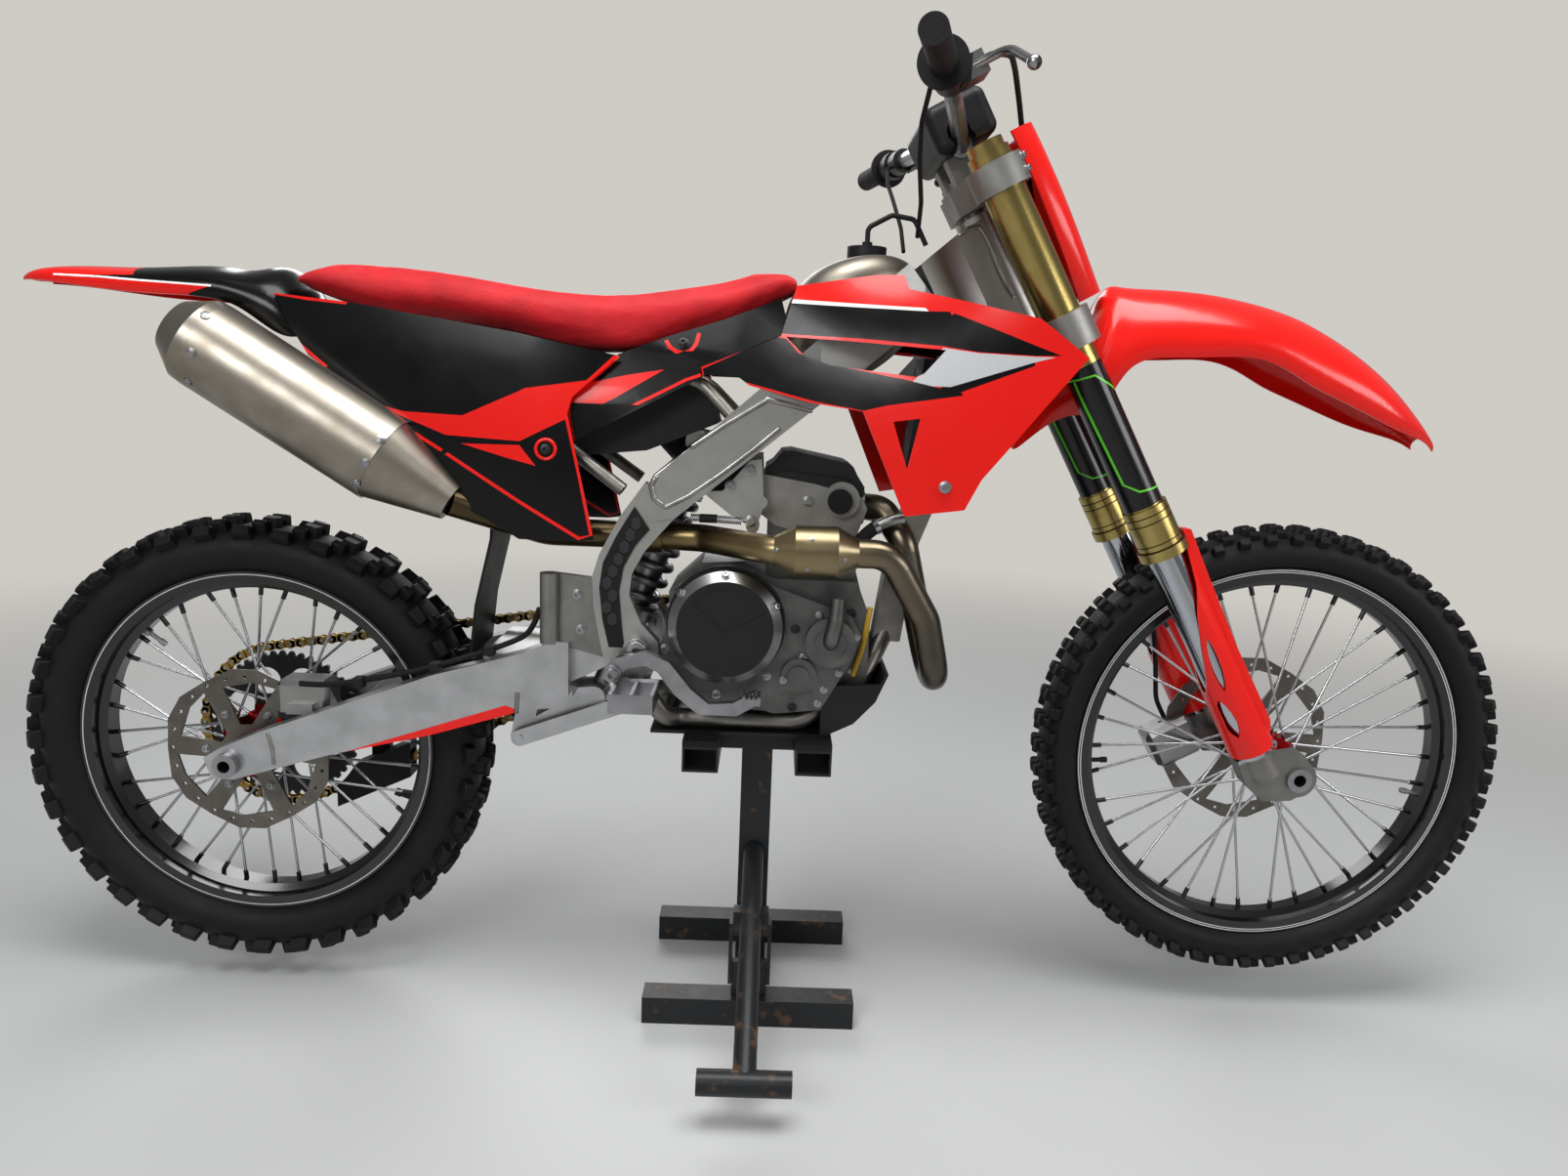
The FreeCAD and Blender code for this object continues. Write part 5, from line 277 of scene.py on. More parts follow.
def black_plain(name, colour, rough, pitch, depth):
    """Dull plastic, rubber or foam, told apart by the size and depth of its grain."""
    return weathered(name, colour, rough, (30, 7), (rough * 0.8, min(1, rough * 1.2)), (pitch, 4),
                     (depth, 0.6), sharp=0.25)


red_panel = panel_gloss("red_moulded_plastic", "d8160f")
black_panel = panel_gloss("black_moulded_plastic", "060607", 0.2, 0.05, 0.22)
white_film = panel_gloss("white_printed_film", "e9e9e7", 0.25)
silver_film = panel_gloss("silver_printed_film", "b4b6b8", 0.28)
black_plastic = black_plain("black_grained_plastic", "121213", 0.55, 1.2, 0.12)
black_rubber = black_plain("black_rubber", "101011", 0.72, 2.0, 0.15)
pad_foam = black_plain("black_vinyl_pad", "0e0e10", 0.5, 1.5, 0.15)
print(len(bpy.data.materials), "materials so far")


# %% [markdown]
# Knobbly tyres are soft black rubber. New ones have a slight sheen from the mould and grey scuffs of
# dried dirt on the tread, so colour and roughness both vary.

# %% Tyre rubber
tyre = weathered("tyre_rubber", "0c0c0d", 0.6, (22, 8), (0.42, 0.8), (3, 5), (0.3, 0.5),
                 [(0.35, "070708"), (0.62, "0e0e0f"), (0.8, "1d1b18")], 0.25)
print(len(bpy.data.materials), "materials so far")


# %% [markdown]
# Bare metals differ in how they were made. Cast cases are grey and sandy, forged and brushed parts have
# fine lines along them, and machined rings shine. Each has faint stains that change gloss and tone.

# %% Metals
def metal(name, colour, rough, pitch=1.5, depth=0.05, stain=None, stretch=EVEN):
    """Bare metal, with the pitch and depth of its casting or brushing in mm."""
    return weathered(name, colour, rough, (35, 6), (rough * 1.25, rough * 0.8), (pitch, 5), (depth, 0.7),
                     [(0.3, stain or colour), (0.7, colour)], stretch=stretch, metal=1.0)


frame_metal = metal("brushed_aluminium", "aeaeac", 0.34, 0.9, 0.05, "9c9c9a", (0.12, 1, 1))
arm_metal = metal("clear_anodised_aluminium", "bcbdbf", 0.34, 0.8, 0.03, "a7a8aa")
cast_metal = metal("sand_cast_aluminium", "9b9a97", 0.48, 1.6, 0.14, "7f7e7b")
case_metal = metal("die_cast_engine_case", "6e6e6d", 0.46, 1.4, 0.12, "565655")
foot_metal = metal("grey_fork_casting", "8a8985", 0.5, 1.3, 0.1, "757470")
disc_steel = metal("ground_brake_steel", "77736d", 0.34, 0.7, 0.03, "5f5b56")
tube_metal = metal("worn_aluminium_tube", "8f8c86", 0.42, 1.2, 0.05, "706d68")
cover_metal = metal("machined_aluminium", "9a9a99", 0.3, 1.0, 0.03, "8c8c8b")
bright_steel = metal("zinc_plated_steel", "a3a4a6", 0.32, 1.0, 0.03, "86868a")
can_metal = metal("brushed_titanium", "9a948a", 0.36, 0.8, 0.04, "857e72", (1, 0.1, 1))
tank_metal = metal("rolled_titanium", "8d877c", 0.42, 1.0, 0.04, "7c766b")
chain_metal = metal("gold_plated_steel", "ab8c4e", 0.38, 1.0, 0.05, "6d5a34")
chrome = metal("hard_chrome", "a9adb3", 0.08, 2.0, 0.005)
radiator_metal = metal("finned_aluminium", "55565a", 0.5, 1.2, 0.1, "3d3e41", (1, 1, 0.1))
weld_metal = metal("aluminium_weld", "a9a8a4", 0.3, 1.2, 0.05, "7d7b76")
gold_tube = metal("gold_anodised_aluminium", "a8965e", 0.26, 1.0, 0.01, "97854e")
dark_gold = metal("gold_groove", "4d4228", 0.4)


def satin_coat(name, colour, rough, wear=None):
    """Paint or powder coat on metal; worn paint lets rust through in patches."""
    tones = [(0.0, colour), (0.6, colour), (0.68, wear), (1.0, wear)] if wear else None
    return weathered(name, colour, rough, (26, 8), (rough * 0.8, min(1, rough * 1.4)), (1.8, 2), (0.05, 0.5),
                     tones, 0.3, coat=0.1, coat_rough=0.25)


black_coat = satin_coat("black_satin_coat", "0d0d0f", 0.42)
stand_paint = satin_coat("worn_black_paint", "16181a", 0.4, "4a3626")
dark_bolt = satin_coat("black_zinc_steel", "1d1d1f", 0.4)
print(len(bpy.data.materials), "materials so far")


# %% [markdown]
# The exhaust shows its heat: straw and bronze on the bulge, grey brown toward the hot front bend. The
# colour follows the distance along the bike, shifted a little by noise so that it isn't a clean band.

# %% Heated titanium
HEAT_BACK, HEAT_FRONT, HEAT_SHIFT = -0.26, 0.3, 0.06
HEAT_TONES = [(0.0, "4a3f2c"), (0.25, "5e5138"), (0.45, "8d7c58"), (0.66, "877a5e"), (0.82, "6b6253"),
              (0.95, "504b46"), (1.0, "42403d")]


def oxide_titanium():
    """Titanium whose oxide colour follows the distance from the engine's port."""
    material, tree, shader = finish("heated_titanium", "8a7750", 0.3, metal=1.0)
    at = place(tree)
    along = add(tree, "ShaderNodeSeparateXYZ", {}, Vector=at).outputs["X"]
    cloud = grain(tree, at, 40, 6)
    shift = add(tree, "ShaderNodeMath", {"operation": "MULTIPLY_ADD", "1": HEAT_SHIFT}, i0=cloud, i2=along)
    part = add(tree, "ShaderNodeMapRange", {"From Min": HEAT_BACK, "From Max": HEAT_FRONT},
               Value=shift.outputs[0]).outputs[0]
    tree.links.new(ramp(tree, part, HEAT_TONES), shader.inputs["Base Color"])
    tree.links.new(spread(tree, cloud, 0.22, 0.42), shader.inputs["Roughness"])
    bump(tree, shader, grain(tree, at, 1, 4), 0.03, 0.5)
    return material


heated_titanium = oxide_titanium()
print("heat colours:", len(HEAT_TONES))


# %% [markdown]
# The seat cover is red gripper cloth: a coated weave with a fine pebbled surface, matte in the light.

# %% Seat cover
PEBBLE = 3.2


def gripper_cloth():
    material, tree, shader = finish("red_gripper_cloth", "b4131a", 0.6)
    at = place(tree)
    cells = add(tree, "ShaderNodeTexVoronoi", {"Scale": 1 / (PEBBLE * MM)}, Vector=at)
    tone = ramp(tree, grain(tree, at, 40, 4), [(0.3, "a81017"), (0.7, "c0161f")])
    tree.links.new(tone, shader.inputs["Base Color"])
    shader.inputs["Sheen Weight"].default_value = 0.06
    shader.inputs["Specular IOR Level"].default_value = 0.25
    bump(tree, shader, cells.outputs["Distance"], 0.35, 0.6)
    return material


seat_cloth = gripper_cloth()
print(len(bpy.data.materials), "materials so far")


# %% [markdown]
# Each CAD node takes the finish of the part it stands for.

# %% Dress the CAD nodes
finishes = {
    frame_metal: ["frame_head", "frame_spars", "pivot_plates"],
    tube_metal: ["frame_cradle", "subframe"],
    arm_metal: ["swingarm", "shock_linkage", "handlebar"],
    cast_metal: ["cylinder_head", "triple_clamps"],
    case_metal: ["crankcase", "engine_cylinder", "engine_covers"],
    cover_metal: ["front_caliper"],
    bright_steel: ["rear_axle", "front_axle", "front_sprocket", "foot_controls", "footpegs", "rear_shock"],
    disc_steel: ["rear_disc", "front_disc"],
    can_metal: ["muffler"],
    heated_titanium: ["exhaust_header"],
    tank_metal: ["fuel_tank"],
    chrome: ["fork_legs"],
    radiator_metal: ["radiators"],
    black_coat: ["valve_cover", "clutch_cover", "rear_brake", "bar_controls", "rear_sprocket", "skid_plate"],
    stand_paint: ["stand_base", "stand_column", "stand_lever"],
    black_rubber: ["frame_guards", "stand_treads", "grips", "front_brake_hose"],
    black_plastic: ["airbox", "fuel_cap"],
    pad_foam: ["bar_pad"],
    red_panel: ["front_number_plate", "fork_guards"],
}


def dress(node, material):
    mesh = nodes[node].data
    mesh.materials.clear()
    mesh.materials.append(material)


for material, wearers in finishes.items():
    for wearer in wearers:
        dress(wearer, material)
print("dressed", sum(len(wearers) for wearers in finishes.values()), "of", len(nodes), "nodes")


# %% [markdown]
# Most CAD solids already have the right form and only need a finish. Where printed film or paint
# changes colour across one panel, a copy of the solid takes its place: its mesh is merged, cut along
# the printed edge with bisect, and the faces inside the outline get the second material. The edge is
# then as sharp as cut film, from any distance.

# %% Modelling helpers
body_of = {node: body for body, wearers in frame["record"]["behaviour"]["bodies"].items() for node in wearers}
MERGE = 0.02 * MM


def only(*things):
    """Select these objects and nothing else, with the first one active."""
    bpy.ops.object.select_all(action="DESELECT")
    for thing in things:
        thing.select_set(True)
    bpy.context.view_layer.objects.active = things[0]


def edit(thing, action="SELECT"):
    only(thing)
    bpy.ops.object.mode_set(mode="EDIT")
    bpy.ops.mesh.select_all(action=action)


def done():
    bpy.ops.object.mode_set(mode="OBJECT")


def smooth(thing, angle=32):
    only(thing)
    bpy.ops.object.shade_smooth_by_angle(angle=math.radians(angle))


def stand_in(node, name, *materials, rides=True):
    """A merged copy of a CAD node that takes its place, with one slot for each material."""
    piece = new_object(name, nodes[node].data.copy())
    piece.data.materials.clear()
    for material in materials:
        piece.data.materials.append(material)
    only(piece)
    if piece.data.has_custom_normals:
        bpy.ops.mesh.customdata_custom_splitnormals_clear()
    edit(piece)
    bpy.ops.mesh.remove_doubles(threshold=MERGE)
    done()
    if rides:
        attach(piece, body_of[node])
    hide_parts(node)
    return piece


print(len(body_of), "nodes know their body")


# %% [markdown]
# The outlines of the prints were read from the photo and are given as the bike is seen from the side.
# Each edge of an outline cuts only the faces that it crosses, so the mesh stays light elsewhere.

# %% Printing on a panel
def inside(outline, x, z):
    """True where a point lies within an outline."""
    odd = False
    for (x1, z1), (x2, z2) in zip(outline, outline[1:] + outline[:1]):
        if (z1 > z) != (z2 > z) and x < (x2 - x1) * (z - z1) / (z2 - z1) + x1:
            odd = not odd
    return odd


def paint(piece, slot, outline, low_side=-math.inf, high_side=math.inf):
    """Cut the mesh along an outline seen from the side, x and z in mm, and finish what lies inside."""
    for (x1, z1), (x2, z2) in zip(outline, outline[1:] + outline[:1]):
        edit(piece, "DESELECT")
        form = bmesh.from_edit_mesh(piece.data)
        for face in form.faces:
            xs = [corner.co.x / MM for corner in face.verts]
            zs = [corner.co.z / MM for corner in face.verts]
            face.select = (max(xs) >= min(x1, x2) and min(xs) <= max(x1, x2)
                           and max(zs) >= min(z1, z2) and min(zs) <= max(z1, z2))
        bmesh.update_edit_mesh(piece.data)
        across = Vector((z2 - z1, 0, x1 - x2)).normalized()
        bpy.ops.mesh.bisect(plane_co=(x1 * MM, 0, z1 * MM), plane_no=across)
        done()
    for face in piece.data.polygons:
        x, y, z = (face.center / MM)[:]
        if low_side < y < high_side and inside(outline, x, z):
            face.material_index = slot


def printed(node, name, materials, prints, angle=32):
    """A stand-in with its prints: each is a slot, an outline and, where it matters, its two sides."""
    piece = stand_in(node, name, *materials)
    for one_print in prints:
        paint(piece, *one_print)
    smooth(piece, angle)
    print(name, len(piece.data.polygons), "faces")
    return piece


def stripe(route, wide):
    """The outline of a line of even width along a route."""
    left, right = [], []
    for i, (x, z) in enumerate(route):
        (xa, za), (xb, zb) = route[max(i - 1, 0)], route[min(i + 1, len(route) - 1)]
        run = math.hypot(xb - xa, zb - za)
        nx, nz = (za - zb) / run * wide / 2, (xb - xa) / run * wide / 2
        left.append((x + nx, z + nz))
        right.append((x - nx, z - nz))
    return left + right[::-1]


print("a stripe along 2 points has", len(stripe([(0, 0), (10, 0)], 1)), "corners")


# %% [markdown]
# The shrouds carry the loudest colours: red above, a white pinstripe, a black band that tapers to the
# front, a silver wedge and a second black band with a thin red edge. Lettering is left off.

# %% Printed film on the shrouds
printed("radiator_shrouds", "shroud_panels", (red_panel, black_panel, white_film, silver_film), [
    (2, [(-30, 1002), (10, 1013), (192, 1006), (196, 1002), (6, 1007)]),
    (1, [(-60, 975), (6, 1008), (194, 1002), (223, 1002), (326, 964), (360, 952), (327, 951), (259, 953),
         (215, 959), (117, 965), (20, 968)]),
    (3, [(215, 957), (259, 952), (327, 950), (352, 950), (327, 943), (233, 909), (174, 909), (200, 935)]),
    (1, [(-90, 920), (3, 964), (18, 962), (34, 945), (55, 937), (114, 925), (174, 915), (217, 906),
         (327, 943), (328, 939), (239, 903), (242, 899), (149, 883), (120, 875), (57, 884), (-29, 904),
         (-88, 912)]),
])


# %% [markdown]
# The side panels and the covers ahead of them are black with a red flash that runs through both, and
# a thin red line follows their lower and front edges. The race number is left off.

# %% Printed film on the side panels
EDGE_LINE = [(-188, 940), (-199, 934), (-238, 896), (-262, 868), (-262, 849), (-246, 780), (-229, 699),
             (-245, 694), (-326, 741), (-424, 801), (-526, 859), (-576, 899), (-630, 939), (-657, 993)]
printed("side_panels", "side_panel_covers", (black_panel, red_panel), [(1, outline) for outline in (
    stripe(EDGE_LINE, 4.5),
    [(-262, 868), (-238, 896), (-189, 908), (-140, 917), (-201, 879), (-256, 849), (-262, 849)],
    [(-526, 861), (-477, 850), (-398, 848), (-324, 882), (-317, 886), (-238, 899), (-262, 868), (-263, 849),
     (-323, 818), (-420, 822)],
    [(-400, 812), (-323, 813), (-302, 787), (-340, 796)],
    stripe([(-251, 823), (-203, 856), (-150, 884), (-111, 905), (-92, 912)], 4),
    stripe([(-140, 955), (-134, 946), (-126, 941), (-116, 939), (-106, 943), (-100, 952), (-97, 966)], 5),
    stripe([(-669, 997), (-607, 989), (-552, 985)], 4),
)])


# %% [markdown]
# The rear mudguard is red plastic at the tail. Black film covers its front, and a thin white line parts
# the black top from the red flank below it. The front one carries a small black film near its tip.

# %% Mudguards
printed("rear_fender", "rear_mudguard", (red_panel, black_panel, white_film), [
    (1, [(-867, 1060), (-845, 1012), (-951, 1008), (-736, 1001), (-768, 990), (-700, 930), (-540, 930),
         (-540, 1060)]),
    (2, stripe([(-955, 1009), (-892, 1008), (-836, 1005), (-736, 1001)], 2.5)),
])
printed("front_fender", "front_mudguard", (red_panel, black_panel), [
    (1, [(852, 952), (925, 898), (938, 880), (905, 898), (846, 944)]),
])


# %% [markdown]
# The fork's outer tubes are gold anodised. The lower half is wrapped in glossy black film with one thin
# green line that runs down the wrap and turns across it at both ends. Places on the fork are measured
# along it, because it leans back.

# %% Fork tubes and their wrap
FORK_X, FORK_Z, RAKE = 720.6, 375.1, math.radians(29)
WRAP_LOW, WRAP_HIGH, WRAP_SIDE = 446, 650, 60
GROOVES = (386, 394, 424, 434)


def fork_outline(places):
    """An outline given ahead of the fork's line and up it, as side view points in mm."""
    return [(FORK_X + ahead * math.cos(RAKE) - up * math.sin(RAKE),
             FORK_Z + ahead * math.sin(RAKE) + up * math.cos(RAKE)) for ahead, up in places]


black_wrap = panel_gloss("black_fork_film", "0a0a0b", 0.2)
green_line = panel_gloss("green_fork_film", "58c22e", 0.25)
wrap = [(-WRAP_SIDE, WRAP_LOW), (WRAP_SIDE, WRAP_LOW), (WRAP_SIDE, WRAP_HIGH), (-WRAP_SIDE, WRAP_HIGH)]
green_routes = ([(-30, 640), (4, 634), (20, 612), (28, 600)],
                [(-22, 636), (-20, 560), (-18, 486), (-4, 470), (30, 462)])
printed("fork_outer_tubes", "fork_tubes", (gold_tube, black_wrap, green_line, dark_gold), [
    (1, fork_outline(wrap)),
    *((2, fork_outline(stripe(route, 2.6))) for route in green_routes),
    *((3, fork_outline(stripe([(-WRAP_SIDE, up), (WRAP_SIDE, up)], 2))) for up in GROOVES),
], 40)


# %% [markdown]
# A knobbly tyre has a round carcass and separate blocks of rubber: slanted shoulder knobs at both edges
# and rows of square ones between them. The carcass is one profile spun about the axle. Each knob is a
# block, narrowed to its top and bevelled, turned to its place on the carcass and spun round as copies.

# %% Tyres
REAR_AXLE, FRONT_AXLE = Vector((-0.729, 0, 0.359)), Vector((0.753, 0, 0.393))
KNOB_TAPER, KNOB_BEVEL = 0.8, 1.4 * MM
CARCASS_STEPS = 120


def knob(axle, count, radius, side, size, cant, turn):
    """Add one knob to the mesh being edited and repeat it: size is along, across and height in mm."""
    bpy.ops.mesh.select_all(action="DESELECT")
    bpy.ops.mesh.primitive_cube_add(size=1, location=(0, 0, 0))
    bpy.ops.transform.resize(value=[length * MM for length in size])
    form = bmesh.from_edit_mesh(bpy.context.object.data)
    for corner in form.verts:
        if corner.select and corner.co.z > 0:
            corner.co.x *= KNOB_TAPER
            corner.co.y *= KNOB_TAPER
    bmesh.update_edit_mesh(bpy.context.object.data)
    bpy.ops.mesh.bevel(offset=KNOB_BEVEL, segments=1, affect="EDGES")
    form = bmesh.from_edit_mesh(bpy.context.object.data)
    put = (Matrix.Translation(axle) @ Matrix.Rotation(turn, 4, "Y")
           @ Matrix.Translation((0, side * MM, radius * MM)) @ Matrix.Rotation(cant, 4, "X"))
    bmesh.ops.transform(form, matrix=put, verts=[corner for corner in form.verts if corner.select])
    bmesh.update_edit_mesh(bpy.context.object.data)
    bpy.ops.mesh.spin(steps=count - 1, dupli=True, angle=2 * math.pi * (count - 1) / count, center=axle,
                      axis=(0, 1, 0))


def fine_tyre(end, axle, count, profile, rows):
    """Spin the carcass from its half profile (side and radius in mm), then add the rows of knobs.

    A row stands on both sides: its radius, side, size, cant in degrees and turn as a share of the pitch.
    """
    name = f"{end}_knobbly_tyre"
    data = bpy.data.meshes.new(name)
    outline = [(-side, radius) for side, radius in reversed(profile)] + profile
    data.from_pydata([(axle.x, side * MM, axle.z + radius * MM) for side, radius in outline],
                     [(i, i + 1) for i in range(len(outline) - 1)], [])
    piece = new_object(name, data)
    edit(piece)
    bpy.ops.mesh.spin(steps=CARCASS_STEPS, angle=2 * math.pi, center=axle, axis=(0, 1, 0))
    bpy.ops.mesh.select_all(action="SELECT")
    bpy.ops.mesh.remove_doubles(threshold=0.05 * MM)
    bpy.ops.mesh.normals_make_consistent(inside=False)
    for radius, side, size, cant, share in rows:
        for way in (1, -1):
            turn = 2 * math.pi / count * share
            knob(axle, count, radius, way * side, size, math.radians(-way * cant), turn)
    done()
    data.materials.append(tyre)
    smooth(piece, 40)
    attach(piece, f"{end}_wheel")
    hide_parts(f"{end}_tyre")
    print(name, len(data.polygons), "faces")


FRONT_PROFILE = [(0, 331), (16, 330), (30, 325), (39, 314), (42, 303), (38.5, 292), (30, 285), (24, 282),
                 (23, 268), (0, 268)]
REAR_PROFILE = [(0, 320), (20, 318.5), (37, 312), (48, 299), (51.5, 285), (47, 269), (37, 259), (31, 256),
                (30, 242), (0, 242)]
FRONT_KNOBS, REAR_KNOBS = 54, 36
fine_tyre("front", FRONT_AXLE, FRONT_KNOBS, FRONT_PROFILE, [
    (322, 34.5, (19, 14, 22), 50, 0),
    (332.5, 10, (19, 15, 18), 5, 0.5),
    (328, 25, (16, 11, 20), 28, 0.5),
])
fine_tyre("rear", REAR_AXLE, REAR_KNOBS, REAR_PROFILE, [
    (310, 42, (30, 18, 26), 50, 0),
    (322, 14, (25, 21, 23), 6, 0.5),
    (317.5, 31, (22, 14, 25), 28, 0.35),
])


# %% [markdown]
# The rims are black anodised aluminium with two fine silver pinstripes near the edge, and the hubs are
# red between stainless spokes with dark nipples. All of these are rings about the axle, so the material
# measures each point's distance from the axle.

# %% Rims and hubs by their distance from the axle
RING_SPAN = 400
RIM_BLACK, RIM_SILVER = "0a0a0b", "b9bbbd"
BEARING_RADIUS, NIPPLE_LONG = 18, 22


def rings(tree, shader, axle, stops):
    """Hard-edged colour rings: each colour runs from its radius, in mm, to the next."""
    moved = add(tree, "ShaderNodeVectorMath", {"operation": "SUBTRACT", "1": tuple(axle)}, i0=place(tree))
    flat = add(tree, "ShaderNodeVectorMath", {"operation": "MULTIPLY", "1": (1, 0, 1)}, i0=moved.outputs[0])
    far = add(tree, "ShaderNodeVectorMath", {"operation": "LENGTH"}, i0=flat.outputs[0]).outputs["Value"]
    part = add(tree, "ShaderNodeMath", {"operation": "MULTIPLY", "1": 1 / (RING_SPAN * MM)}, i0=far)
    shares = [(radius / RING_SPAN, code) for radius, code in stops]
    colour = ramp(tree, part.outputs[0], shares, "CONSTANT")
    tree.links.new(colour, shader.inputs["Base Color"])


def rim_finish(name, axle, edge):
    """A black rim with its two pinstripes, each 1 mm wide."""
    material, tree, shader = finish(name, RIM_BLACK, 0.22, coat=0.3, coat_rough=0.1)
    rings(tree, shader, axle, [(0, RIM_BLACK), (edge - 6.2, RIM_SILVER), (edge - 5.2, RIM_BLACK),
                               (edge - 3.4, RIM_SILVER), (edge - 2.4, RIM_BLACK)])
    return material


def hub_finish(name, axle, flange, rim_inner):
    """Steel bearing, red anodised hub, stainless spokes and dark nipples."""
    material, tree, shader = finish(name, "b4b5b7", 0.27, metal=1.0)
    rings(tree, shader, axle, [(0, "a3a4a6"), (BEARING_RADIUS, "8c1013"), (flange + 4, "b4b5b7"),
                               (rim_inner - NIPPLE_LONG, "3a3b3d")])
    return material


# a wheel's end and axle, with the radii in mm of its rim's edge, its hub's flange and its rim's inside
WHEELS = (("front", FRONT_AXLE, 281, 34, 262), ("rear", REAR_AXLE, 255.5, 46, 236))
for end, axle, edge, flange, rim_inner in WHEELS:
    dress(f"{end}_rim", rim_finish(f"{end}_rim_black_anodised", axle, edge))
    dress(f"{end}_hub_spokes", hub_finish(f"{end}_hub_and_spokes", axle, flange, rim_inner))
print("rims and hubs dressed")


# %% [markdown]
# Many small parts of a machine are blocks and rods with slightly rounded edges, so two helpers make
# those. The primitives stand at the origin first and are then moved to their seats, and the finished
# ones are joined into one piece that rides on its body.

# %% Blocks, rods and joined pieces
def block(name, low, high, material, soften=0.8):
    """A bevelled block between two corners, in mm."""
    bpy.ops.object.select_all(action="DESELECT")
    middle = [(a + b) / 2 * MM for a, b in zip(low, high)]
    bpy.ops.mesh.primitive_cube_add(size=1, location=middle)
    thing = bpy.context.object
    thing.name = name
    thing.scale = [(b - a) * MM for a, b in zip(low, high)]
    bpy.ops.object.transform_apply(location=True, rotation=True, scale=True)
    if soften:
        edit(thing)
        bpy.ops.mesh.bevel(offset=soften * MM, segments=2, affect="EDGES")
        done()
    thing.data.materials.append(material)
    return thing


def seat_at(at, direction, size=1):
    """The move that sets a model from the origin, along Z, on a place in mm along a direction."""
    turned = Vector(direction).to_track_quat("Z", "Y").to_matrix().to_4x4()
    return Matrix.Translation(Vector(at) * MM) @ turned @ Matrix.Scale(size, 4)


def disc(name, at, radius, half, material, sides=24, direction=(0, 1, 0), soften=0.6):
    """A bevelled round disc or rod centred on a place, in mm."""
    bpy.ops.object.select_all(action="DESELECT")
    bpy.ops.mesh.primitive_cylinder_add(vertices=sides, radius=radius * MM, depth=2 * half * MM)
    thing = bpy.context.object
    thing.name = name
    if soften:
        edit(thing, "DESELECT")
        form = bmesh.from_edit_mesh(thing.data)
        for edge in form.edges:
            edge.select = any(len(face.verts) > 4 for face in edge.link_faces)
        bmesh.update_edit_mesh(thing.data)
        bpy.ops.mesh.bevel(offset=soften * MM, segments=2, affect="EDGES")
        done()
    thing.data.transform(seat_at(at, direction))
    thing.data.materials.append(material)
    return thing


def twin(model):
    """A copy of an object with a mesh of its own."""
    return new_object(model.name, model.data.copy())


def fuse(things, name):
    """Join loose objects into one, not yet on a body."""
    only(*things)
    if len(things) > 1:
        bpy.ops.object.join()
    bpy.context.object.name = name
    return bpy.context.object


def join(name, things, body, *replaced):
    """Join finished pieces into one named piece on a body."""
    piece = fuse(things, name)
    bpy.ops.object.transform_apply(location=True, rotation=True, scale=True)
    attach(piece, body)
    if replaced:
        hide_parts(*replaced)
    return piece


print("blocks and rods are ready")


# %% [markdown]
# The chain is 112 links. One pair of links is modelled, outer plates and inner plates with their
# rollers, and copied along the line that part of it follows: two arcs round the sprockets and the two
# straight runs between them.

# %% Chain links
PITCH = 15.875
REAR_RING, FRONT_RING = 123.9, 33.2
REAR_SPROCKET, FRONT_SPROCKET = Vector((-729, 359)), Vector((-102, 550))
CHAIN_SIDE = 68
PLATE_TALL, PLATE_END, PLATE_HALF = 5.2, 7.2, 0.8
OUTER_SIDE, INNER_SIDE = 6.2, 4.4
PIN_RADIUS, PIN_HALF = 2.6, 7.4
ROLLER_RADIUS, ROLLER_HALF = 5, 3.4


def link_pair():
    """Two outer plates and two inner plates with their rollers, along X from the origin, in mm."""
    made = []
    for start, side in ((0, OUTER_SIDE), (0, -OUTER_SIDE), (PITCH, INNER_SIDE), (PITCH, -INNER_SIDE)):
        for x in (start, start + PITCH):
            made.append(disc("plate_end", (x, side, 0), PLATE_END, PLATE_HALF, chain_metal, 12, soften=0))
        made.append(block("plate", (start, side - PLATE_HALF, -PLATE_TALL),
                          (start + PITCH, side + PLATE_HALF, PLATE_TALL), chain_metal, 0))
    for x in (PITCH, 2 * PITCH):
        made.append(disc("pin", (x, 0, 0), PIN_RADIUS, PIN_HALF, bright_steel, 8, soften=0))
        made.append(disc("roller", (x, 0, 0), ROLLER_RADIUS, ROLLER_HALF, bright_steel, 10, soften=0))
    return fuse(made, "link_pair")


def on_ring(centre, radius, turn):
    """A place on a circle, and the way on from there as the turn falls."""
    return (centre + radius * Vector((math.cos(turn), math.sin(turn))),
            Vector((math.sin(turn), -math.cos(turn))))


def chain_path():
    """The chain's length and a function that gives place and direction at a distance along it."""
    line = FRONT_SPROCKET - REAR_SPROCKET
    slope = math.atan2(line.y, line.x)
    opening = math.acos((REAR_RING - FRONT_RING) / line.length)
    run = math.sqrt(line.length ** 2 - (REAR_RING - FRONT_RING) ** 2)
    over, under = slope + opening, slope - opening
    front_arc, rear_arc = FRONT_RING * 2 * opening, REAR_RING * (2 * math.pi - 2 * opening)
    total = 2 * run + rear_arc + front_arc

    def at(distance):
        distance %= total
        if distance < run:
            spot, ahead = on_ring(REAR_SPROCKET, REAR_RING, over)
            return spot + ahead * distance, ahead
        distance -= run
        if distance < front_arc:
            return on_ring(FRONT_SPROCKET, FRONT_RING, over - distance / FRONT_RING)
        distance -= front_arc
        if distance < run:
            spot, ahead = on_ring(FRONT_SPROCKET, FRONT_RING, under)
            return spot + ahead * distance, ahead
        return on_ring(REAR_SPROCKET, REAR_RING, under - (distance - run) / REAR_RING)

    return total, at


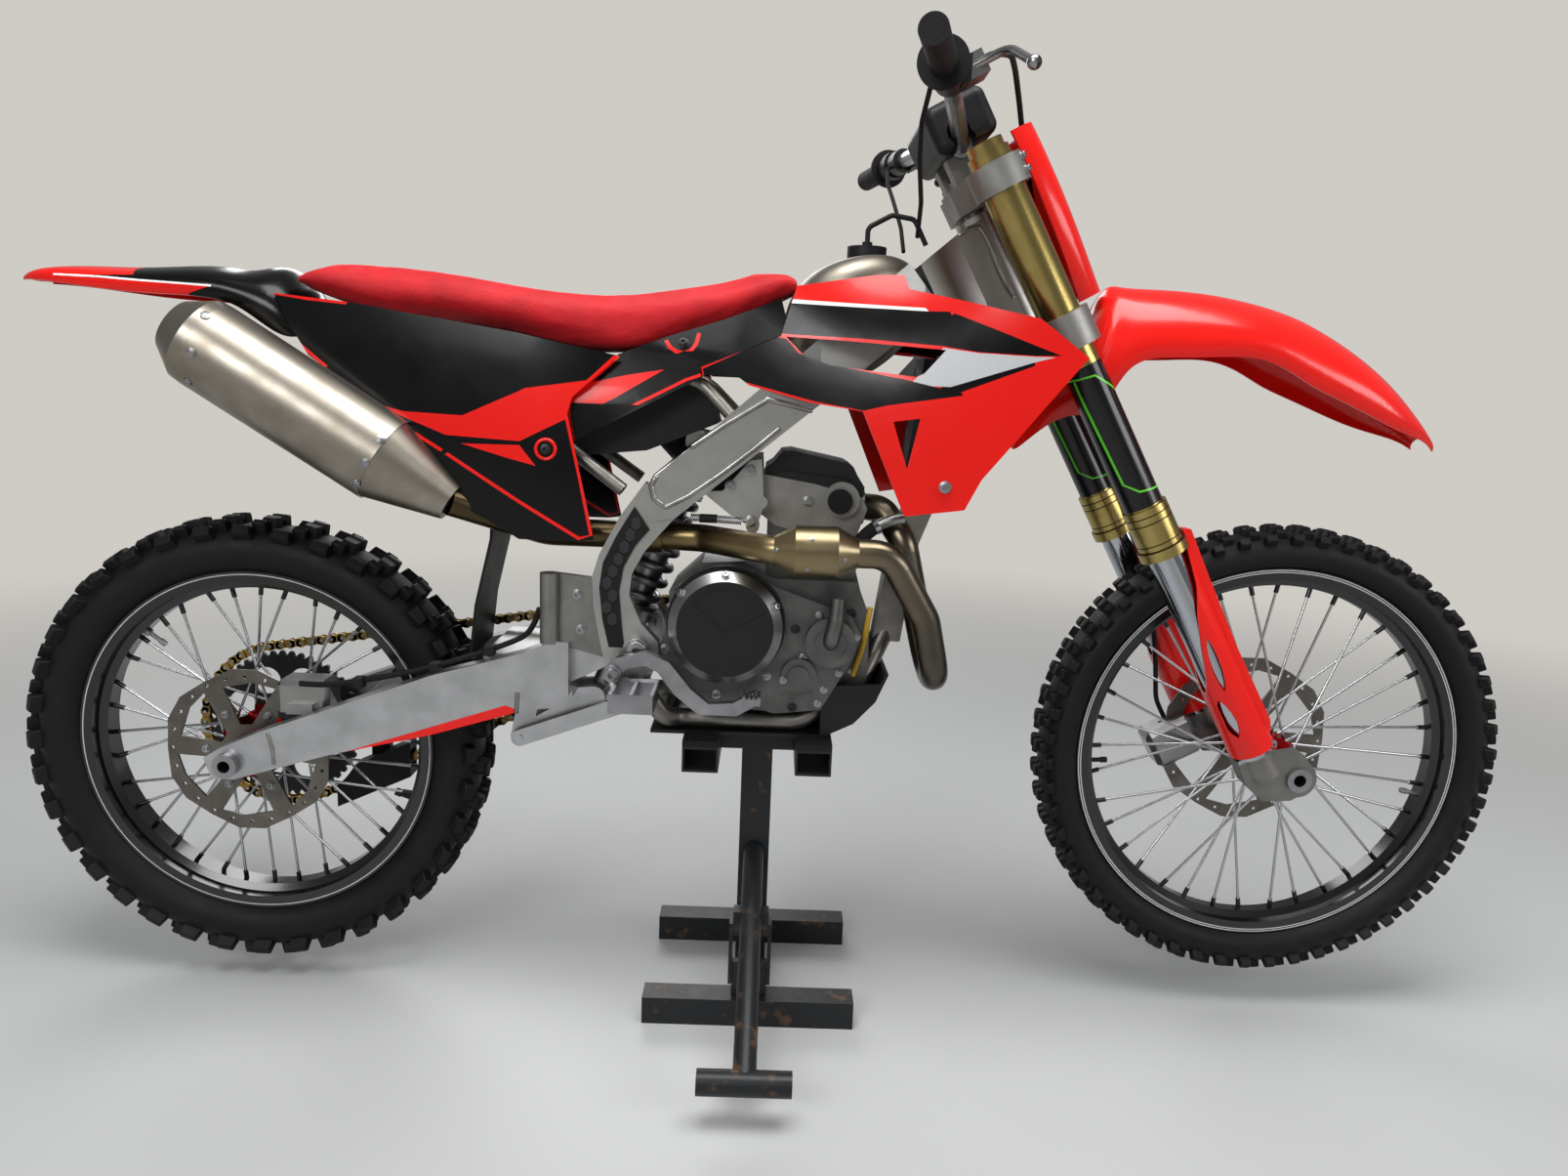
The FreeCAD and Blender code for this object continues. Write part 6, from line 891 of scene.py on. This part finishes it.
total, chain_at = chain_path()
pairs = round(total / PITCH / 2)
step = total / pairs
model = link_pair()
for corner in model.data.vertices:
    corner.co.x *= step / (2 * PITCH)
links = []
for i in range(pairs):
    link = twin(model)
    for corner in link.data.vertices:
        along, up = corner.co.x / MM, corner.co.z / MM
        pin = round(along / (step / 2)) * (step / 2)
        pin_at, ahead = chain_at(i * step + pin)
        spot = pin_at + ahead * (along - pin) + Vector((-ahead.y, ahead.x)) * up
        corner.co = (spot.x * MM, CHAIN_SIDE * MM + corner.co.y, spot.y * MM)
    links.append(link)
bpy.data.objects.remove(model)
drive_chain = join("drive_chain", links, "chassis", "chain")
smooth(drive_chain, 40)
print(pairs * 2, "links,", len(drive_chain.data.polygons), "faces")


# %% [markdown]
# The seat is soft foam under a stretched cover, so its cloth swells a little between its edges. A copy
# of the solid is remeshed evenly, blown up slightly as cloth, and held within a few millimetres.

# %% Seat
SEAT_CELL, SEAT_SINK, SEAT_MOST = 6 * MM, 1 * MM, 6 * MM
PUFF = 4
CLOTH_FRAMES = 15


def change(thing, kind, **settings):
    """Add a modifier with its settings and apply it."""
    only(thing)
    made = thing.modifiers.new("change", kind)
    for key, value in settings.items():
        setattr(made, key, value)
    bpy.ops.object.modifier_apply(modifier=made.name)


def seat_pad():
    pad_piece = stand_in("seat", "seat_cushion", seat_cloth)
    change(pad_piece, "REMESH", mode="VOXEL", voxel_size=SEAT_CELL)
    start = [corner.co.copy() for corner in pad_piece.data.vertices]
    normals = [corner.normal.copy() for corner in pad_piece.data.vertices]
    for corner, normal in zip(pad_piece.data.vertices, normals):
        corner.co -= normal * SEAT_SINK
    cloth = pad_piece.modifiers.new("cover", "CLOTH")
    cloth.settings.use_pressure = True
    cloth.settings.uniform_pressure_force = PUFF
    cloth.settings.effector_weights.gravity = 0
    cloth.settings.quality = 5
    for moment in range(1, CLOTH_FRAMES + 1):
        bpy.context.scene.frame_set(moment)
    only(pad_piece)
    bpy.ops.object.modifier_apply(modifier="cover")
    bpy.context.scene.frame_set(1)
    for corner, old in zip(pad_piece.data.vertices, start):
        move = corner.co - old
        if move.length > SEAT_MOST:
            corner.co = old + move * (SEAT_MOST / move.length)
    change(pad_piece, "SUBSURF", levels=1, render_levels=1)
    pad_piece.data.materials.clear()
    pad_piece.data.materials.append(seat_cloth)
    bpy.ops.object.shade_smooth()
    print("seat", len(pad_piece.data.polygons), "faces")


seat_pad()


# %% [markdown]
# Bolts, welds and rivets have to sit on the surface that they hold. A straight line is sent in from the
# side of the bike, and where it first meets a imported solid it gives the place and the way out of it.

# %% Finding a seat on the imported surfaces
trees = {}


def surface(names, x, z, side=-1):
    """The outermost place, in mm, and its outward direction, where a line from one side meets a node."""
    best = None
    for name in names.split():
        if name not in trees:
            mesh = nodes[name].data
            trees[name] = BVHTree.FromPolygons([corner.co for corner in mesh.vertices],
                                               [face.vertices for face in mesh.polygons])
        at, normal, _, far = trees[name].ray_cast(Vector((x * MM, side, z * MM)), Vector((0, -side, 0)))
        if at is not None and (best is None or far < best[2]):
            best = (at / MM, normal, far)
    return best


def copies(model, seats, size=1):
    """Copies of a model on seats of a place and a direction; the model itself goes."""
    made = [twin(model) for _ in seats]
    for thing, (at, direction) in zip(made, seats):
        thing.data.transform(seat_at(at, direction, size))
    bpy.data.objects.remove(model)
    return made


def ring(radius, wire, around, across, material):
    """A round ring about Z, with its radius and its wire's radius in mm."""
    bpy.ops.object.select_all(action="DESELECT")
    bpy.ops.mesh.primitive_torus_add(major_radius=radius * MM, minor_radius=wire * MM, major_segments=around,
                                     minor_segments=across)
    bpy.context.object.data.materials.append(material)
    return bpy.context.object


# sides of the head, its radius and its height, for a flange radius of 1
HEADS = {"hexagon": (6, 0.8, 0.62), "socket": (18, 0.74, 0.66), "nut": (6, 0.92, 0.75),
         "rivet": (12, 0.7, 0.2)}
SOCKET_RIM, SOCKET_DEEP = 0.42, 0.6
FLANGE_TOP, FLANGE_HALF = 0.2, 0.24
FLANGE_SOFT, HEAD_SOFT = 0.06, 0.07


def fastener(kind, material):
    """A flanged bolt, cap screw, nut or rivet with a radius of 1 mm, its head up along Z."""
    sides, head, tall = HEADS[kind]
    flange = disc("flange", (0, 0, 0), 1, FLANGE_HALF, material, 20, (0, 0, 1), FLANGE_SOFT)
    cap = disc("head", (0, 0, FLANGE_TOP + tall / 2), head, tall / 2, material, sides, (0, 0, 1), HEAD_SOFT)
    if kind != "rivet":
        edit(cap, "DESELECT")
        form = bmesh.from_edit_mesh(cap.data)
        max(form.faces, key=lambda face: face.calc_center_median().z).select = True
        bmesh.update_edit_mesh(cap.data)
        bpy.ops.mesh.inset(thickness=head * SOCKET_RIM * MM)
        bpy.ops.mesh.extrude_region_move(TRANSFORM_OT_translate={"value": (0, 0, -tall * SOCKET_DEEP * MM)})
        done()
    return fuse([flange, cap], "fastener")


def bolts(name, body, rows):
    """Fasteners of one piece: each row is kind, material, radius, nodes, side and the places x, z in mm."""
    made = []
    for kind, material, radius, names, side, places in rows:
        found = [surface(names, x, z, side) for x, z in places]
        made += copies(fastener(kind, material), [hit[:2] for hit in found if hit], radius)
    piece = join(name, made, body)
    smooth(piece, 40)
    print(name, len(made), "fasteners,", len(piece.data.polygons), "faces")


# %% [markdown]
# The real bolts are zinc plated cap screws and flange bolts. Those round the clutch, pump and filter
# hold the right cover, and the big ones hold the engine in the frame. A red cup sits round each side
# panel's bolt, and rivets hold the exhaust's shells.

# %% Bolts on the engine, frame and exhaust
ENGINE = "clutch_cover engine_covers crankcase"
HANDS = ((-1, "right"), (1, "left"))
PANEL_BOLT = (-289, 809)
CUP_RADIUS, CUP_WIRE = 12.5, 2.4
bolts("engine_bolts", "chassis", [
    ("hexagon", bright_steel, 6.5, ENGINE, -1, [(-50, 652), (-109, 625), (17, 612), (-132, 542), (9, 509),
                                                (-59, 480), (17, 454)]),
    ("hexagon", bright_steel, 5.5, ENGINE, -1, [(78, 597), (130, 568), (128, 513), (108, 516), (58, 537),
                                                (32, 507), (89, 492), (81, 472)]),
    ("socket", dark_bolt, 6.5, ENGINE, -1, [(46, 465), (46, 576)]),
    ("socket", bright_steel, 7.5, "cylinder_head", -1, [(57, 748)]),
    ("socket", bright_steel, 7, "rear_brake pivot_plates", -1, [(-252, 613), (-247, 564)]),
    ("socket", dark_bolt, 7, "frame_cradle engine_covers crankcase", -1, [(155, 627), (150, 603),
                                                                          (124, 595)]),
])
for side, hand in HANDS:
    bolts(f"{hand}_frame_bolts", "chassis", [
        ("socket", bright_steel, 8, "subframe pivot_plates frame_spars", side, [(-220, 738), (-185, 737)]),
        ("socket", bright_steel, 8, "frame_spars", side, [(-23, 789), (-49, 767), (-20, 721)]),
        ("nut", bright_steel, 15, "pivot_plates", side, [(-168, 544)]),
    ])
    bolts(f"{hand}_panel_bolts", "chassis", [
        ("socket", bright_steel, 8, "radiator_shrouds", side, [(226, 784), (-37, 903)]),
        ("socket", dark_bolt, 7, "side_panels radiator_shrouds", side, [PANEL_BOLT, (-117, 952)]),
    ])
cup_seats = [surface("side_panels", *PANEL_BOLT, side)[:2] for side, _ in HANDS]
cups = copies(ring(CUP_RADIUS, CUP_WIRE, 40, 10, red_panel), cup_seats)
smooth(join("panel_bolt_cups", cups, "chassis"), 60)
bolts("pedal_pivot_bolt", "chassis", [
    ("socket", bright_steel, 12, "foot_controls pivot_plates", -1, [(-196, 517)]),
])
bolts("exhaust_rivets", "chassis", [
    ("rivet", bright_steel, 3, "exhaust_header", -1, [(15, 696), (103, 687), (60, 712), (55, 673)]),
    ("rivet", bright_steel, 6, "muffler", -1, [(-703, 959), (-714, 913), (-730, 877), (-487, 816),
                                               (-505, 786), (-521, 759)]),
])


# %% [markdown]
# A weld bead is a row of small overlapping ripples. A tube follows the joint with its radius rising and
# falling every few millimetres, half sunk in the metal.

# %% Weld beads
RIPPLE, RIPPLE_THIN = 2.6, 0.78


def tube(name, route, radius, material, sides=3, kind="NURBS", ripple=1):
    """A round tube along points in mm, made a mesh; a ripple thins it at every other point."""
    data = bpy.data.curves.new(name, "CURVE")
    data.dimensions = "3D"
    data.bevel_depth = radius * MM
    data.bevel_resolution = sides
    data.use_fill_caps = True
    line = data.splines.new(kind)
    line.points.add(len(route) - 1)
    for i, (knot, at) in enumerate(zip(line.points, route)):
        knot.co = (at[0] * MM, at[1] * MM, at[2] * MM, 1)
        knot.radius = 1 if i % 2 else ripple
    line.order_u = 3
    line.use_endpoint_u = True
    line.resolution_u = 10
    only(new_object(name, data))
    bpy.ops.object.convert(target="MESH")
    thing = bpy.context.object
    thing.data.materials.clear()
    thing.data.materials.append(material)
    bpy.ops.object.shade_smooth()
    return thing


def weld(names, route, radius, side):
    """A rippled bead along points x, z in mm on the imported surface."""
    spots = []
    for (x1, z1), (x2, z2) in zip(route, route[1:]):
        count = max(1, round(math.hypot(x2 - x1, z2 - z1) / RIPPLE))
        spots += [(x1 + (x2 - x1) * i / count, z1 + (z2 - z1) * i / count) for i in range(count)]
    found = [surface(names, x, z, side) for x, z in spots]
    return tube("bead", [hit[0] for hit in found if hit], radius, weld_metal, 2, "POLY", RIPPLE_THIN)


SPAR_BEAD = [(56, 872), (-3, 884), (-60, 848), (-116, 808), (-144, 784), (-153, 766), (-149, 748),
             (-134, 738), (-104, 754), (-60, 786), (-18, 820), (16, 850)]
HEAD_BEAD = [(245, 1110), (259, 1120), (272, 1123), (282, 1111), (292, 1093), (299, 1076),
             (311, 1054), (328, 1032)]
beads = [weld(names, route, radius, side) for side in (-1, 1) for names, route, radius in (
    ("frame_spars", SPAR_BEAD, 4.2),
    ("frame_head frame_spars", HEAD_BEAD, 3.6),
    ("swingarm", [(-331, 476), (-333, 440), (-338, 424)], 3.4),
    ("swingarm", [(-673, 406), (-667, 383), (-666, 358)], 3),
)]
join("weld_beads", beads, "chassis")
print(len(beads), "weld beads")


# %% [markdown]
# The rider's boots grip the frame through rubber covered in hexagons. One six-sided tile is repeated in
# staggered rows, and kept only where all of it lies on the guard. The tiles' lighter grey is painted
# highlight: it stands for the light on their tops against the black guard between them.

# %% Hexagon grip on the frame guards
TILE_WIDE, TILE_TALL, TILE_FILL = 15, 22, 0.43
ROW_STEP_SHARE = 0.75
TILES_X, TILES_Z = -300, 500
TILE_SINK, TILE_THICK, TILE_UNEVEN = 0.4, 1.6, 0.5
HEXAGON = ((0, 1), (1, 0.5), (1, -0.5), (0, -1), (-1, -0.5), (-1, 0.5))


def prism(name, outline, low, high):
    """A closed prism across the bike from an outline x, z, between two sides in mm."""
    count = len(outline)
    data = bpy.data.meshes.new(name)
    corners = [(x * MM, y * MM, z * MM) for y in (low, high) for x, z in outline]
    sides = [(i, (i + 1) % count, (i + 1) % count + count, i + count) for i in range(count)]
    data.from_pydata(corners, [], [list(range(count))[::-1], list(range(count, 2 * count))] + sides)
    thing = new_object(name, data)
    edit(thing)
    bpy.ops.mesh.normals_make_consistent(inside=False)
    done()
    return thing


def grip_tiles(side):
    tiles = []
    for row in range(-2, 40):
        for column in range(20):
            x = TILES_X + TILE_WIDE * (column + row % 2 / 2)
            z = TILES_Z + TILE_TALL * ROW_STEP_SHARE * row
            outline = [(x + TILE_WIDE * TILE_FILL * sx, z + TILE_TALL * TILE_FILL * sz) for sx, sz in HEXAGON]
            hits = [surface("frame_guards", px, pz, side) for px, pz in outline]
            if not all(hits):
                continue
            out = [abs(hit[0].y) for hit in hits]
            if max(out) - min(out) <= TILE_UNEVEN:
                low = hits[0][0].y - side * TILE_SINK
                tiles.append(prism("tile", outline, low, low + side * TILE_THICK))
    return tiles


tiles = grip_tiles(-1) + grip_tiles(1)
grip = join("frame_guard_grip", tiles, "chassis")
# The tiles' grey, lighter than the guard's black rubber, is painted highlight for the light that falls on
# their tops.
grip.data.materials.append(black_plain("grip_rubber_painted_highlight", "262628", 0.55, 1.5, 0.12))
edit(grip)
bpy.ops.mesh.normals_make_consistent(inside=False)
bpy.ops.mesh.bevel(offset=0.5 * MM, segments=1, affect="EDGES")
done()
print(len(tiles), "tiles")


# %% [markdown]
# The joint behind the exhaust's bulge is pulled together by two close coil springs with a rubber sleeve
# between them, hooked on at both ends.

# %% Exhaust springs
SPRING_SIDE = -96
SPRING_RADIUS, SPRING_WIRE, SPRING_PITCH = 4.4, 1.2, 2.7


def ring_row(start, end, radius, wire, pitch):
    """A close coil as a row of rings between two places in mm."""
    start, end = Vector(start), Vector(end)
    count = round((end - start).length / pitch)
    seats = [(start.lerp(end, i / count), end - start) for i in range(count + 1)]
    return copies(ring(radius, wire, 16, 6, bright_steel), seats)


springs = []
for back, front in (((-100, SPRING_SIDE, 723), (-89, SPRING_SIDE, 723)), ((-66, SPRING_SIDE, 722),
                                                                          (-34, SPRING_SIDE, 721))):
    springs += ring_row(back, front, SPRING_RADIUS, SPRING_WIRE, SPRING_PITCH)
for hook in ([(-112, SPRING_SIDE + 6, 716), (-108, SPRING_SIDE, 722), (-100, SPRING_SIDE, 723)],
             [(-34, SPRING_SIDE, 721), (-26, SPRING_SIDE, 722), (-20, SPRING_SIDE + 3, 721)]):
    springs.append(tube("hook", hook, 1.3, bright_steel, 2))
springs.append(disc("sleeve", (-77.5, SPRING_SIDE, 722.5), 6, 12, black_rubber, 20, (1, 0, 0)))
join("exhaust_springs", springs, "chassis")
print(len(springs), "spring rings, hooks and sleeve")


# %% [markdown]
# The clutch cover is coated black, then its rim is turned on a lathe, which leaves a bright bevelled
# ring. A black rubber plug closes the cam bearing.

# %% Engine trim
PLUG_X, PLUG_Z = 100, 751
PLUG_RADIUS, PLUG_HALF = 17, 2.5
BEVEL_LOW, BEVEL_HIGH = 0.25, 0.95
cover = stand_in("clutch_cover", "clutch_case_cover", black_coat, cover_metal)
for face in cover.data.polygons:
    if BEVEL_LOW < abs(face.normal.y) < BEVEL_HIGH:
        face.material_index = 1
smooth(cover, 30)
plug_side = surface("cylinder_head valve_cover", PLUG_X, PLUG_Z)[0].y - 1
plug = disc("plug", (PLUG_X, plug_side, PLUG_Z), PLUG_RADIUS, PLUG_HALF, black_rubber, 28)
join("cam_plug", [plug], "chassis")
print(sum(face.material_index for face in cover.data.polygons), "bright faces on the cover")


# %% [markdown]
# The swingarm carries the black chain guide, on the left and under its end, and a red painted wedge on
# its right face. The back brake's bracket is coated black, its caliper is bare metal, and its master
# cylinder is a grey casting. The fork's feet are grey castings under chrome sliders, and the bar's ends
# are black from where the grips start.

# %% Swingarm, brakes, fork feet and bar controls
GRIP_START = 265

printed("swingarm", "swingarm_beam", (arm_metal, black_plastic, red_panel), [
    (1, [(-665, 200), (-520, 230), (-520, 372), (-665, 330)], 20),
    (2, [(-610, 368), (-331, 462), (-331, 432), (-400, 414), (-470, 397), (-560, 377)], -math.inf, -90),
])
printed("rear_brake", "rear_brake_set", (foot_metal, black_coat, cover_metal), [
    (1, [(-790, 380), (-560, 380), (-560, 520), (-790, 520)]),
    (2, [(-700, 425), (-600, 425), (-600, 475), (-700, 475)], -math.inf, -66),
])
printed("fork_legs", "fork_sliders", (chrome, foot_metal), [
    (1, fork_outline([(-90, -80), (120, -80), (120, 56), (-90, 56)])),
], 40)
printed("bar_controls", "handlebar_controls", (black_coat, cover_metal), [
    (1, [(212, 1226), (266, 1226), (266, 1292), (212, 1292)], -370, -190),
], 40)
bar = stand_in("handlebar", "handlebar_tube", arm_metal, black_rubber)
for face in bar.data.polygons:
    if abs(face.center.y / MM) > GRIP_START:
        face.material_index = 1
smooth(bar, 40)


# %% [markdown]
# The fork guards have two long slots that show the leg behind. A lens-shaped prism cuts each one out.

# %% Fork guards
GUARD_INNER, GUARD_OUTER = 123, 145
LENS_SHARES = ((0, 0), (0.15, 0.32), (0.35, 0.5), (0.6, 0.48), (0.85, 0.3), (1, 0))
guards = stand_in("fork_guards", "fork_slider_guards", red_panel, white_film)


def lens(low, high, wide):
    """An eye-shaped outline between two places, in mm."""
    (x1, z1), (x2, z2) = low, high
    run = math.hypot(x2 - x1, z2 - z1)
    nx, nz = (z1 - z2) / run * wide, (x2 - x1) / run * wide
    left, right = ([(x1 + (x2 - x1) * along + way * nx * bulge, z1 + (z2 - z1) * along + way * nz * bulge)
                    for along, bulge in LENS_SHARES] for way in (1, -1))
    return left + right[-2:0:-1]


for low, high, wide in (((660, 452), (626, 504), 15), ((632, 518), (598, 592), 12)):
    for near, far in ((-GUARD_OUTER, -GUARD_INNER), (GUARD_INNER, GUARD_OUTER)):
        slot = prism("slot", lens(low, high, wide), near, far)
        change(guards, "BOOLEAN", operation="DIFFERENCE", solver="EXACT", object=slot)
        bpy.data.objects.remove(slot)
smooth(guards)
print("guard faces", len(guards.data.polygons))


# %% [markdown]
# Hoses that are held at both ends keep their shape. The coolant hose is pushed on the radiator's pipe
# and clamped, the brake hose lies in clips along the swingarm, and the yellow hose is the breather
# that ends in front of the engine.

# %% Hoses
yellow_hose = black_plain("yellow_clear_hose", "b08a2c", 0.3, 2, 0.05)
*coolant, breather = [tube(name, route, radius, material, sides) for name, route, radius, material, sides in (
    ("hose", [(118, -66, 672), (126, -72, 690), (140, -78, 710), (154, -80, 720)], 9.5, black_rubber, 4),
    ("pipe", [(150, -80, 718), (162, -80, 724), (176, -80, 729), (188, -78, 731)], 8, cover_metal, 4),
    ("breather", [(150, -74, 604), (147, -80, 588), (143, -84, 556), (134, -84, 524), (130, -82, 508)], 4.2,
     yellow_hose, 3),
)]
clamp = ring_row((150, -80, 717.5), (154, -80, 720), 10, 1.4, 2.2)
join("engine_hoses", coolant + clamp + [breather], "chassis")
BRAKE_ROUTE = [(-640, -84, 468), (-611, -92, 468), (-552, -98, 478), (-447, -100, 503), (-341, -99, 541),
               (-312, -100, 560), (-303, -104, 592)]
brake_line = [tube("hose", BRAKE_ROUTE, 4, black_rubber)]
for x, z in ((-552, 478), (-447, 503), (-372, 530)):
    brake_line.append(block("clip", (x - 7, -107, z - 8), (x + 7, -91, z + 7), black_plastic, 1.5))
join("rear_brake_hose", brake_line, "chassis")
print(len(coolant) + 2, "hoses and pipes")


# %% [markdown]
# The small parts of the wheels turn with them: disc bolts, a valve stem each, and the rear rim lock that
# stops the tyre from slipping round. The fork's bolts turn with the steering.

# %% Wheel and fork trim
def circle_places(axle, radius, count, start=0):
    """Places x, z in mm round an axle, from a start angle in degrees."""
    turns = (math.radians(start) + 2 * math.pi * i / count for i in range(count))
    return [(axle.x / MM + radius * math.cos(turn), axle.z / MM + radius * math.sin(turn)) for turn in turns]


def stem(start, end, material, radius):
    """A valve stem with its nut and cap between two places x, z in mm."""
    start, end = Vector((start[0], 0, start[1])), Vector((end[0], 0, end[1]))
    way = (end - start).normalized()
    return [disc("stem", start.lerp(end, 0.5), radius, (end - start).length / 2, material, 16, way),
            disc("nut", start + way * 4, radius * 2, 3, bright_steel, 6, way),
            disc("cap", end, radius * 1.3, 5, material, 12, way)]


VALVE, RIM_LOCK = 3.4, 4.5
join("front_valve_stems", stem((490, 368.5), (520, 370), black_plastic, VALVE)
     + stem((1012, 331), (980, 338), bright_steel, VALVE), "front_wheel")
join("rear_valve_and_rim_lock", stem((-897, 515), (-874, 498), bright_steel, VALVE)
     + stem((-512, 270), (-536, 279), black_plastic, RIM_LOCK), "rear_wheel")
bolts("rear_disc_bolts", "rear_wheel", [
    ("hexagon", bright_steel, 6, "rear_disc", -1, circle_places(REAR_AXLE, 60, 6)),
    ("nut", bright_steel, 8, "rear_sprocket", 1, circle_places(REAR_AXLE, 62, 6, 30)),
])
bolts("front_disc_bolts", "front_wheel", [
    ("hexagon", bright_steel, 6, "front_disc", 1, circle_places(FRONT_AXLE, 60, 6)),
])
for side, hand in HANDS:
    bolts(f"{hand}_fork_bolts", "steering", [
        ("socket", bright_steel, 6, "triple_clamps", side, [(303, 1197), (310, 1181)]),
        ("hexagon", bright_steel, 6, "fork_guards fork_legs", side, [(714, 442)]),
    ])


# %% [markdown]
# The throttle and clutch cables hang between the frame and the turning handlebar. A merged copy of
# them takes their place, and it is not attached to any body.

# %% Control cables
cables = stand_in("control_cables", "control_cable_set", black_rubber, rides=False)
smooth(cables, 60)
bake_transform(cables)
print("cables", len(cables.data.polygons), "faces")
